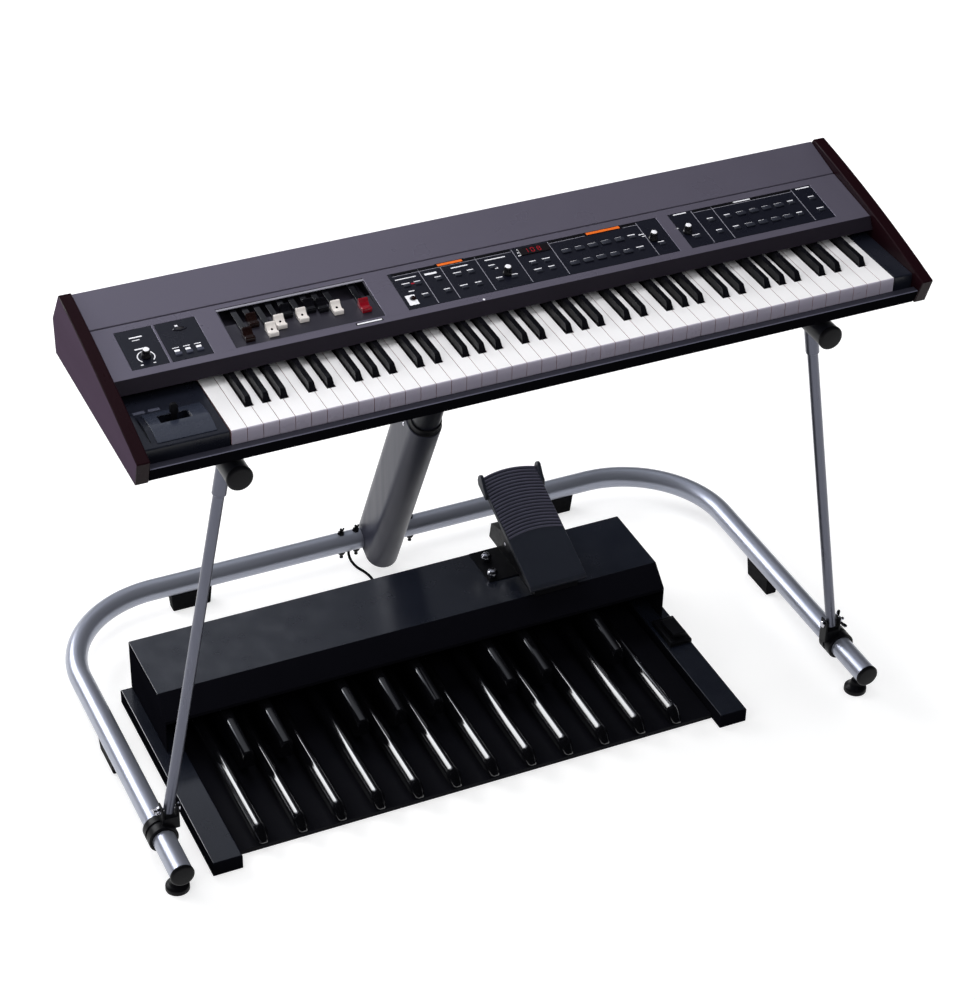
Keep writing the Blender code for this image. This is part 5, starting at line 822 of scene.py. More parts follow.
def sweep_tree():
    """A round bar or tube along a route of edges."""
    found = bpy.data.node_groups.get("swept_tube")
    if found:
        return found
    tree, given = new_tree("swept_tube", [
        ("Route", "NodeSocketGeometry", None), ("Radius", "NodeSocketFloat", 0.01),
        ("Sides", "NodeSocketInt", 32), ("Finish", "NodeSocketMaterial", None)])
    line, ring, sweep, smooth = add_nodes(tree, "GeometryNodeMeshToCurve",
                                          "GeometryNodeCurvePrimitiveCircle",
                                          "GeometryNodeCurveToMesh",
                                          "GeometryNodeSetShadeSmooth")
    links = tree.links
    links.new(given["Route"], line.inputs["Mesh"])
    links.new(given["Radius"], ring.inputs["Radius"])
    links.new(given["Sides"], ring.inputs["Resolution"])
    links.new(line.outputs["Curve"], sweep.inputs["Curve"])
    links.new(ring.outputs["Curve"], sweep.inputs["Profile Curve"])
    sweep.inputs["Fill Caps"].default_value = True
    links.new(sweep.outputs["Mesh"], smooth.inputs["Geometry"])
    return end_tree(tree, smooth.outputs["Geometry"], given["Finish"])


def grown_mesh(name, tree, base, **inputs):
    """The plain mesh that a tree makes from a base mesh, its inputs set by their names."""
    holder = bpy.data.objects.new(name, base)
    bpy.context.scene.collection.objects.link(holder)
    grower = holder.modifiers.new("grown", "NODES")
    grower.node_group = tree
    sockets = {item.name: item.identifier for item in tree.interface.items_tree
               if item.item_type == "SOCKET" and item.in_out == "INPUT"}
    for label, value in inputs.items():
        grower[sockets[label.replace("_", " ")]] = value
    bpy.context.view_layer.update()
    graph = bpy.context.evaluated_depsgraph_get()
    mesh = bpy.data.meshes.new_from_object(holder.evaluated_get(graph))
    mesh.name = name
    holder.modifiers.remove(grower)
    bpy.data.objects.remove(holder, do_unlink=True)
    if not mesh.polygons:
        raise RuntimeError(f"{name} came out of its tree without faces")
    return mesh


def repeated(name, shape, places, finish, smooth_angle=35.0, **how):
    """One piece of many equal ones: the master shape at every place, each place a matrix."""
    spots, turns, sizes = zip(*(place.decompose() for place in places))
    points = bpy.data.meshes.new(name + "_places")
    points.from_pydata(spots, [], [])
    for label, kind, field, values in (("turn", "QUATERNION", "value", turns),
                                       ("size", "FLOAT_VECTOR", "vector", sizes)):
        own = points.attributes.new(label, kind, "POINT")
        own.data.foreach_set(field, [number for value in values for number in value])
    master = bpy.data.objects.new(name + "_master", mesh_of(shape, name, smooth_angle))
    bpy.context.scene.collection.objects.link(master)
    mesh = grown_mesh(name, repeat_tree(), points, Master=master, Finish=organ_finish(finish))
    bpy.data.objects.remove(master, do_unlink=True)
    return settle(name, mesh, finish, **how)


def sized(place, spot, size):
    """A spot on the place's plane, for a master drawn 1 by 1 that takes the size there."""
    return place @ Matrix.Translation(spot) @ Matrix.Diagonal((*size, 1.0))


def swept(name, route, radius, sides, finish, **how):
    line = bpy.data.meshes.new(name + "_route")
    line.from_pydata([tuple(place) for place in route],
                     [(at, at + 1) for at in range(len(route) - 1)], [])
    mesh = grown_mesh(name, sweep_tree(), line, Radius=radius, Sides=sides,
                      Finish=organ_finish(finish))
    mesh.set_sharp_from_angle(angle=math.radians(35))
    return settle(name, mesh, finish, **how)


# Places

def organ_point(x, depth, height):
    return Vector((x, ORGAN_FRONT_Y + depth, ORGAN_UNDERSIDE + height))


def stand_point(x, depth, height):
    return Vector((x, ORGAN_FRONT_Y + depth, height))


def panel_matrix():
    """The control panel's plane: X along the keyboard, Y up its slope, Z out of it."""
    return (Matrix.Translation(organ_point(0, PANEL_FRONT_DEPTH, PANEL_FRONT_HEIGHT))
            @ Matrix.Rotation(PANEL_SLOPE, 4, "X"))


def on_panel(x, along):
    return panel_matrix() @ Matrix.Translation((x, along, 0))


def lean_matrix():
    return (Matrix.Translation(stand_point(0, COLUMN_AXIS_DEPTH, BASE_TUBE_HEIGHT))
            @ Matrix.Rotation(COLUMN_LEAN, 4, "X"))


def arm_height():
    return ORGAN_UNDERSIDE - ARM_DROP


def sliding_tube_length():
    sideways = INNER_TUBE_OFFSET * math.sin(-COLUMN_LEAN)
    return (arm_height() - BASE_TUBE_HEIGHT + sideways) / math.cos(COLUMN_LEAN)


def crossbar_depth():
    return (COLUMN_AXIS_DEPTH + INNER_TUBE_OFFSET * math.cos(COLUMN_LEAN)
            - sliding_tube_length() * math.sin(COLUMN_LEAN))


# The organ

def make_case():
    for side in ("left", "right"):
        outward = -1 if side == "left" else 1
        # Outward faces take the lighter plum, a painted reflection; the rest keeps the dark
        # burgundy
        skin("cheek_" + side, ["cheek_lacquer", "cheek_side_lacquer"], "cheek", edge=0.0006,
             segments=3, pick=lambda spot, way, outward=outward: int(outward * way.x > 0.9))
    skin("case_tray", "case_paint", "case", edge=0.0004)
    # Up-facing faces take the painted highlight of the top, the forward chamfer a brighter painted
    # highlight, the rest the rail's black
    skin("front_rail", ["rail_paint", "rail_top_paint", "rail_edge_paint"], "rail", edge=0.0018,
         segments=1, pick=lambda spot, way: (2 if way.y < -0.4 else 1) if way.z > 0.4 else 0)
    skin("rear_panel", "panel_paint", "panel", edge=0.0008, segments=3)
    # The panel's forward-facing fold takes the darker painted shade
    skin("control_panel", ["panel_paint", "fascia_paint"], "panel", edge=0.0007, segments=3,
         pick=lambda spot, way: int(way.y < -0.25))
    skin("keybed_frame", "bright_steel", "steel", edge=0.0)
    skin("key_block_right", "block_satin", "block", edge=0.0005)
    skin("bender_housing", "block_satin", "block", edge=0.0007, segments=3)
    make_slot_trim()


def pad_top(depth):
    """Height of the arched pad round the bender at a depth."""
    share = (depth - BENDER_PAD_FRONT) / BENDER_PAD_DEPTH
    return BENDER_PAD_FOOT + 4 * BENDER_PAD_CROWN * share * (1 - share)


def make_slot_trim():
    """The bright lip round the bender's slot, following the arch of its pad."""
    half_x, half_y = BENDER_SLOT[0] / 2, BENDER_SLOT[1] / 2
    lip, rise = SLOT_LIP, SLOT_LIP / 2
    shape = bmesh.new()
    for depth in (BENDER_DEPTH - half_y, BENDER_DEPTH + half_y):
        low = pad_top(depth) - rise
        add_box(shape, organ_point(BENDER_X - half_x - lip, depth - lip / 2, low),
                organ_point(BENDER_X + half_x + lip, depth + lip / 2, low + 2 * rise))
    piece("bender_slot_trim", shape, "bright_steel", slot="steel", edge=lip / 4)


def make_plates():
    for name in ("volume_plate", "sensor_plate", "voice_plate", "registration_plate"):
        skin(name, "plate_satin", "plate", edge=0.0002, segments=1, smooth_angle=3.0)
    skin("display_lens", "lens_gloss", "lens", edge=0.0003)
    place, (x, along) = panel_matrix(), SENSOR_CENTRE
    profile = [(math.sin(angle), math.cos(angle))
               for angle in (math.pi / 2 * step / 10 for step in range(11))]
    size = Matrix.Diagonal((SENSOR_SIZE[0] / 2 + SENSOR_SKIN, SENSOR_SIZE[1] / 2 + SENSOR_SKIN,
                            LENS_THICKNESS + SENSOR_SKIN, 1))
    turned_piece("sensor_dome", [*profile, (1.0, -0.4), (0.0, -0.4)],
                 place @ Matrix.Translation((x, along, PLATE_TOP)) @ size, 48, "lens_gloss",
                 slot="lens")
    make_digits(place)


def make_digits(place):
    """Plain digits made of lit bars behind the display's lens."""
    high, wide, bar = DIGIT_SIZE
    lit = {"1": "bc", "2": "abged", "8": "abcdefg", "0": "abcdef"}
    marks, level = [], PLATE_TOP + LENS_CLEAR_OF_PLATE + LENS_THICKNESS
    x, along = DISPLAY_CENTRE
    for index, digit in enumerate("108"):
        left = x + (index - 1.5) * DIGIT_PITCH
        spots = {"a": (0.5, 1, 1), "g": (0.5, 0.5, 1), "d": (0.5, 0, 1), "f": (0, 0.75, 0),
                 "b": (1, 0.75, 0), "e": (0, 0.25, 0), "c": (1, 0.25, 0)}
        for segment in lit[digit]:
            across, up, flat = spots[segment]
            marks.append(sized(place, (left + across * wide, along + (up - 0.5) * high, level),
                               (wide - bar if flat else bar, bar if flat else high / 2 - bar, 1)))
    repeated("display_digits", flat_mark(), marks, "lamp_red", slot="lens")


def flat_mark():
    """The thin plate of 1 by 1 that every printed or lit mark is made of."""
    shape = bmesh.new()
    add_box(shape, (-0.5, -0.5, -PRINT_THICKNESS), (0.5, 0.5, PRINT_THICKNESS))
    return shape


def bars(name, marks, finish):
    """Flat printed bars: (middle x, middle along, width, depth, height of the surface)."""
    repeated(name, flat_mark(), [sized(panel_matrix(), (x, along, level), (wide, deep, 1))
                                 for x, along, wide, deep, level in marks], finish, slot="plate")


def button_places():
    """Every push button's place on the panel, by the CAD node that carries it."""
    steps = [BUTTON_PITCH * step for step in range(BUTTONS_A_ROW)]
    rows = (FRONT_ROW, BACK_ROW)
    return {
        "buttons_performance": [(SENSOR_BUTTON_START + SENSOR_BUTTON_PITCH * step,
                                 SENSOR_BUTTON_ROW) for step in range(3)],
        "buttons_organ": [(x, BACK_ROW) for x in ORGAN_BACK_BUTTONS]
        + [(x, FRONT_ROW) for x in ORGAN_FRONT_BUTTONS],
        "buttons_ensemble": [(x, row) for x in DISPLAY_BUTTONS
                             for row in (FRONT_ROW, DISPLAY_BACK_ROW)]
        + [(VOICE_BUTTON_START + step, row) for row in rows for step in steps]
        + [SMALL_VOICE_BUTTON],
        "buttons_registration": [(EFFECT_BUTTON_X, FRONT_ROW)]
        + [(x, row) for x in (WRITE_BUTTON_X, PLAYER_BUTTON_X) for row in rows]
        + [(REGISTRATION_BUTTON_START + step, row) for row in rows for step in steps],
    }


def make_buttons():
    """Soft-edged caps, one mesh for each strip of buttons that dips together."""
    sizes = bpy.context.scene.combo_organ_sizes
    half_x, half_y = sizes.button_width / 2, sizes.button_depth / 2
    top = sizes.button_rise
    for name, places in button_places().items():
        shape = bmesh.new()
        add_box(shape, (-half_x, -half_y, -BUTTON_ROOT), (half_x, half_y, top))
        round_edges(shape, lambda a, b: abs(a.z - b.z) > 1e-6, 0.0007, 3)
        round_edges(shape, lambda a, b: min(a.z, b.z) > top - 1e-6, 0.0005, 2)
        finish = "soft_button_satin" if name == "buttons_performance" else "button_satin"
        repeated(name + "_caps", shape, [on_panel(*place) for place in places], finish,
                 body=name, slot="button", replaces=name)
    wide, deep, thick = WIDE_BUTTON
    for name, start, first in (("buttons_ensemble", VOICE_BUTTON_START, 0),
                               ("buttons_registration", REGISTRATION_BUTTON_START, 1)):
        head = bmesh.new()
        add_box(head, (-wide / 2, -deep / 2, top - thick), (wide / 2, deep / 2, top + 0.0001))
        round_edges(head, lambda a, b: abs(a.z - b.z) > 1e-6, 0.0008, 3)
        round_edges(head, lambda a, b: min(a.z, b.z) > top - 1e-6, 0.0003, 2)
        repeated(name + "_heads", head, [on_panel(start + BUTTON_PITCH * step, row)
                                         for row in (FRONT_ROW, BACK_ROW)
                                         for step in range(first, BUTTONS_A_ROW - 1)],
                 "button_satin", body=name, slot="button")
    dome = [(0, top + 0.0012), (0.0022, top + 0.0010), (0.0036, top + 0.0004),
            (0.0044, top - 0.0006), (0.0044, top - 0.0010), (0, top - 0.0010)]
    turned_piece("rotary_button_dome", dome, on_panel(*ROUND_BUTTON_PLACE), 32, "brown_gloss",
                 body="buttons_organ", slot="button")


def arc_bar(shape, place, radius, width, start, end, low, high):
    """A flat printed arc of even width round a knob."""
    rings, steps = [], 48
    for step in range(steps + 1):
        angle = start + (end - start) * step / steps
        way = Vector((math.cos(angle), math.sin(angle), 0))
        rings.append([shape.verts.new(place @ (way * reach + Vector((0, 0, level))))
                      for reach, level in ((radius - width / 2, low), (radius + width / 2, low),
                                           (radius + width / 2, high),
                                           (radius - width / 2, high))])
    join_rings(shape, rings)


def make_print():
    """Dividing lines, legend bars and marks: plain strips where the real panel has words."""
    middle = (PLATE_FRONT + PLATE_BACK) / 2
    deep = PLATE_BACK - PLATE_FRONT - 0.004
    lines = [(x, middle, 0.0010, deep, PLATE_TOP) for x in DIVIDERS]
    lines += [(x, LINE_ROW, wide, 0.0008, PLATE_TOP) for x, wide in TITLE_LINES]
    bars("plate_lines", lines, "line_print")
    bars("title_strips", [(x, (LINE_ROW + PLATE_BACK) / 2, wide, PLATE_BACK - LINE_ROW - 0.0012,
                           PLATE_TOP) for x, wide in TITLE_LINES], "black_moulding")
    marks = []
    for name, places in button_places().items():
        if name == "buttons_performance":
            marks += [(x, along, wide, tall, PLATE_TOP) for x, _ in places for along, wide, tall
                      in ((SOFT_BUTTON_WINDOW[0], 0.0078, 0.0042),
                          (SOFT_BUTTON_WINDOW[1], 0.0100, 0.0014))]
            continue
        marks += [(x, along + LEGEND_OFFSET, 0.0100 if index % 3 else 0.0124, 0.0017, PLATE_TOP)
                  for index, (x, along) in enumerate(places)
                  if (x, along) != ROUND_BUTTON_PLACE]
    marks += [(*heading, PLATE_TOP + 0.0001) for heading in HEADINGS]
    marks += [(*PATCH, PLATE_TOP), (*FRONT_LABEL, 0.0002)]
    bars("printed_marks", marks, "white_print")
    x, along, wide, tall = FRONT_LABEL
    bars("mark_grounds", [(x, along, wide + 0.004, tall + 0.0026, 0.0)]
         + [(x, along, wide + 0.007, 0.0078, 0.0001) for x, along, wide in ORANGE_MARKS],
         "black_moulding")
    bars("orange_marks", [(x, along, wide, 0.0050, 0.0003) for x, along, wide in ORANGE_MARKS],
         "orange_print")
    bars("button_lamps", [(x, along + LAMP_OFFSET, 0.0052, 0.0024, PLATE_TOP + 0.0002)
                          for x, along in LIT_LAMPS], "lamp_red")
    place, rings, lip = panel_matrix(), bmesh.new(), bmesh.new()
    add_box_at(lip, place, *WELL_LIP_HIGHLIGHT)
    # The well's lip is a real lip; its light grey is a painted highlight
    piece("well_lip", lip, "line_print", slot="well", edge=0.0003)
    radius, width, start, end = VOLUME_RING
    arc_bar(rings, place @ Matrix.Translation((*KNOB_PLACES["knob_volume"], 0)), radius, width,
            start, end, PLATE_TOP, PLATE_TOP + 0.0001)
    x, along, radius = FRONT_DOT
    add_turned(rings, [(0, 0.0002), (radius, 0.0002), (radius, -0.0002), (0, -0.0002)],
               place @ Matrix.Translation((x, along, 0)), 24)
    piece("printed_rings", rings, "white_print", slot="plate")


def make_knobs():
    """Turned knobs with grip ribs, a pale cap and a pointer."""
    for name, spot in KNOB_PLACES.items():
        spot = on_panel(*spot)
        grip = KNOB_RADIUS * 0.80
        cap, ribs = bmesh.new(), bmesh.new()
        turned_piece(name + "_grip", [
            (0, KNOB_HEIGHT - 0.0004), (KNOB_RADIUS * 0.52, KNOB_HEIGHT - 0.0004),
            (KNOB_RADIUS * 0.56, KNOB_HEIGHT), (KNOB_RADIUS * 0.68, KNOB_HEIGHT - 0.0001),
            (KNOB_RADIUS * 0.75, KNOB_HEIGHT - 0.0008), (KNOB_RADIUS * 0.78, KNOB_HEIGHT - 0.002),
            (grip + 0.0003, 0.0045), (grip + 0.0006, 0.0038), (KNOB_RADIUS * 0.97, 0.0032),
            (KNOB_RADIUS, 0.0024), (KNOB_RADIUS, 0.0003), (0, 0.0003)], spot, 64,
            "knob_satin", body=name, slot="knob", replaces=name)
        add_turned(cap, [(0, KNOB_HEIGHT + 0.0004), (KNOB_RADIUS * 0.55, KNOB_HEIGHT + 0.0004),
                         (KNOB_RADIUS * 0.64, KNOB_HEIGHT + 0.0001),
                         (KNOB_RADIUS * 0.65, KNOB_HEIGHT - 0.0008), (0, KNOB_HEIGHT - 0.0008)],
                   spot, 48)
        add_box_at(cap, spot, (-0.0004, KNOB_RADIUS * 0.55, KNOB_HEIGHT - 0.0012),
                   (0.0004, KNOB_RADIUS * 0.79, KNOB_HEIGHT - 0.0003))
        piece(name + "_cap", cap, "white_print", body=name, slot="knob")
        add_box(ribs, (KNOB_RADIUS * 0.74, -0.0003, 0.0046), (grip + 0.0002, 0.0003, 0.0112))
        repeated(name + "_ribs", ribs, [spot @ turn_about("Z", 360 * step / KNOB_RIBS)
                                        for step in range(KNOB_RIBS)],
                 "knob_satin", body=name, slot="knob")


def make_keys():
    key_edge = bpy.context.scene.combo_organ_sizes.key_edge
    # Tops keep the white; sides in the gaps and fronts take the darker painted shade
    for name in ("natural_keys_a", "natural_keys_b"):
        skin(name, ["natural_gloss", "natural_side", "natural_front"], "natural",
             edge=key_edge, segments=3,
             pick=lambda spot, way: 1 if abs(way.x) > 0.9 else 2 if way.y < -0.6 else 0)
    skin("sharp_keys", ["sharp_gloss", "sharp_side"], "sharp", edge=key_edge * 1.2, segments=3,
         pick=lambda spot, way: int(abs(way.x) > 0.75))


def drawbar_profile():
    """Side outline of a drawbar's knob: a lip in front, a finger scoop and a crest behind."""
    length, height = DRAWBAR_KNOB_LENGTH, DRAWBAR_KNOB_HEIGHT
    lip, lip_top = DRAWBAR_LIP
    low, high = (lip, lip_top - 0.002), (length - 0.0055, height - 0.0035)
    scoop = []
    for step in range(1, 10):
        share = step / 10
        sag = 0.0014 * 4 * share * (1 - share)
        scoop.append((high[0] + (low[0] - high[0]) * share,
                      high[1] + (low[1] - high[1]) * share - sag))
    return [(0, 0), (length, 0), (length, height - 0.0018), (length - 0.0006, height - 0.0007),
            (length - 0.0019, height), (length - 0.0034, height),
            (length - 0.0046, height - 0.0012), high, *scoop, low,
            (lip - 0.0006, lip_top - 0.0006), (lip - 0.0016, lip_top), (0.0016, lip_top),
            (0.0005, lip_top - 0.0007), (0, lip_top - 0.0018)]


def make_drawbars():
    """Finger-shaped knobs on dark shafts, each where its CAD node is pulled out to."""
    colours = ("brown_gloss", "brown_gloss", "cream_gloss", "cream_gloss", "sharp_gloss",
               "cream_gloss", "sharp_gloss", "sharp_gloss", "cream_gloss", "red_gloss")
    slots = {"brown_gloss": "brown", "cream_gloss": "white", "sharp_gloss": "sharp",
             "red_gloss": "red"}
    names = [f"drawbar_{index}" for index in range(1, 10)] + ["drawbar_red"]
    half = DRAWBAR_KNOB_WIDTH / 2
    for name, colour in zip(names, colours):
        low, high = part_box(name)
        origin = Vector(((low.x + high.x) / 2,
                         low.y + (DRAWBAR_LIP[1] - 0.0015) * math.sin(DRAWBAR_SLOPE), low.z))
        place = Matrix.Translation(origin) @ Matrix.Rotation(DRAWBAR_SLOPE, 4, "X")
        knob, shaft = bmesh.new(), bmesh.new()
        add_prism(knob, drawbar_profile(), "X", -half, half)
        move(knob, place)
        piece(name + "_knob", knob, colour, body=name, slot=slots[colour], replaces=name,
              edge=0.0009, segments=3, edge_angle=60.0)
        wide, tall = DRAWBAR_SHAFT
        add_box(shaft, (-wide / 2, DRAWBAR_KNOB_LENGTH - 0.0005, DRAWBAR_SHAFT_RISE),
                (wide / 2, DRAWBAR_KNOB_LENGTH + DRAWBAR_SHAFT_LENGTH,
                 DRAWBAR_SHAFT_RISE + tall))
        move(shaft, place)
        piece(name + "_shaft", shaft, "shaft_gloss", body=name, slot="well", edge=0.0004)
        if colour == "cream_gloss":
            dot = [(0, 0.0002), (0.0016, 0.0002), (0.0018, 0), (0, -0.0002)]
            turned_piece(name + "_dot", dot, place @ Matrix.Translation(DRAWBAR_SCOOP)
                         @ Matrix.Rotation(DRAWBAR_SCOOP_TILT, 4, "X"), 20, "sharp_gloss",
                         body=name, slot="sharp")
    # The well's floor keeps its satin; its walls take the black moulding, painted shade down in the
    # well
    skin("drawbar_tray", ["well_satin", "black_moulding"], "well", edge=0.0003, segments=1,
         pick=lambda spot, way: int(way.z < 0.7))
    make_rear_sockets()


def make_rear_sockets():
    """A plain strip of sockets across the back, with a power inlet and its rocker switch."""
    face = CASE_BACK_DEPTH + SOCKET_STRIP[2]
    left, right, thick, low, high = SOCKET_STRIP
    middle = (low + high) / 2
    strip, pins, nut, bore = bmesh.new(), bmesh.new(), bmesh.new(), bmesh.new()
    add_box(strip, organ_point(left, CASE_BACK_DEPTH, low), organ_point(right, face, high))
    for low_x, high_x, rise, drop in ((-0.0160, -0.0135, 0.0125, -0.0125),
                                      (0.0135, 0.0160, 0.0125, -0.0125),
                                      (-0.0135, 0.0135, 0.0125, 0.0100),
                                      (-0.0135, 0.0135, -0.0100, -0.0125)):
        add_box(strip, organ_point(INLET_X + low_x, face, middle + drop),
                organ_point(INLET_X + high_x, face + 0.0026, middle + rise))
    for across, rise in ((-0.0065, -0.002), (0.0, 0.003), (0.0065, -0.002)):
        add_box(pins, organ_point(INLET_X + across - 0.001, face, middle + rise - 0.0022),
                organ_point(INLET_X + across + 0.001, face + 0.0020, middle + rise + 0.0022))
    for tilt, across in ((6, 0.0), (-6, 0.0105)):
        place = (Matrix.Translation(organ_point(ROCKER_X + across, face + 0.001, middle))
                 @ turn_about("Z", tilt))
        add_box_at(strip, place, (-0.0058, -0.0012, -0.0075), (0.0058, 0.0012, 0.0075))
    piece("socket_strip", strip, "black_moulding", slot="case", edge=0.0003)
    piece("inlet_pins", pins, "bright_steel", slot="steel")
    turn = turn_about("X", -90)
    add_turned(nut, [(0, 0.0010), (0.0034, 0.0010), (0.0034, 0.0036), (0.0046, 0.0036),
                     (0.0058, 0.0028), (0.0062, 0.0012), (0.0062, -0.0002), (0, -0.0002)], turn, 24)
    add_turned(bore, [(0, 0.0013), (0.0033, 0.0013), (0.0033, 0.0009), (0, 0.0009)], turn, 20)
    back = Matrix.Translation(organ_point(0, face, middle))
    places = [sized(back, (x, 0, 0), (1, 1, 1)) for x in SMALL_SOCKETS]
    places += [sized(back, (x, 0, 0), (1.4, 0.6, 1.4)) for x in LARGE_SOCKETS]
    repeated("socket_rings", nut, places, "bright_steel", slot="steel")
    repeated("socket_bores", bore, places, "black_rubber", slot="rubber")


def make_bender_pad():
    """A raised arched pad round the bender's slot, and two flat buttons behind it."""
    half, thick = BENDER_PLATE
    right, lip = half + BENDER_PLATE_MORE, BENDER_SLOT[0] / 2 + SLOT_LIP
    across = [-half, -half * 0.93, -lip, lip, right - half * 0.07, right]
    near, far = BENDER_DEPTH - BENDER_SLOT[1] / 2, BENDER_DEPTH + BENDER_SLOT[1] / 2
    start, end = BENDER_PAD_FRONT + 0.002, BENDER_PAD_FRONT + BENDER_PAD_DEPTH - 0.002
    depths = ([start + (near - start) * step / 10 for step in range(11)]
              + [near + (far - near) * step / 6 for step in range(1, 7)]
              + [far + (end - far) * step / 6 for step in range(1, 7)])
    shape = bmesh.new()
    grid = [[shape.verts.new(organ_point(BENDER_X + x, depth, pad_top(depth)))
             for x in across] for depth in depths]
    for row, (low, high) in enumerate(zip(grid, grid[1:])):
        inside = near - 1e-6 < depths[row] < far - 1e-6
        for column in range(len(across) - 1):
            if not (inside and column == 2):
                shape.faces.new((low[column], low[column + 1], high[column + 1], high[column]))
    whole = bmesh.ops.extrude_face_region(shape, geom=shape.faces[:])["geom"]
    for vert in verts_among(whole):
        vert.co.z += thick
    # The pad wears the painted highlight finish
    piece("bender_pad_plate", shape, "pad_satin", slot="block", edge=0.0006, segments=3)
    buttons = bmesh.new()
    for x in BENDER_BUTTONS:
        add_box(buttons, organ_point(x - 0.0085, 0.1150, BENDER_PAD_FOOT - 0.001),
                organ_point(x + 0.0085, 0.1215, BENDER_PAD_FOOT + 0.0014))
    piece("bender_buttons", buttons, "soft_button_satin", slot="button", edge=0.0006, segments=3)


def make_bender():
    make_bender_pad()
    skin("bender_yoke", "black_moulding", "black", edge=0.0003)
    skin("bender_lever", "black_moulding", "black", edge=0.0011, segments=4)


# The stand

def base_route(side):
    centre = (BASE_HALF_WIDTH - BASE_BEND_RADIUS, BASE_BACK - BASE_BEND_RADIUS)
    bend = circle_points(centre, BASE_BEND_RADIUS, 0.0, math.pi / 2, 36)
    plan = [(BASE_HALF_WIDTH, BASE_FRONT), *bend, (BASE_INNER_END, BASE_BACK)]
    return [stand_point(side * across, depth, BASE_TUBE_HEIGHT) for across, depth in plan]


def make_base():
    sizes = bpy.context.scene.combo_organ_sizes
    for side, word in ((-1, "left"), (1, "right")):
        node = "base_tube_" + word
        radius = sizes.tube_radius
        swept(node + "_skin", base_route(side), radius, sizes.tube_sides, "silver_paint",
              slot="silver", replaces=node)
        x = side * BASE_HALF_WIDTH
        front = Matrix.Translation(stand_point(x, BASE_FRONT, BASE_TUBE_HEIGHT))
        turned_piece(node + "_cap", end_cap_profile(radius), front @ turn_about("X", 90), 48,
                     "black_moulding", slot="black")
        pads = bmesh.new()
        pad_top_height = BASE_TUBE_HEIGHT - radius / 2
        for long, wide, across, depth in ((PAD_LENGTH, PAD_WIDTH, side * REAR_PAD_X, BASE_BACK),
                                          (PAD_WIDTH, PAD_LENGTH, x, SIDE_PAD_DEPTH)):
            centre = stand_point(across, depth, 0)
            for vert in add_box(pads, centre - Vector((long / 2, wide / 2, 0)),
                                centre + Vector((long / 2, wide / 2, pad_top_height))):
                if vert.co.z < BASE_TUBE_HEIGHT / 2:
                    vert.co.x -= math.copysign(PAD_WIDTH / 8, vert.co.x - centre.x)
                    vert.co.y -= math.copysign(PAD_WIDTH / 8, vert.co.y - centre.y)
        piece(node + "_pads", pads, "black_rubber", slot="rubber", edge=0.0025, segments=4)
        screws, knobs = bmesh.new(), bmesh.new()
        for place in SCREW_PLACES:
            spot = Matrix.Translation(stand_point(side * place, BASE_BACK, BASE_TUBE_HEIGHT))
            add_wing_nut(screws, spot, radius)
            add_hand_screw(knobs, spot, radius)
        piece(node + "_nuts", screws, "black_moulding", slot="black", edge=0.0003)
        piece(node + "_hand_screws", knobs, "black_moulding", slot="black")
    under = BASE_TUBE_HEIGHT - sizes.tube_radius
    neck, flange = GROMMET_RADII
    grommet = [(0.0028, 0.0035), (flange, 0.0035), (flange, 0.0005), (neck + 0.0003, -0.0025),
               (neck - 0.0006, -0.0035), (0.0028, -0.0035), (0.0028, 0.0035)]
    turned_piece("cable_grommet", grommet,
                 Matrix.Translation(stand_point(CABLE_START_X, BASE_BACK, under)), 32,
                 "black_rubber", slot="rubber")


def end_cap_profile(radius):
    """A moulded plug pushed into a tube's open end, its rim a little proud of the tube."""
    rim = radius + CAP_LIP
    return [(0, CAP_THICKNESS), (radius * 0.80, CAP_THICKNESS), (radius * 0.92, 0.0044),
            (radius * 1.0, 0.0032), (rim, 0.0018), (rim, -0.0006), (radius - 0.001, -0.0008),
            (radius - 0.001, -0.003), (0, -0.003)]


def add_wing_nut(shape, spot, radius):
    """A black nut over the tube with two small wings and the bolt's end standing out."""
    outline = circle_points((0, 0), 0.0060, 0.0, 2 * math.pi, 6)[:-1]
    verts = add_prism(shape, outline, "Z", radius - 0.0012, radius + 0.0040)
    move(shape, spot, verts)
    add_turned(shape, [(0, radius + 0.0120), (0.0016, radius + 0.0118),
                       (0.0022, radius + 0.0110), (0.0022, radius), (0, radius)], spot, 24)
    for way in (-1, 1):
        wing = [(way * 0.0030, radius + 0.0020), (way * 0.0095, radius + 0.0050),
                (way * 0.0100, radius + 0.0075), (way * 0.0082, radius + 0.0080),
                (way * 0.0030, radius + 0.0045)]
        move(shape, spot @ turn_about("Z", 35), add_prism(shape, wing, "Y", -0.0012, 0.0012))


def add_hand_screw(shape, spot, radius):
    """A screw's black fluted cone under the tube, ending in a slim neck and tip."""
    add_turned(shape, [(0, -radius + 0.0010), (0.0075, -radius + 0.0010),
                       (0.0078, -radius - 0.0012), (0.0072, -radius - 0.0035),
                       (0.0042, -radius - 0.0080), (0.0026, -radius - 0.0100),
                       (0.0024, -radius - 0.0118), (0.0034, -radius - 0.0128),
                       (0.0034, -radius - 0.0142), (0.0018, -radius - 0.0150),
                       (0, -radius - 0.0150)], spot, 14)


def stadium(width, depth, steps):
    radius = width / 2
    offset = depth / 2 - radius
    return (circle_points((0, -offset), radius, math.pi, 2 * math.pi, steps)
            + circle_points((0, offset), radius, 0.0, math.pi, steps))


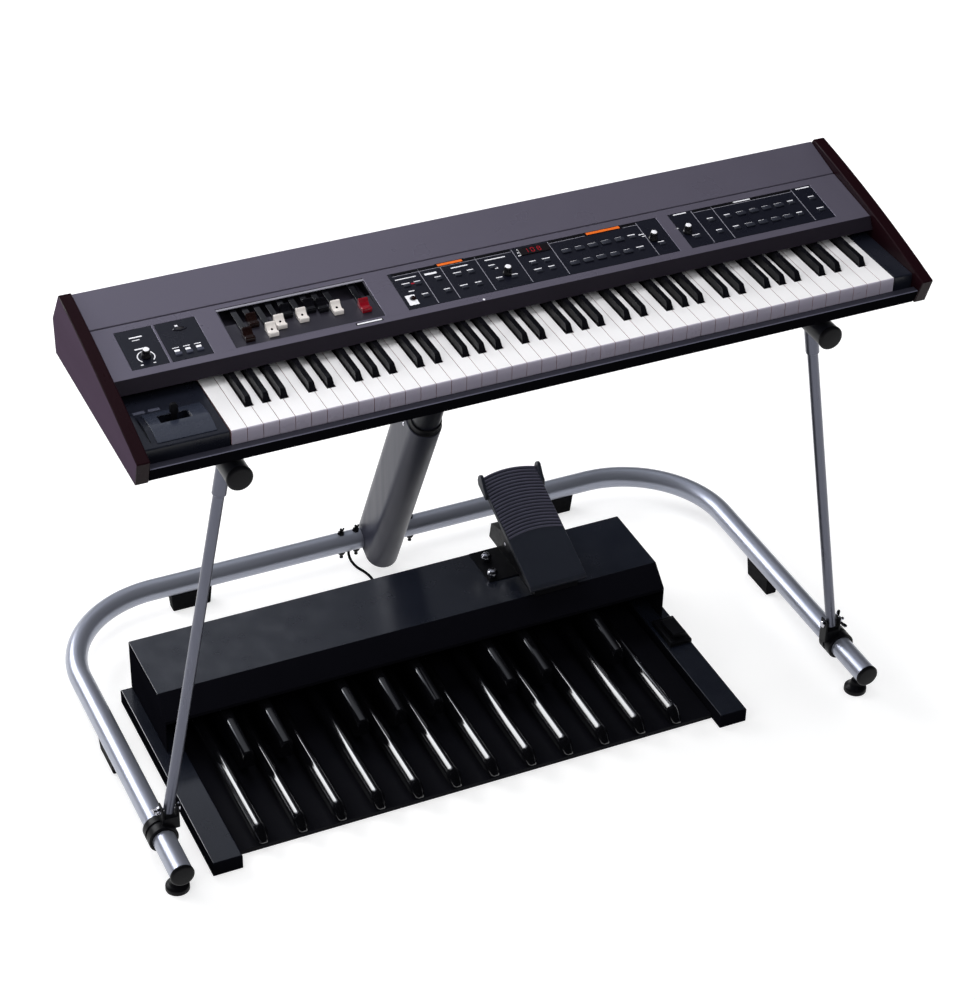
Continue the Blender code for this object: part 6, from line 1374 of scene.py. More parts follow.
def make_column():
    """The leaning extrusion, its collar, and the fasteners that hold both."""
    lean, top = lean_matrix(), COLUMN_RISE
    shape = bmesh.new()
    add_prism(shape, stadium(COLUMN_WIDTH, COLUMN_DEPTH, 28), "Z", -COLUMN_DROP, top)
    move(shape, lean)
    piece("column_skin", shape, "column_anodised", slot="column", replaces="column", edge=0.0012,
          segments=3, edge_angle=50.0)
    bore, rim = INNER_TUBE_RADIUS + 0.0003, COLLAR_RADIUS
    collar = [(bore, COLLAR_LENGTH), (rim - 0.0012, COLLAR_LENGTH), (rim, COLLAR_LENGTH - 0.0014),
              (rim, 0.0020), (rim + 0.0010, 0.0008), (rim + 0.0010, -0.0010), (bore, -0.0010),
              (bore, COLLAR_LENGTH)]
    turned_piece("column_collar", collar, lean @ Matrix.Translation((0, INNER_TUBE_OFFSET, top)),
                 64, "black_moulding", slot="black")
    screw = bmesh.new()
    add_pan_head(screw, 0.0034)
    repeated("column_screws", screw,
             [lean @ Matrix.Translation((way * COLUMN_WIDTH / 2, across, up))
              @ turn_about("Y", way * 90) for up, across in COLUMN_SCREWS for way in (-1, 1)],
             "bright_steel", slot="steel")


def add_pan_head(shape, radius):
    """A pan-head screw standing on Z, its cross recess pressed in."""
    add_turned(shape, [(0, radius * 0.46), (radius * 0.45, radius * 0.44),
                       (radius * 0.80, radius * 0.32), (radius, radius * 0.05),
                       (radius, -radius * 0.2), (0, -radius * 0.2)], Matrix.Identity(4), 20)


def make_top_frame():
    height, depth = arm_height(), crossbar_depth()
    tubes, caps, saddles = bmesh.new(), bmesh.new(), bmesh.new()
    wide, long = SADDLE_SIZE
    for side in (-1, 1):
        x = side * ARM_X
        add_rod(tubes, stand_point(x, ARM_FRONT, height),
                stand_point(x, depth + ARM_TAIL, height), ARM_RADIUS, segments=56)
        add_turned(caps, end_cap_profile(ARM_RADIUS),
                   Matrix.Translation(stand_point(x, ARM_FRONT, height))
                   @ turn_about("X", 90), 48)
        for start in SADDLE_DEPTHS:
            add_box(saddles, stand_point(x - wide / 2, start, height),
                    stand_point(x + wide / 2, start + long, ORGAN_UNDERSIDE - 0.0003))
        weld = stand_point(x - side * (ARM_RADIUS - 0.001), depth, height)
        add_turned(tubes, weld_profile(),
                   Matrix.Translation(weld) @ turn_about("Y", -side * 90), 48)
    add_rod(tubes, stand_point(-ARM_X, depth, height), stand_point(ARM_X, depth, height),
            CROSSBAR_RADIUS, segments=56)
    lean = lean_matrix()
    verts = add_rod(tubes, (0, INNER_TUBE_OFFSET, COLUMN_RISE - 0.010),
                    (0, INNER_TUBE_OFFSET, sliding_tube_length() + CROSSBAR_RADIUS / 2),
                    INNER_TUBE_RADIUS, segments=64)
    move(tubes, lean, verts)
    piece("top_frame_tubes", tubes, "arm_paint", slot="arm", replaces="top_frame", edge=0.0008,
          segments=3, edge_angle=60.0)
    piece("top_frame_caps", caps, "black_moulding", slot="black")
    piece("top_frame_saddles", saddles, "black_rubber", slot="rubber", edge=0.0020, segments=4)


def weld_profile():
    """The bead where the crossbar runs into an arm."""
    return [(CROSSBAR_RADIUS - 0.001, 0.004), (CROSSBAR_RADIUS + 0.0006, 0.0034),
            (CROSSBAR_RADIUS + 0.0018, 0.0018), (CROSSBAR_RADIUS + 0.0032, -0.001),
            (CROSSBAR_RADIUS - 0.001, -0.002), (CROSSBAR_RADIUS - 0.001, 0.004)]


def strut_points(side):
    return (stand_point(side * STRUT_FOOT_X, STRUT_FOOT_DEPTH, STRUT_FOOT_HEIGHT),
            stand_point(side * ARM_X, STRUT_HEAD_DEPTH, arm_height()))


def make_struts():
    """Round struts with their head sleeves, clamps with wing nuts, and round feet."""
    for side, word in ((-1, "left"), (1, "right")):
        foot, head = strut_points(side)
        along = (head - foot).normalized()
        seat = head - along * (ARM_RADIUS * 0.8)
        bar = bmesh.new()
        add_rod(bar, foot - along * STRUT_FOOT_END, seat - along * STRUT_SLEEVE / 2,
                STRUT_RADIUS, segments=40)
        piece("strut_" + word + "_bar", bar, "strut_metal", slot="strut",
              replaces="strut_" + word, edge=0.0010, segments=3, edge_angle=60.0)
        outer = STRUT_RADIUS + STRUT_SLEEVE_WALL
        turn = along.to_track_quat("Z", "Y").to_matrix().to_4x4()
        sleeve = [(0, STRUT_SLEEVE), (outer, STRUT_SLEEVE), (outer, 0.0016),
                  (outer - 0.0010, 0.0003), (STRUT_RADIUS - 0.0004, 0), (0, 0)]
        turned_piece("strut_" + word + "_sleeve", sleeve,
                     Matrix.Translation(seat - along * STRUT_SLEEVE) @ turn, 40, "strut_metal",
                     slot="strut")
        make_clamp(side, word, foot)
        make_foot(side, word)


def make_clamp(side, word, foot):
    outer, half, waist = BASE_TUBE_RADIUS + CLAMP_WALL, CLAMP_LENGTH / 2, CLAMP_WAIST / 2
    bore = BASE_TUBE_RADIUS + 0.0002
    clevis, nut, name = bmesh.new(), bmesh.new(), "strut_clamp_" + word
    ease, groove = 0.0012, outer - CLAMP_GROOVE
    ring = [(bore, half), (outer - ease, half), (outer, half - ease), (outer, waist),
            (groove, waist - 0.0004), (groove, 0.0004 - waist), (outer, -waist),
            (outer, ease - half), (outer - ease, -half), (bore, -half), (bore, half)]
    turned_piece(name + "_ring", ring,
                 Matrix.Translation((side * BASE_HALF_WIDTH, foot.y, BASE_TUBE_HEIGHT))
                 @ turn_about("X", 90), 64, "black_moulding", slot="black", replaces=name)
    inner = STRUT_RADIUS + CLEVIS_CLEARANCE
    edge = inner + CLEVIS_EAR
    root, top = STRUT_FOOT_HEIGHT - CLEVIS_BELOW_BOLT, STRUT_FOOT_HEIGHT + CLEVIS_ABOVE_BOLT
    outline = [(-edge, CLEVIS_ROOT), (edge, CLEVIS_ROOT), (edge, top), (inner, top),
               (inner, root), (-inner, root), (-inner, top), (-edge, top)]
    add_prism(clevis, [(foot.x + a, b) for a, b in outline], "Y",
              foot.y - CLEVIS_DEPTH / 2, foot.y + CLEVIS_DEPTH / 2)
    piece(name + "_clevis", clevis, "black_moulding", slot="black", edge=0.0015, segments=4)
    outward = Matrix.Translation(foot) @ turn_about("Y", side * 90)
    end, (head, tall) = edge + BOLT_END, BOLT_HEAD
    bolt = [(0, end), (BOLT_RADIUS - 0.0006, end), (BOLT_RADIUS, end - 0.0008),
            (BOLT_RADIUS, -edge), (head, -edge), (head, 0.001 - edge - tall),
            (head - 0.001, -edge - tall), (0, -edge - tall)]
    turned_piece(name + "_bolt", bolt, outward, 32, "bright_steel", slot="steel")
    (wide, slim), end = WING_NUT_RADII, edge + WING_NUT_HEIGHT
    add_turned(nut, [(0, end), (slim * 0.8, end), (slim, end - 0.001), (wide, edge + 0.0008),
                     (wide, edge), (0, edge)], outward, 32)
    for way in (-1, 1):
        wing = [(way * 0.0040, edge + 0.0010), (way * 0.0120, edge + 0.0024),
                (way * 0.0162, edge + 0.0060), (way * 0.0168, edge + 0.0098),
                (way * 0.0148, edge + 0.0112), (way * 0.0120, edge + 0.0102),
                (way * 0.0070, edge + 0.0060), (way * 0.0040, edge + 0.0052)]
        verts = add_prism(nut, wing, "X", -0.0014, 0.0014)
        move(nut, outward @ turn_about("Z", 28), verts)
    piece(name + "_wing_nut", nut, "bright_steel", slot="steel", edge=0.0006, segments=3)


def make_foot(side, word):
    stud_top, name = BASE_TUBE_HEIGHT - BASE_TUBE_RADIUS + 0.0010, "levelling_foot_" + word
    foot = [(0, stud_top), (0.0050, stud_top), (0.0050, 0.0225), (0.0080, 0.0220),
            (0.0086, 0.0212), (0.0092, 0.0180), (0.0110, 0.0135), (0.0140, 0.0112),
            (0.0172, 0.0096), (0.0186, 0.0082), (0.0190, 0.0062), (0.0190, 0.0006),
            (0.0184, 0.0), (0, 0)]
    turned_piece(name + "_skin", foot,
                 Matrix.Translation(stand_point(side * BASE_HALF_WIDTH, FOOT_DEPTH, 0)), 56,
                 "black_moulding", slot="black", replaces=name)


# The pedalboard

def make_pedalboard():
    # The deck and the sides of the blocks and box take the darker painted shade; their tops keep
    # the satin black
    skin("pedal_deck", "deck_paint", "board", edge=0.0008)
    for word in ("left", "right"):
        skin("pedal_block_" + word, ["board_paint", "matte_paint"], "board", edge=0.0009,
             segments=3, pick=lambda spot, way: int(way.z < 0.9))
    skin("pedal_box", ["board_paint", "matte_paint"], "box", edge=0.0009, segments=3,
         pick=lambda spot, way: int(way.z < 0.97))
    make_pedals()


def pedal_places():
    naturals = [FIRST_PEDAL_X + index * PEDAL_PITCH for index in range(NATURAL_PEDAL_COUNT)]
    sharps = [x + PEDAL_PITCH / 2 for index, x in enumerate(naturals[:-1])
              if "CDEFGAB"[index % 7] in "CDFGA"]
    return naturals, sharps


def boat_bar(half, front, back, bottom, top):
    """A bar with a rounded top, whose front end narrows and dips like the bow of a boat."""
    corner, nose, shape, rings = 10, PEDAL_NOSE, bmesh.new(), []
    runs = [nose * (1 - math.cos(math.pi / 2 * share / 12)) for share in range(1, 13)]
    for run in [0.0004, *runs[1:], nose + 0.003, back - front - 0.003, back - front]:
        full = math.sqrt(max(0.0, 1 - (1 - min(1.0, run / nose)) ** 2))
        wide = half * (0.16 + 0.84 * full)
        rise = math.sin(math.pi / 2 * min(1.0, run / nose))
        high = bottom + (top - bottom) * (0.08 + 0.92 * rise)
        radius = min(PEDAL_ROUNDING, wide * 0.9, (high - bottom) * 0.8)
        arc = [(radius * (math.sin(angle) * (1 - PEDAL_FLAT) + share * PEDAL_FLAT),
                radius * (math.cos(angle) * (1 - PEDAL_FLAT) + (1 - share) * PEDAL_FLAT))
               for share, angle in ((step / corner, math.pi / 2 * step / corner)
                                    for step in range(corner + 1))]
        right = [(wide - radius + a, high - radius + b) for a, b in arc] + [(wide, bottom)]
        section = [(-a, b) for a, b in reversed(right)] + right
        rings.append([shape.verts.new((a, front + run, b)) for a, b in section])
    join_rings(shape, rings)
    return shape


def make_pedals():
    """Every natural is one rounded bar and every sharp one raised bar, repeated at its place."""
    naturals, sharps = pedal_places()
    bottom, half = PEDAL_TOP - PEDAL_HEIGHT, PEDAL_WIDTH / 2
    front, back = ORGAN_FRONT_Y + PEDAL_FRONT, ORGAN_FRONT_Y + PEDAL_ROD_DEPTH
    bar = boat_bar(half, front, back, bottom, PEDAL_TOP)
    repeated("natural_pedals_skin", bar, [Matrix.Translation((x, 0, 0)) for x in naturals],
             "pedal_gloss", body="natural_pedals", slot="pedal", replaces="natural_pedals")
    low_front, half = SHARP_PEDAL_TOP - SHARP_PEDAL_HEIGHT, SHARP_PEDAL_WIDTH / 2
    start, nose = SHARP_PEDAL_FRONT, SHARP_PEDAL_NOSE
    outline = [(start, low_front), (start + PEDAL_BELLY, bottom), (BOX_TOP_FRONT, bottom),
               (BOX_TOP_FRONT, SHARP_PEDAL_BACK_TOP), (BOX_BEND_DEPTH, SHARP_PEDAL_BACK_TOP),
               (start + nose, SHARP_PEDAL_TOP), (start, SHARP_PEDAL_TOP - nose)]
    bar = bmesh.new()
    add_prism(bar, [(ORGAN_FRONT_Y + depth, height) for depth, height in outline], "X",
              -half, half)
    low = SHARP_PEDAL_TOP - nose - 1e-4
    round_edges(bar, lambda a, b: min(a.z, b.z) > low and abs(a.x - b.x) < 1e-6,
                SHARP_PEDAL_ROUNDING, 6)
    repeated("sharp_pedals_skin", bar, [Matrix.Translation((x, 0, 0)) for x in sharps],
             "pedal_gloss", body="sharp_pedals", slot="pedal", replaces="sharp_pedals")


def make_foot_switch():
    skin("foot_switch_base", "black_moulding", "black", edge=0.0008, segments=3)
    skin("foot_switch_pad", "black_moulding", "black", edge=0.0010, segments=3)


# The expression pedal

def treadle_matrix():
    return (Matrix.Translation(stand_point(TREADLE_X, TREADLE_HEEL_DEPTH, TREADLE_HEEL_HEIGHT))
            @ Matrix.Rotation(TREADLE_SLOPE, 4, "X"))


def toe_bow(across, along):
    """How far a row across the treadle bends forward in its middle."""
    reach = max(0.0, min(1.0, along / RIB_START)) ** 2
    return TREADLE_TOE_BOW * (1 - (2 * across / TREADLE_WIDTH) ** 2) * reach


def make_treadle():
    """The rubber-covered rocker: plain heel, ribbed toe half, side ears and toe wings."""
    sizes = bpy.context.scene.combo_organ_sizes
    place, half = treadle_matrix(), TREADLE_WIDTH / 2
    columns, rows = 24, 40
    shape, grid = bmesh.new(), []
    for row in range(rows + 1):
        along = TREADLE_LENGTH * row / rows
        drop = -TREADLE_END_DROP * max(0.0, 1 - along / TREADLE_END_DROP) \
            - TREADLE_END_DROP * max(0.0, 1 - (TREADLE_LENGTH - along) / 0.007)
        grid.append([shape.verts.new((across, along + toe_bow(across, along), drop))
                     for across in (half * (2 * column / columns - 1)
                                    for column in range(columns + 1))])
    for near, far in zip(grid, grid[1:]):
        for column in range(columns):
            shape.faces.new((near[column], near[column + 1], far[column + 1], far[column]))
    rim = [edge for edge in shape.edges if edge.is_boundary]
    drop = bmesh.ops.extrude_edge_only(shape, edges=rim)["geom"]
    for vert in verts_among(drop):
        vert.co.z = -TREADLE_THICKNESS
    rim = [part for part in drop if isinstance(part, bmesh.types.BMEdge) and part.is_boundary]
    bmesh.ops.contextual_create(shape, geom=rim)
    move(shape, place)
    piece("treadle_plate", shape, "treadle_rubber", body="expression_treadle",
          slot="pedal_rubber", replaces="expression_treadle", edge=0.0010, segments=3)
    make_treadle_ribs(sizes, place)
    make_treadle_sides(place)


def make_treadle_ribs(sizes, place):
    """One bowed rib, set in an even row up the toe half."""
    half, steps = TREADLE_WIDTH / 2 - 0.0012, 24
    pitch = (TREADLE_LENGTH - RIB_START) / sizes.rib_count
    high = sizes.rib_height
    outline = [(0.0, -0.0006), (pitch * 0.14, high * 0.75), (pitch * 0.27, high),
               (pitch * 0.48, high * 0.95), (pitch * 0.62, high * 0.6), (pitch * 0.74, -0.0006)]
    rib = bmesh.new()
    rings = []
    for step in range(steps + 1):
        across = half * (2 * step / steps - 1)
        bow = toe_bow(across, RIB_START)
        rings.append([rib.verts.new((across, along + bow, height)) for along, height in outline])
    join_rings(rib, rings)
    # The ribs take the lighter painted highlight
    repeated("treadle_ribs", rib, [place @ Matrix.Translation((0, RIB_START + pitch * step, 0))
                                   for step in range(sizes.rib_count)],
             "rib_rubber", 50.0, body="expression_treadle", slot="pedal_rubber")


def make_treadle_sides(place):
    half, toe = TREADLE_WIDTH / 2, TREADLE_LENGTH
    axle = place.inverted() @ stand_point(TREADLE_X, TREADLE_AXLE_DEPTH, TREADLE_AXLE_HEIGHT)
    root, tip = TREADLE_EAR_ROOT, TREADLE_EAR_TIP
    low = axle.z - TREADLE_EAR_DROP
    ear = [(axle.y - root, -0.002), (axle.y - tip, low + 0.003), (axle.y - tip + 0.004, low),
           (axle.y + tip - 0.004, low), (axle.y + tip, low + 0.003), (axle.y + root, -0.002)]
    wing = [(toe - WING_LENGTH, -TREADLE_THICKNESS), (toe - WING_TIP, -TREADLE_THICKNESS),
            (toe + 0.0005, -0.002), (toe + 0.0018, 0.005), (toe + 0.0005, 0.011),
            (toe - 0.003, 0.0150), (toe - 0.007, WING_HEIGHT), (toe - 0.014, 0.0125),
            (toe - 0.024, 0.0062), (toe - WING_LENGTH + WING_TIP, 0.003)]
    ears, wings, axles = bmesh.new(), bmesh.new(), bmesh.new()
    for side in (-1, 1):
        outer = side * (half - TREADLE_EAR_INSET)
        inner = outer - side * TREADLE_EAR_THICKNESS
        add_prism(ears, ear, "X", min(inner, outer), max(inner, outer))
        inner, outer = side * (half - TREADLE_EAR_INSET / 2), side * (half + WING_THICKNESS)
        add_prism(wings, wing, "X", min(inner, outer), max(inner, outer))
        hub = (place @ Matrix.Translation(axle)
               @ turn_about("Y", side * 90))
        reach = half - TREADLE_EAR_INSET
        add_turned(axles, [(0, reach + 0.0012), (0.0030, reach + 0.0012), (0.0038, reach + 0.0004),
                           (0.0038, reach - 0.006), (0, reach - 0.006)], hub, 28)
    move(ears, place)
    move(wings, place)
    piece("treadle_ears", ears, "black_moulding", body="expression_treadle",
          slot="pedal_rubber", edge=0.0007, segments=3)
    piece("treadle_wings", wings, "treadle_rubber", body="expression_treadle",
          slot="pedal_rubber", edge=0.0012, segments=4)
    piece("treadle_axle", axles, "bright_steel", body="expression_treadle", slot="steel")


def make_expression_base():
    """The pedal's housing, and the two bright thumb screws on its mounting plate."""
    skin("expression_base", ["black_moulding", "bright_steel"], "black",
         pick=lambda spot, way: int(any((spot.x - x) ** 2 + (spot.y - ORGAN_FRONT_Y - depth) ** 2
                                   < 0.0095 ** 2 for x, depth in THUMB_SCREW_PLACES)
                               and spot.z > PEDAL_PLATE_TOP + 0.0002),
         edge=0.0009, segments=3)
    knobs = bmesh.new()
    for x, depth in THUMB_SCREW_PLACES:
        spot = Matrix.Translation(stand_point(x, depth, PEDAL_PLATE_TOP))
        add_turned(knobs, [(0, 0.0146), (0.0052, 0.0146), (0.0066, 0.0140), (0.0086, 0.0112),
                           (0.0092, 0.0100), (0.0092, 0.0072), (0.0086, 0.0060),
                           (0.0060, 0.0042), (0.0060, 0.0), (0, 0.0)], spot, 48)
    piece("thumb_screws", knobs, "bright_steel", slot="steel")


# The cable

def smooth_line(guides, spacing):
    """Points at an even spacing along a smooth curve through the guides."""
    ends = [guides[0] * 2 - guides[1], *guides, guides[-1] * 2 - guides[-2]]
    dense = []
    for index in range(1, len(ends) - 2):
        before, start, end, after = ends[index - 1:index + 3]
        for step in range(12):
            share = step / 12
            dense.append(0.5 * (2 * start + (end - before) * share
                                + (2 * before - 5 * start + 4 * end - after) * share ** 2
                                + (3 * start - before - 3 * end + after) * share ** 3))
    dense.append(guides[-1])
    points = [dense[0]]
    for place in dense[1:-1]:
        if (place - points[-1]).length >= spacing and (place - dense[-1]).length > spacing / 2:
            points.append(place)
    return points + [dense[-1]]


def cable_route():
    """Out of the grommet, down to the floor, forward and up into the plug."""
    x, radius = CABLE_START_X, bpy.context.scene.combo_organ_sizes.cable_diameter / 2
    start = BASE_TUBE_HEIGHT - BASE_TUBE_RADIUS - GROMMET_LENGTH - TOUCH_GAP
    floor = radius + TOUCH_GAP
    end = BOARD_BACK + PLUG_LENGTH + 2 * TOUCH_GAP
    guides = [(x, BASE_BACK, start), (x, BASE_BACK - 0.0006, start - 0.008),
              (x + 0.002, 0.678, floor + 0.0085), (x + 0.008, 0.665, floor + 0.0012),
              (x + 0.016, 0.648, floor), (x + 0.020, 0.630, floor), (x + 0.020, 0.610, floor),
              (x + 0.022, 0.592, floor + 0.0006), (x + 0.026, 0.575, floor + 0.006),
              (PLUG_X - 0.001, 0.560, floor + 0.020), (PLUG_X, 0.549, PLUG_HEIGHT - 0.011),
              (PLUG_X, 0.536, PLUG_HEIGHT - 0.0010), (PLUG_X, end, PLUG_HEIGHT)]
    return [stand_point(*place) for place in smooth_line([Vector(g) for g in guides], 0.0065)]


def make_cable():
    """The short cable between stand and pedalboard, with its moulded plug."""
    diameter = bpy.context.scene.combo_organ_sizes.cable_diameter
    route = cable_route()
    radius, length = PLUG_RADIUS, PLUG_LENGTH
    plug = [(0, length), (radius * 0.42, length), (radius * 0.50, length - 0.0008),
            (radius * 0.52, length - 0.008), (radius * 0.62, length - 0.0145),
            (radius * 0.80, length - 0.0152), (radius * 0.97, length - 0.0180),
            (radius, length - 0.0200), (radius, 0.0130), (radius * 0.93, 0.0124),
            (radius * 0.93, 0.0104), (radius, 0.0098), (radius, 0.0008), (radius * 0.94, 0.0),
            (0, 0)]
    place = Matrix.Translation(stand_point(PLUG_X, BOARD_BACK + TOUCH_GAP, PLUG_HEIGHT))
    plug_piece = turned_piece("cable_plug_skin", plug, place @ turn_about("X", -90), 40,
                              "black_moulding", slot="black", replaces="cable_plug")
    cable = swept("pedal_cable_skin", route, diameter / 2, 16, "black_rubber", slot="rubber",
                  replaces="pedal_cable")
    length = sum((b - a).length for a, b in zip(route, route[1:]))


# The studio

def make_camera():
    """The photograph's own view of the front, from the left and above."""
    right, up, ahead = (Vector(way) for way in CAMERA_AXES)
    lens = bpy.data.cameras.new("photo_view")
    lens.lens = bpy.context.scene.combo_organ_studio.focal_length
    lens.sensor_width = 36.0
    lens.clip_end = 60.0
    camera = bpy.data.objects.new("photo_view", lens)
    bpy.context.scene.collection.objects.link(camera)
    turn = Matrix((right, up, -ahead)).transposed().to_4x4()
    camera.matrix_world = Matrix.Translation(CAMERA_PLACE) @ turn
    bpy.context.scene.camera = camera


def add_lamp(name, place, target, size, power, mirrored=True):
    """A soft box; one that isn't mirrored lights the object and leaves no streak on gloss."""
    light = bpy.data.lights.new(name, "AREA")
    light.shape = "RECTANGLE"
    light.size, light.size_y = size
    light.energy = power
    lamp = bpy.data.objects.new(name, light)
    lamp.visible_glossy = mirrored
    bpy.context.scene.collection.objects.link(lamp)
    aim = (Vector(target) - Vector(place)).to_track_quat("-Z", "Y").to_matrix().to_4x4()
    lamp.matrix_world = Matrix.Translation(place) @ aim


def make_floor():
    """A wide pale floor that reads as white to the camera and keeps the organ's shadow."""
    reach = bpy.context.scene.combo_organ_studio.floor_radius
    shape = bmesh.new()
    shape.faces.new([shape.verts.new(place) for place in
                     ((-reach, -reach, 0), (reach, -reach, 0), (reach, reach, 0),
                      (-reach, reach, 0))])
    mesh = bpy.data.meshes.new("studio_floor")
    shape.to_mesh(mesh)
    shape.free()
    floor = bpy.data.objects.new("studio_floor", mesh)
    bpy.context.scene.collection.objects.link(floor)
    made = bpy.data.materials.new("studio_paper")
    made.use_nodes = True
    tree = made.node_tree
    shader = tree.nodes["Principled BSDF"]
    shader.inputs["Specular IOR Level"].default_value = 0.0
    shader.inputs["Roughness"].default_value = 0.9
    tree.links.new(blended(tree, object_noise(tree, 0.6), (0.58, 0.58, 0.59),
                           (0.61, 0.61, 0.61)), shader.inputs["Base Color"])
    glow, both, place, far = add_nodes(tree, "ShaderNodeEmission", "ShaderNodeAddShader",
                                       "ShaderNodeTexCoord", "ShaderNodeVectorMath")
    far.operation = "LENGTH"
    tree.links.new(place.outputs["Object"], far.inputs[0])
    whiter = ranged(tree, far.outputs["Value"], *FLOOR_GLOW, 0.8, 3.4)
    tree.links.new(seen_share(tree, whiter), glow.inputs["Strength"])
    tree.links.new(shader.outputs["BSDF"], both.inputs[0])
    tree.links.new(glow.outputs["Emission"], both.inputs[1])
    tree.links.new(both.outputs["Shader"], tree.nodes["Material Output"].inputs["Surface"])
    mesh.materials.append(made)


def seen_share(tree, strength):
    """The strength for rays that the camera, a mirror or glass sends, and 0 for the rest."""
    path = tree.nodes.new("ShaderNodeLightPath")
    total = path.outputs["Is Camera Ray"]
    for name in ("Is Glossy Ray", "Is Transmission Ray"):
        total = maths(tree, "MAXIMUM", total, path.outputs[name])
    return maths(tree, "MULTIPLY", total, strength)


def make_room():
    """Soft room light: white all round at eye level and dimmer overhead, as in a tent."""
    studio = bpy.context.scene.combo_organ_studio
    world = bpy.data.worlds.new("studio_room")
    world.use_nodes = True
    bpy.context.scene.world = world
    tree = world.node_tree
    room = tree.nodes["Background"]
    place, split = add_nodes(tree, "ShaderNodeTexCoord", "ShaderNodeSeparateXYZ")
    tree.links.new(place.outputs["Generated"], split.inputs["Vector"])
    dim = ranged(tree, split.outputs["Z"], studio.horizon, studio.ceiling, 0.10, 0.55)
    seen = ranged(tree, split.outputs["Z"], SEEN_HORIZON, DARK_CEILING, 0.04, 0.18)
    room.inputs["Color"].default_value = ROOM_COLOUR
    for strength, limits in WHITE_CARDS:
        card = None
        for way, low, high in limits:
            share = ranged(tree, split.outputs[way], 0.0, 1.0, low, high)
            card = maths(tree, "MULTIPLY", card, share) if card else share
        seen = maths(tree, "ADD", seen, maths(tree, "MULTIPLY", card, strength))
    mix = tree.nodes.new("ShaderNodeMix")
    tree.links.new(seen_share(tree, 1.0), mix.inputs["Factor"])
    tree.links.new(dim, mix.inputs["A"])
    tree.links.new(seen, mix.inputs["B"])
    path = tree.nodes.new("ShaderNodeLightPath")
    white = maths(tree, "MULTIPLY", path.outputs["Is Camera Ray"], BACKDROP_WHITE)
    tree.links.new(maths(tree, "ADD", mix.outputs["Result"], white), room.inputs["Strength"])


def make_studio():
    studio = bpy.context.scene.combo_organ_studio
    bpy.context.scene.view_settings.view_transform = "Standard"
    make_floor()
    make_room()
    add_lamp("top_box", (-0.5, 0.4, 3.2), (0.0, 0.0, 0.5), (3.2, 2.2), studio.top_power,
             mirrored=False)
    add_lamp("back_left_box", (-1.75, 2.5, 1.75), (0.0, -0.1, 0.3), (1.9, 1.3),
             studio.back_power)
    add_lamp("front_box", (0.30, -1.75, 2.3), (0.0, -0.1, 0.4), (1.8, 1.2), studio.front_power,
             mirrored=False)
    add_lamp("right_box", (3.0, 0.6, 1.5), (0.2, 0.0, 0.4), (2.0, 1.6), studio.side_power,
             mirrored=False)
    add_lamp("side_box", (-3.0, -1.2, 1.6), (-0.2, 0.0, 0.6), (2.0, 1.6), studio.side_power,
             mirrored=False)


# The add-on

def running(*makers):
    """What an operator executes: it makes its pieces in order."""
    def execute(self, context):
        for make in makers:
            make()
        return {"FINISHED"}
    return execute


class COMBO_ORGAN_OT_studio(bpy.types.Operator):
    """Makes the floor, the lamps and the room"""
    bl_idname = "combo_organ.studio"
    bl_label = "Studio"
    execute = running(make_studio)


class COMBO_ORGAN_OT_camera(bpy.types.Operator):
    """Makes the camera at the photograph's view"""
    bl_idname = "combo_organ.camera"
    bl_label = "Photo view"
    execute = running(make_camera)


class COMBO_ORGAN_OT_cable(bpy.types.Operator):
    """Lays the short cable and its plug"""
    bl_idname = "combo_organ.cable"
    bl_label = "Pedal cable"
    execute = running(make_cable)


class COMBO_ORGAN_OT_case(bpy.types.Operator):
    """Dresses the cheeks, the folded case and the blocks"""
    bl_idname = "combo_organ.case"
    bl_label = "Case"
    execute = running(make_case)


class COMBO_ORGAN_OT_plates(bpy.types.Operator):
    """Dresses the inset plates, the display and the sensor"""
    bl_idname = "combo_organ.plates"
    bl_label = "Plates"
    execute = running(make_plates)


class COMBO_ORGAN_OT_printing(bpy.types.Operator):
    """Prints plain lines and bars on the plates"""
    bl_idname = "combo_organ.printing"
    bl_label = "Printed marks"
    execute = running(make_print)


class COMBO_ORGAN_OT_buttons(bpy.types.Operator):
    """Sets the push buttons in their rows"""
    bl_idname = "combo_organ.buttons"
    bl_label = "Buttons"
    execute = running(make_buttons)


class COMBO_ORGAN_OT_knobs(bpy.types.Operator):
    """Turns the four knobs"""
    bl_idname = "combo_organ.knobs"
    bl_label = "Knobs"
    execute = running(make_knobs)


class COMBO_ORGAN_OT_keys(bpy.types.Operator):
    """Rounds and finishes the natural and sharp keys"""
    bl_idname = "combo_organ.keys"
    bl_label = "Keys"
    execute = running(make_keys)


class COMBO_ORGAN_OT_drawbars(bpy.types.Operator):
    """Makes the drawbars and their well"""
    bl_idname = "combo_organ.drawbars"
    bl_label = "Drawbars"
    execute = running(make_drawbars)


class COMBO_ORGAN_OT_bender(bpy.types.Operator):
    """Finishes the bender's lever and yoke"""
    bl_idname = "combo_organ.bender"
    bl_label = "Bender"
    execute = running(make_bender)


class COMBO_ORGAN_OT_base(bpy.types.Operator):
    """Bends the base tubes, with caps, pads and screws"""
    bl_idname = "combo_organ.base"
    bl_label = "Base"
    execute = running(make_base)


class COMBO_ORGAN_OT_column(bpy.types.Operator):
    """Makes the leaning column and its collar"""
    bl_idname = "combo_organ.column"
    bl_label = "Column"
    execute = running(make_column)


class COMBO_ORGAN_OT_arms(bpy.types.Operator):
    """Makes the arms, the crossbar and the sliding tube"""
    bl_idname = "combo_organ.arms"
    bl_label = "Arms"
    execute = running(make_top_frame)


class COMBO_ORGAN_OT_struts(bpy.types.Operator):
    """Makes the struts with their clamps and feet"""
    bl_idname = "combo_organ.struts"
    bl_label = "Struts"
    execute = running(make_struts)


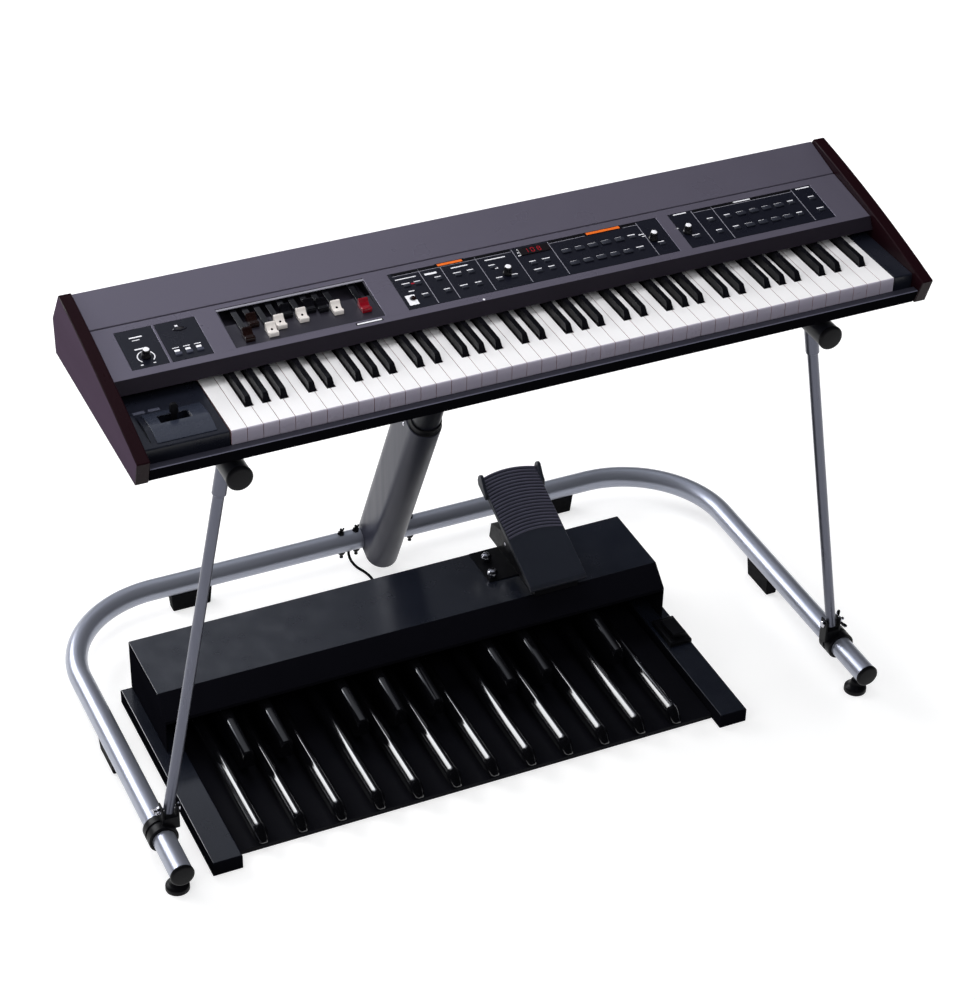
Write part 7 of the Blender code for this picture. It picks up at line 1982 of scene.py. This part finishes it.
class COMBO_ORGAN_OT_pedalboard(bpy.types.Operator):
    """Dresses the pedalboard and its pedals"""
    bl_idname = "combo_organ.pedalboard"
    bl_label = "Pedalboard"
    execute = running(make_pedalboard)


class COMBO_ORGAN_OT_foot_switch(bpy.types.Operator):
    """Finishes the foot switch"""
    bl_idname = "combo_organ.foot_switch"
    bl_label = "Foot switch"
    execute = running(make_foot_switch)


class COMBO_ORGAN_OT_expression(bpy.types.Operator):
    """Makes the treadle and its housing"""
    bl_idname = "combo_organ.expression"
    bl_label = "Expression pedal"
    execute = running(make_expression_base, make_treadle)


STEPS = (COMBO_ORGAN_OT_studio, COMBO_ORGAN_OT_camera, COMBO_ORGAN_OT_cable,
         COMBO_ORGAN_OT_case, COMBO_ORGAN_OT_plates, COMBO_ORGAN_OT_printing,
         COMBO_ORGAN_OT_buttons, COMBO_ORGAN_OT_knobs, COMBO_ORGAN_OT_keys,
         COMBO_ORGAN_OT_drawbars, COMBO_ORGAN_OT_bender, COMBO_ORGAN_OT_base,
         COMBO_ORGAN_OT_column, COMBO_ORGAN_OT_arms, COMBO_ORGAN_OT_struts,
         COMBO_ORGAN_OT_pedalboard, COMBO_ORGAN_OT_foot_switch, COMBO_ORGAN_OT_expression)


class COMBO_ORGAN_PT_panel(bpy.types.Panel):
    """Lists the settings and the steps that dress the organ"""
    bl_idname = "COMBO_ORGAN_PT_panel"
    bl_label = "Combo Organ"
    bl_space_type = "VIEW_3D"
    bl_region_type = "UI"
    bl_category = "Combo Organ"

    def draw(self, context):
        for group in (context.scene.combo_organ_sizes, context.scene.combo_organ_finishes,
                      context.scene.combo_organ_studio):
            box = self.layout.box()
            for name in group.bl_rna.properties.keys():
                if name not in ("rna_type", "name"):
                    box.prop(group, name)
        for made in STEPS:
            self.layout.operator(made.bl_idname)


CLASSES = (ComboOrganFinishes, ComboOrganSizes, ComboOrganStudio, *STEPS, COMBO_ORGAN_PT_panel)


def register():
    for made in CLASSES:
        bpy.utils.register_class(made)
    scene = bpy.types.Scene
    scene.combo_organ_finishes = PointerProperty(type=ComboOrganFinishes)
    scene.combo_organ_sizes = PointerProperty(type=ComboOrganSizes)
    scene.combo_organ_studio = PointerProperty(type=ComboOrganStudio)


def unregister():
    for name in ("combo_organ_finishes", "combo_organ_sizes", "combo_organ_studio"):
        delattr(bpy.types.Scene, name)
    for made in reversed(CLASSES):
        bpy.utils.unregister_class(made)


def clear_startup_scene():
    """Takes away the startup scene's own cube, lamp and camera."""
    ours = set(NODES.values()) | set(frame["bodies"].values())
    for item in list(bpy.data.objects):
        if item not in ours:
            bpy.data.objects.remove(item, do_unlink=True)


def main():
    register()
    clear_startup_scene()
    for made in STEPS:
        group, word = made.bl_idname.split(".")
        if getattr(getattr(bpy.ops, group), word)() != {"FINISHED"}:
            raise RuntimeError(f"{made.bl_label} did not finish")


if __name__ == "__main__":
    main()
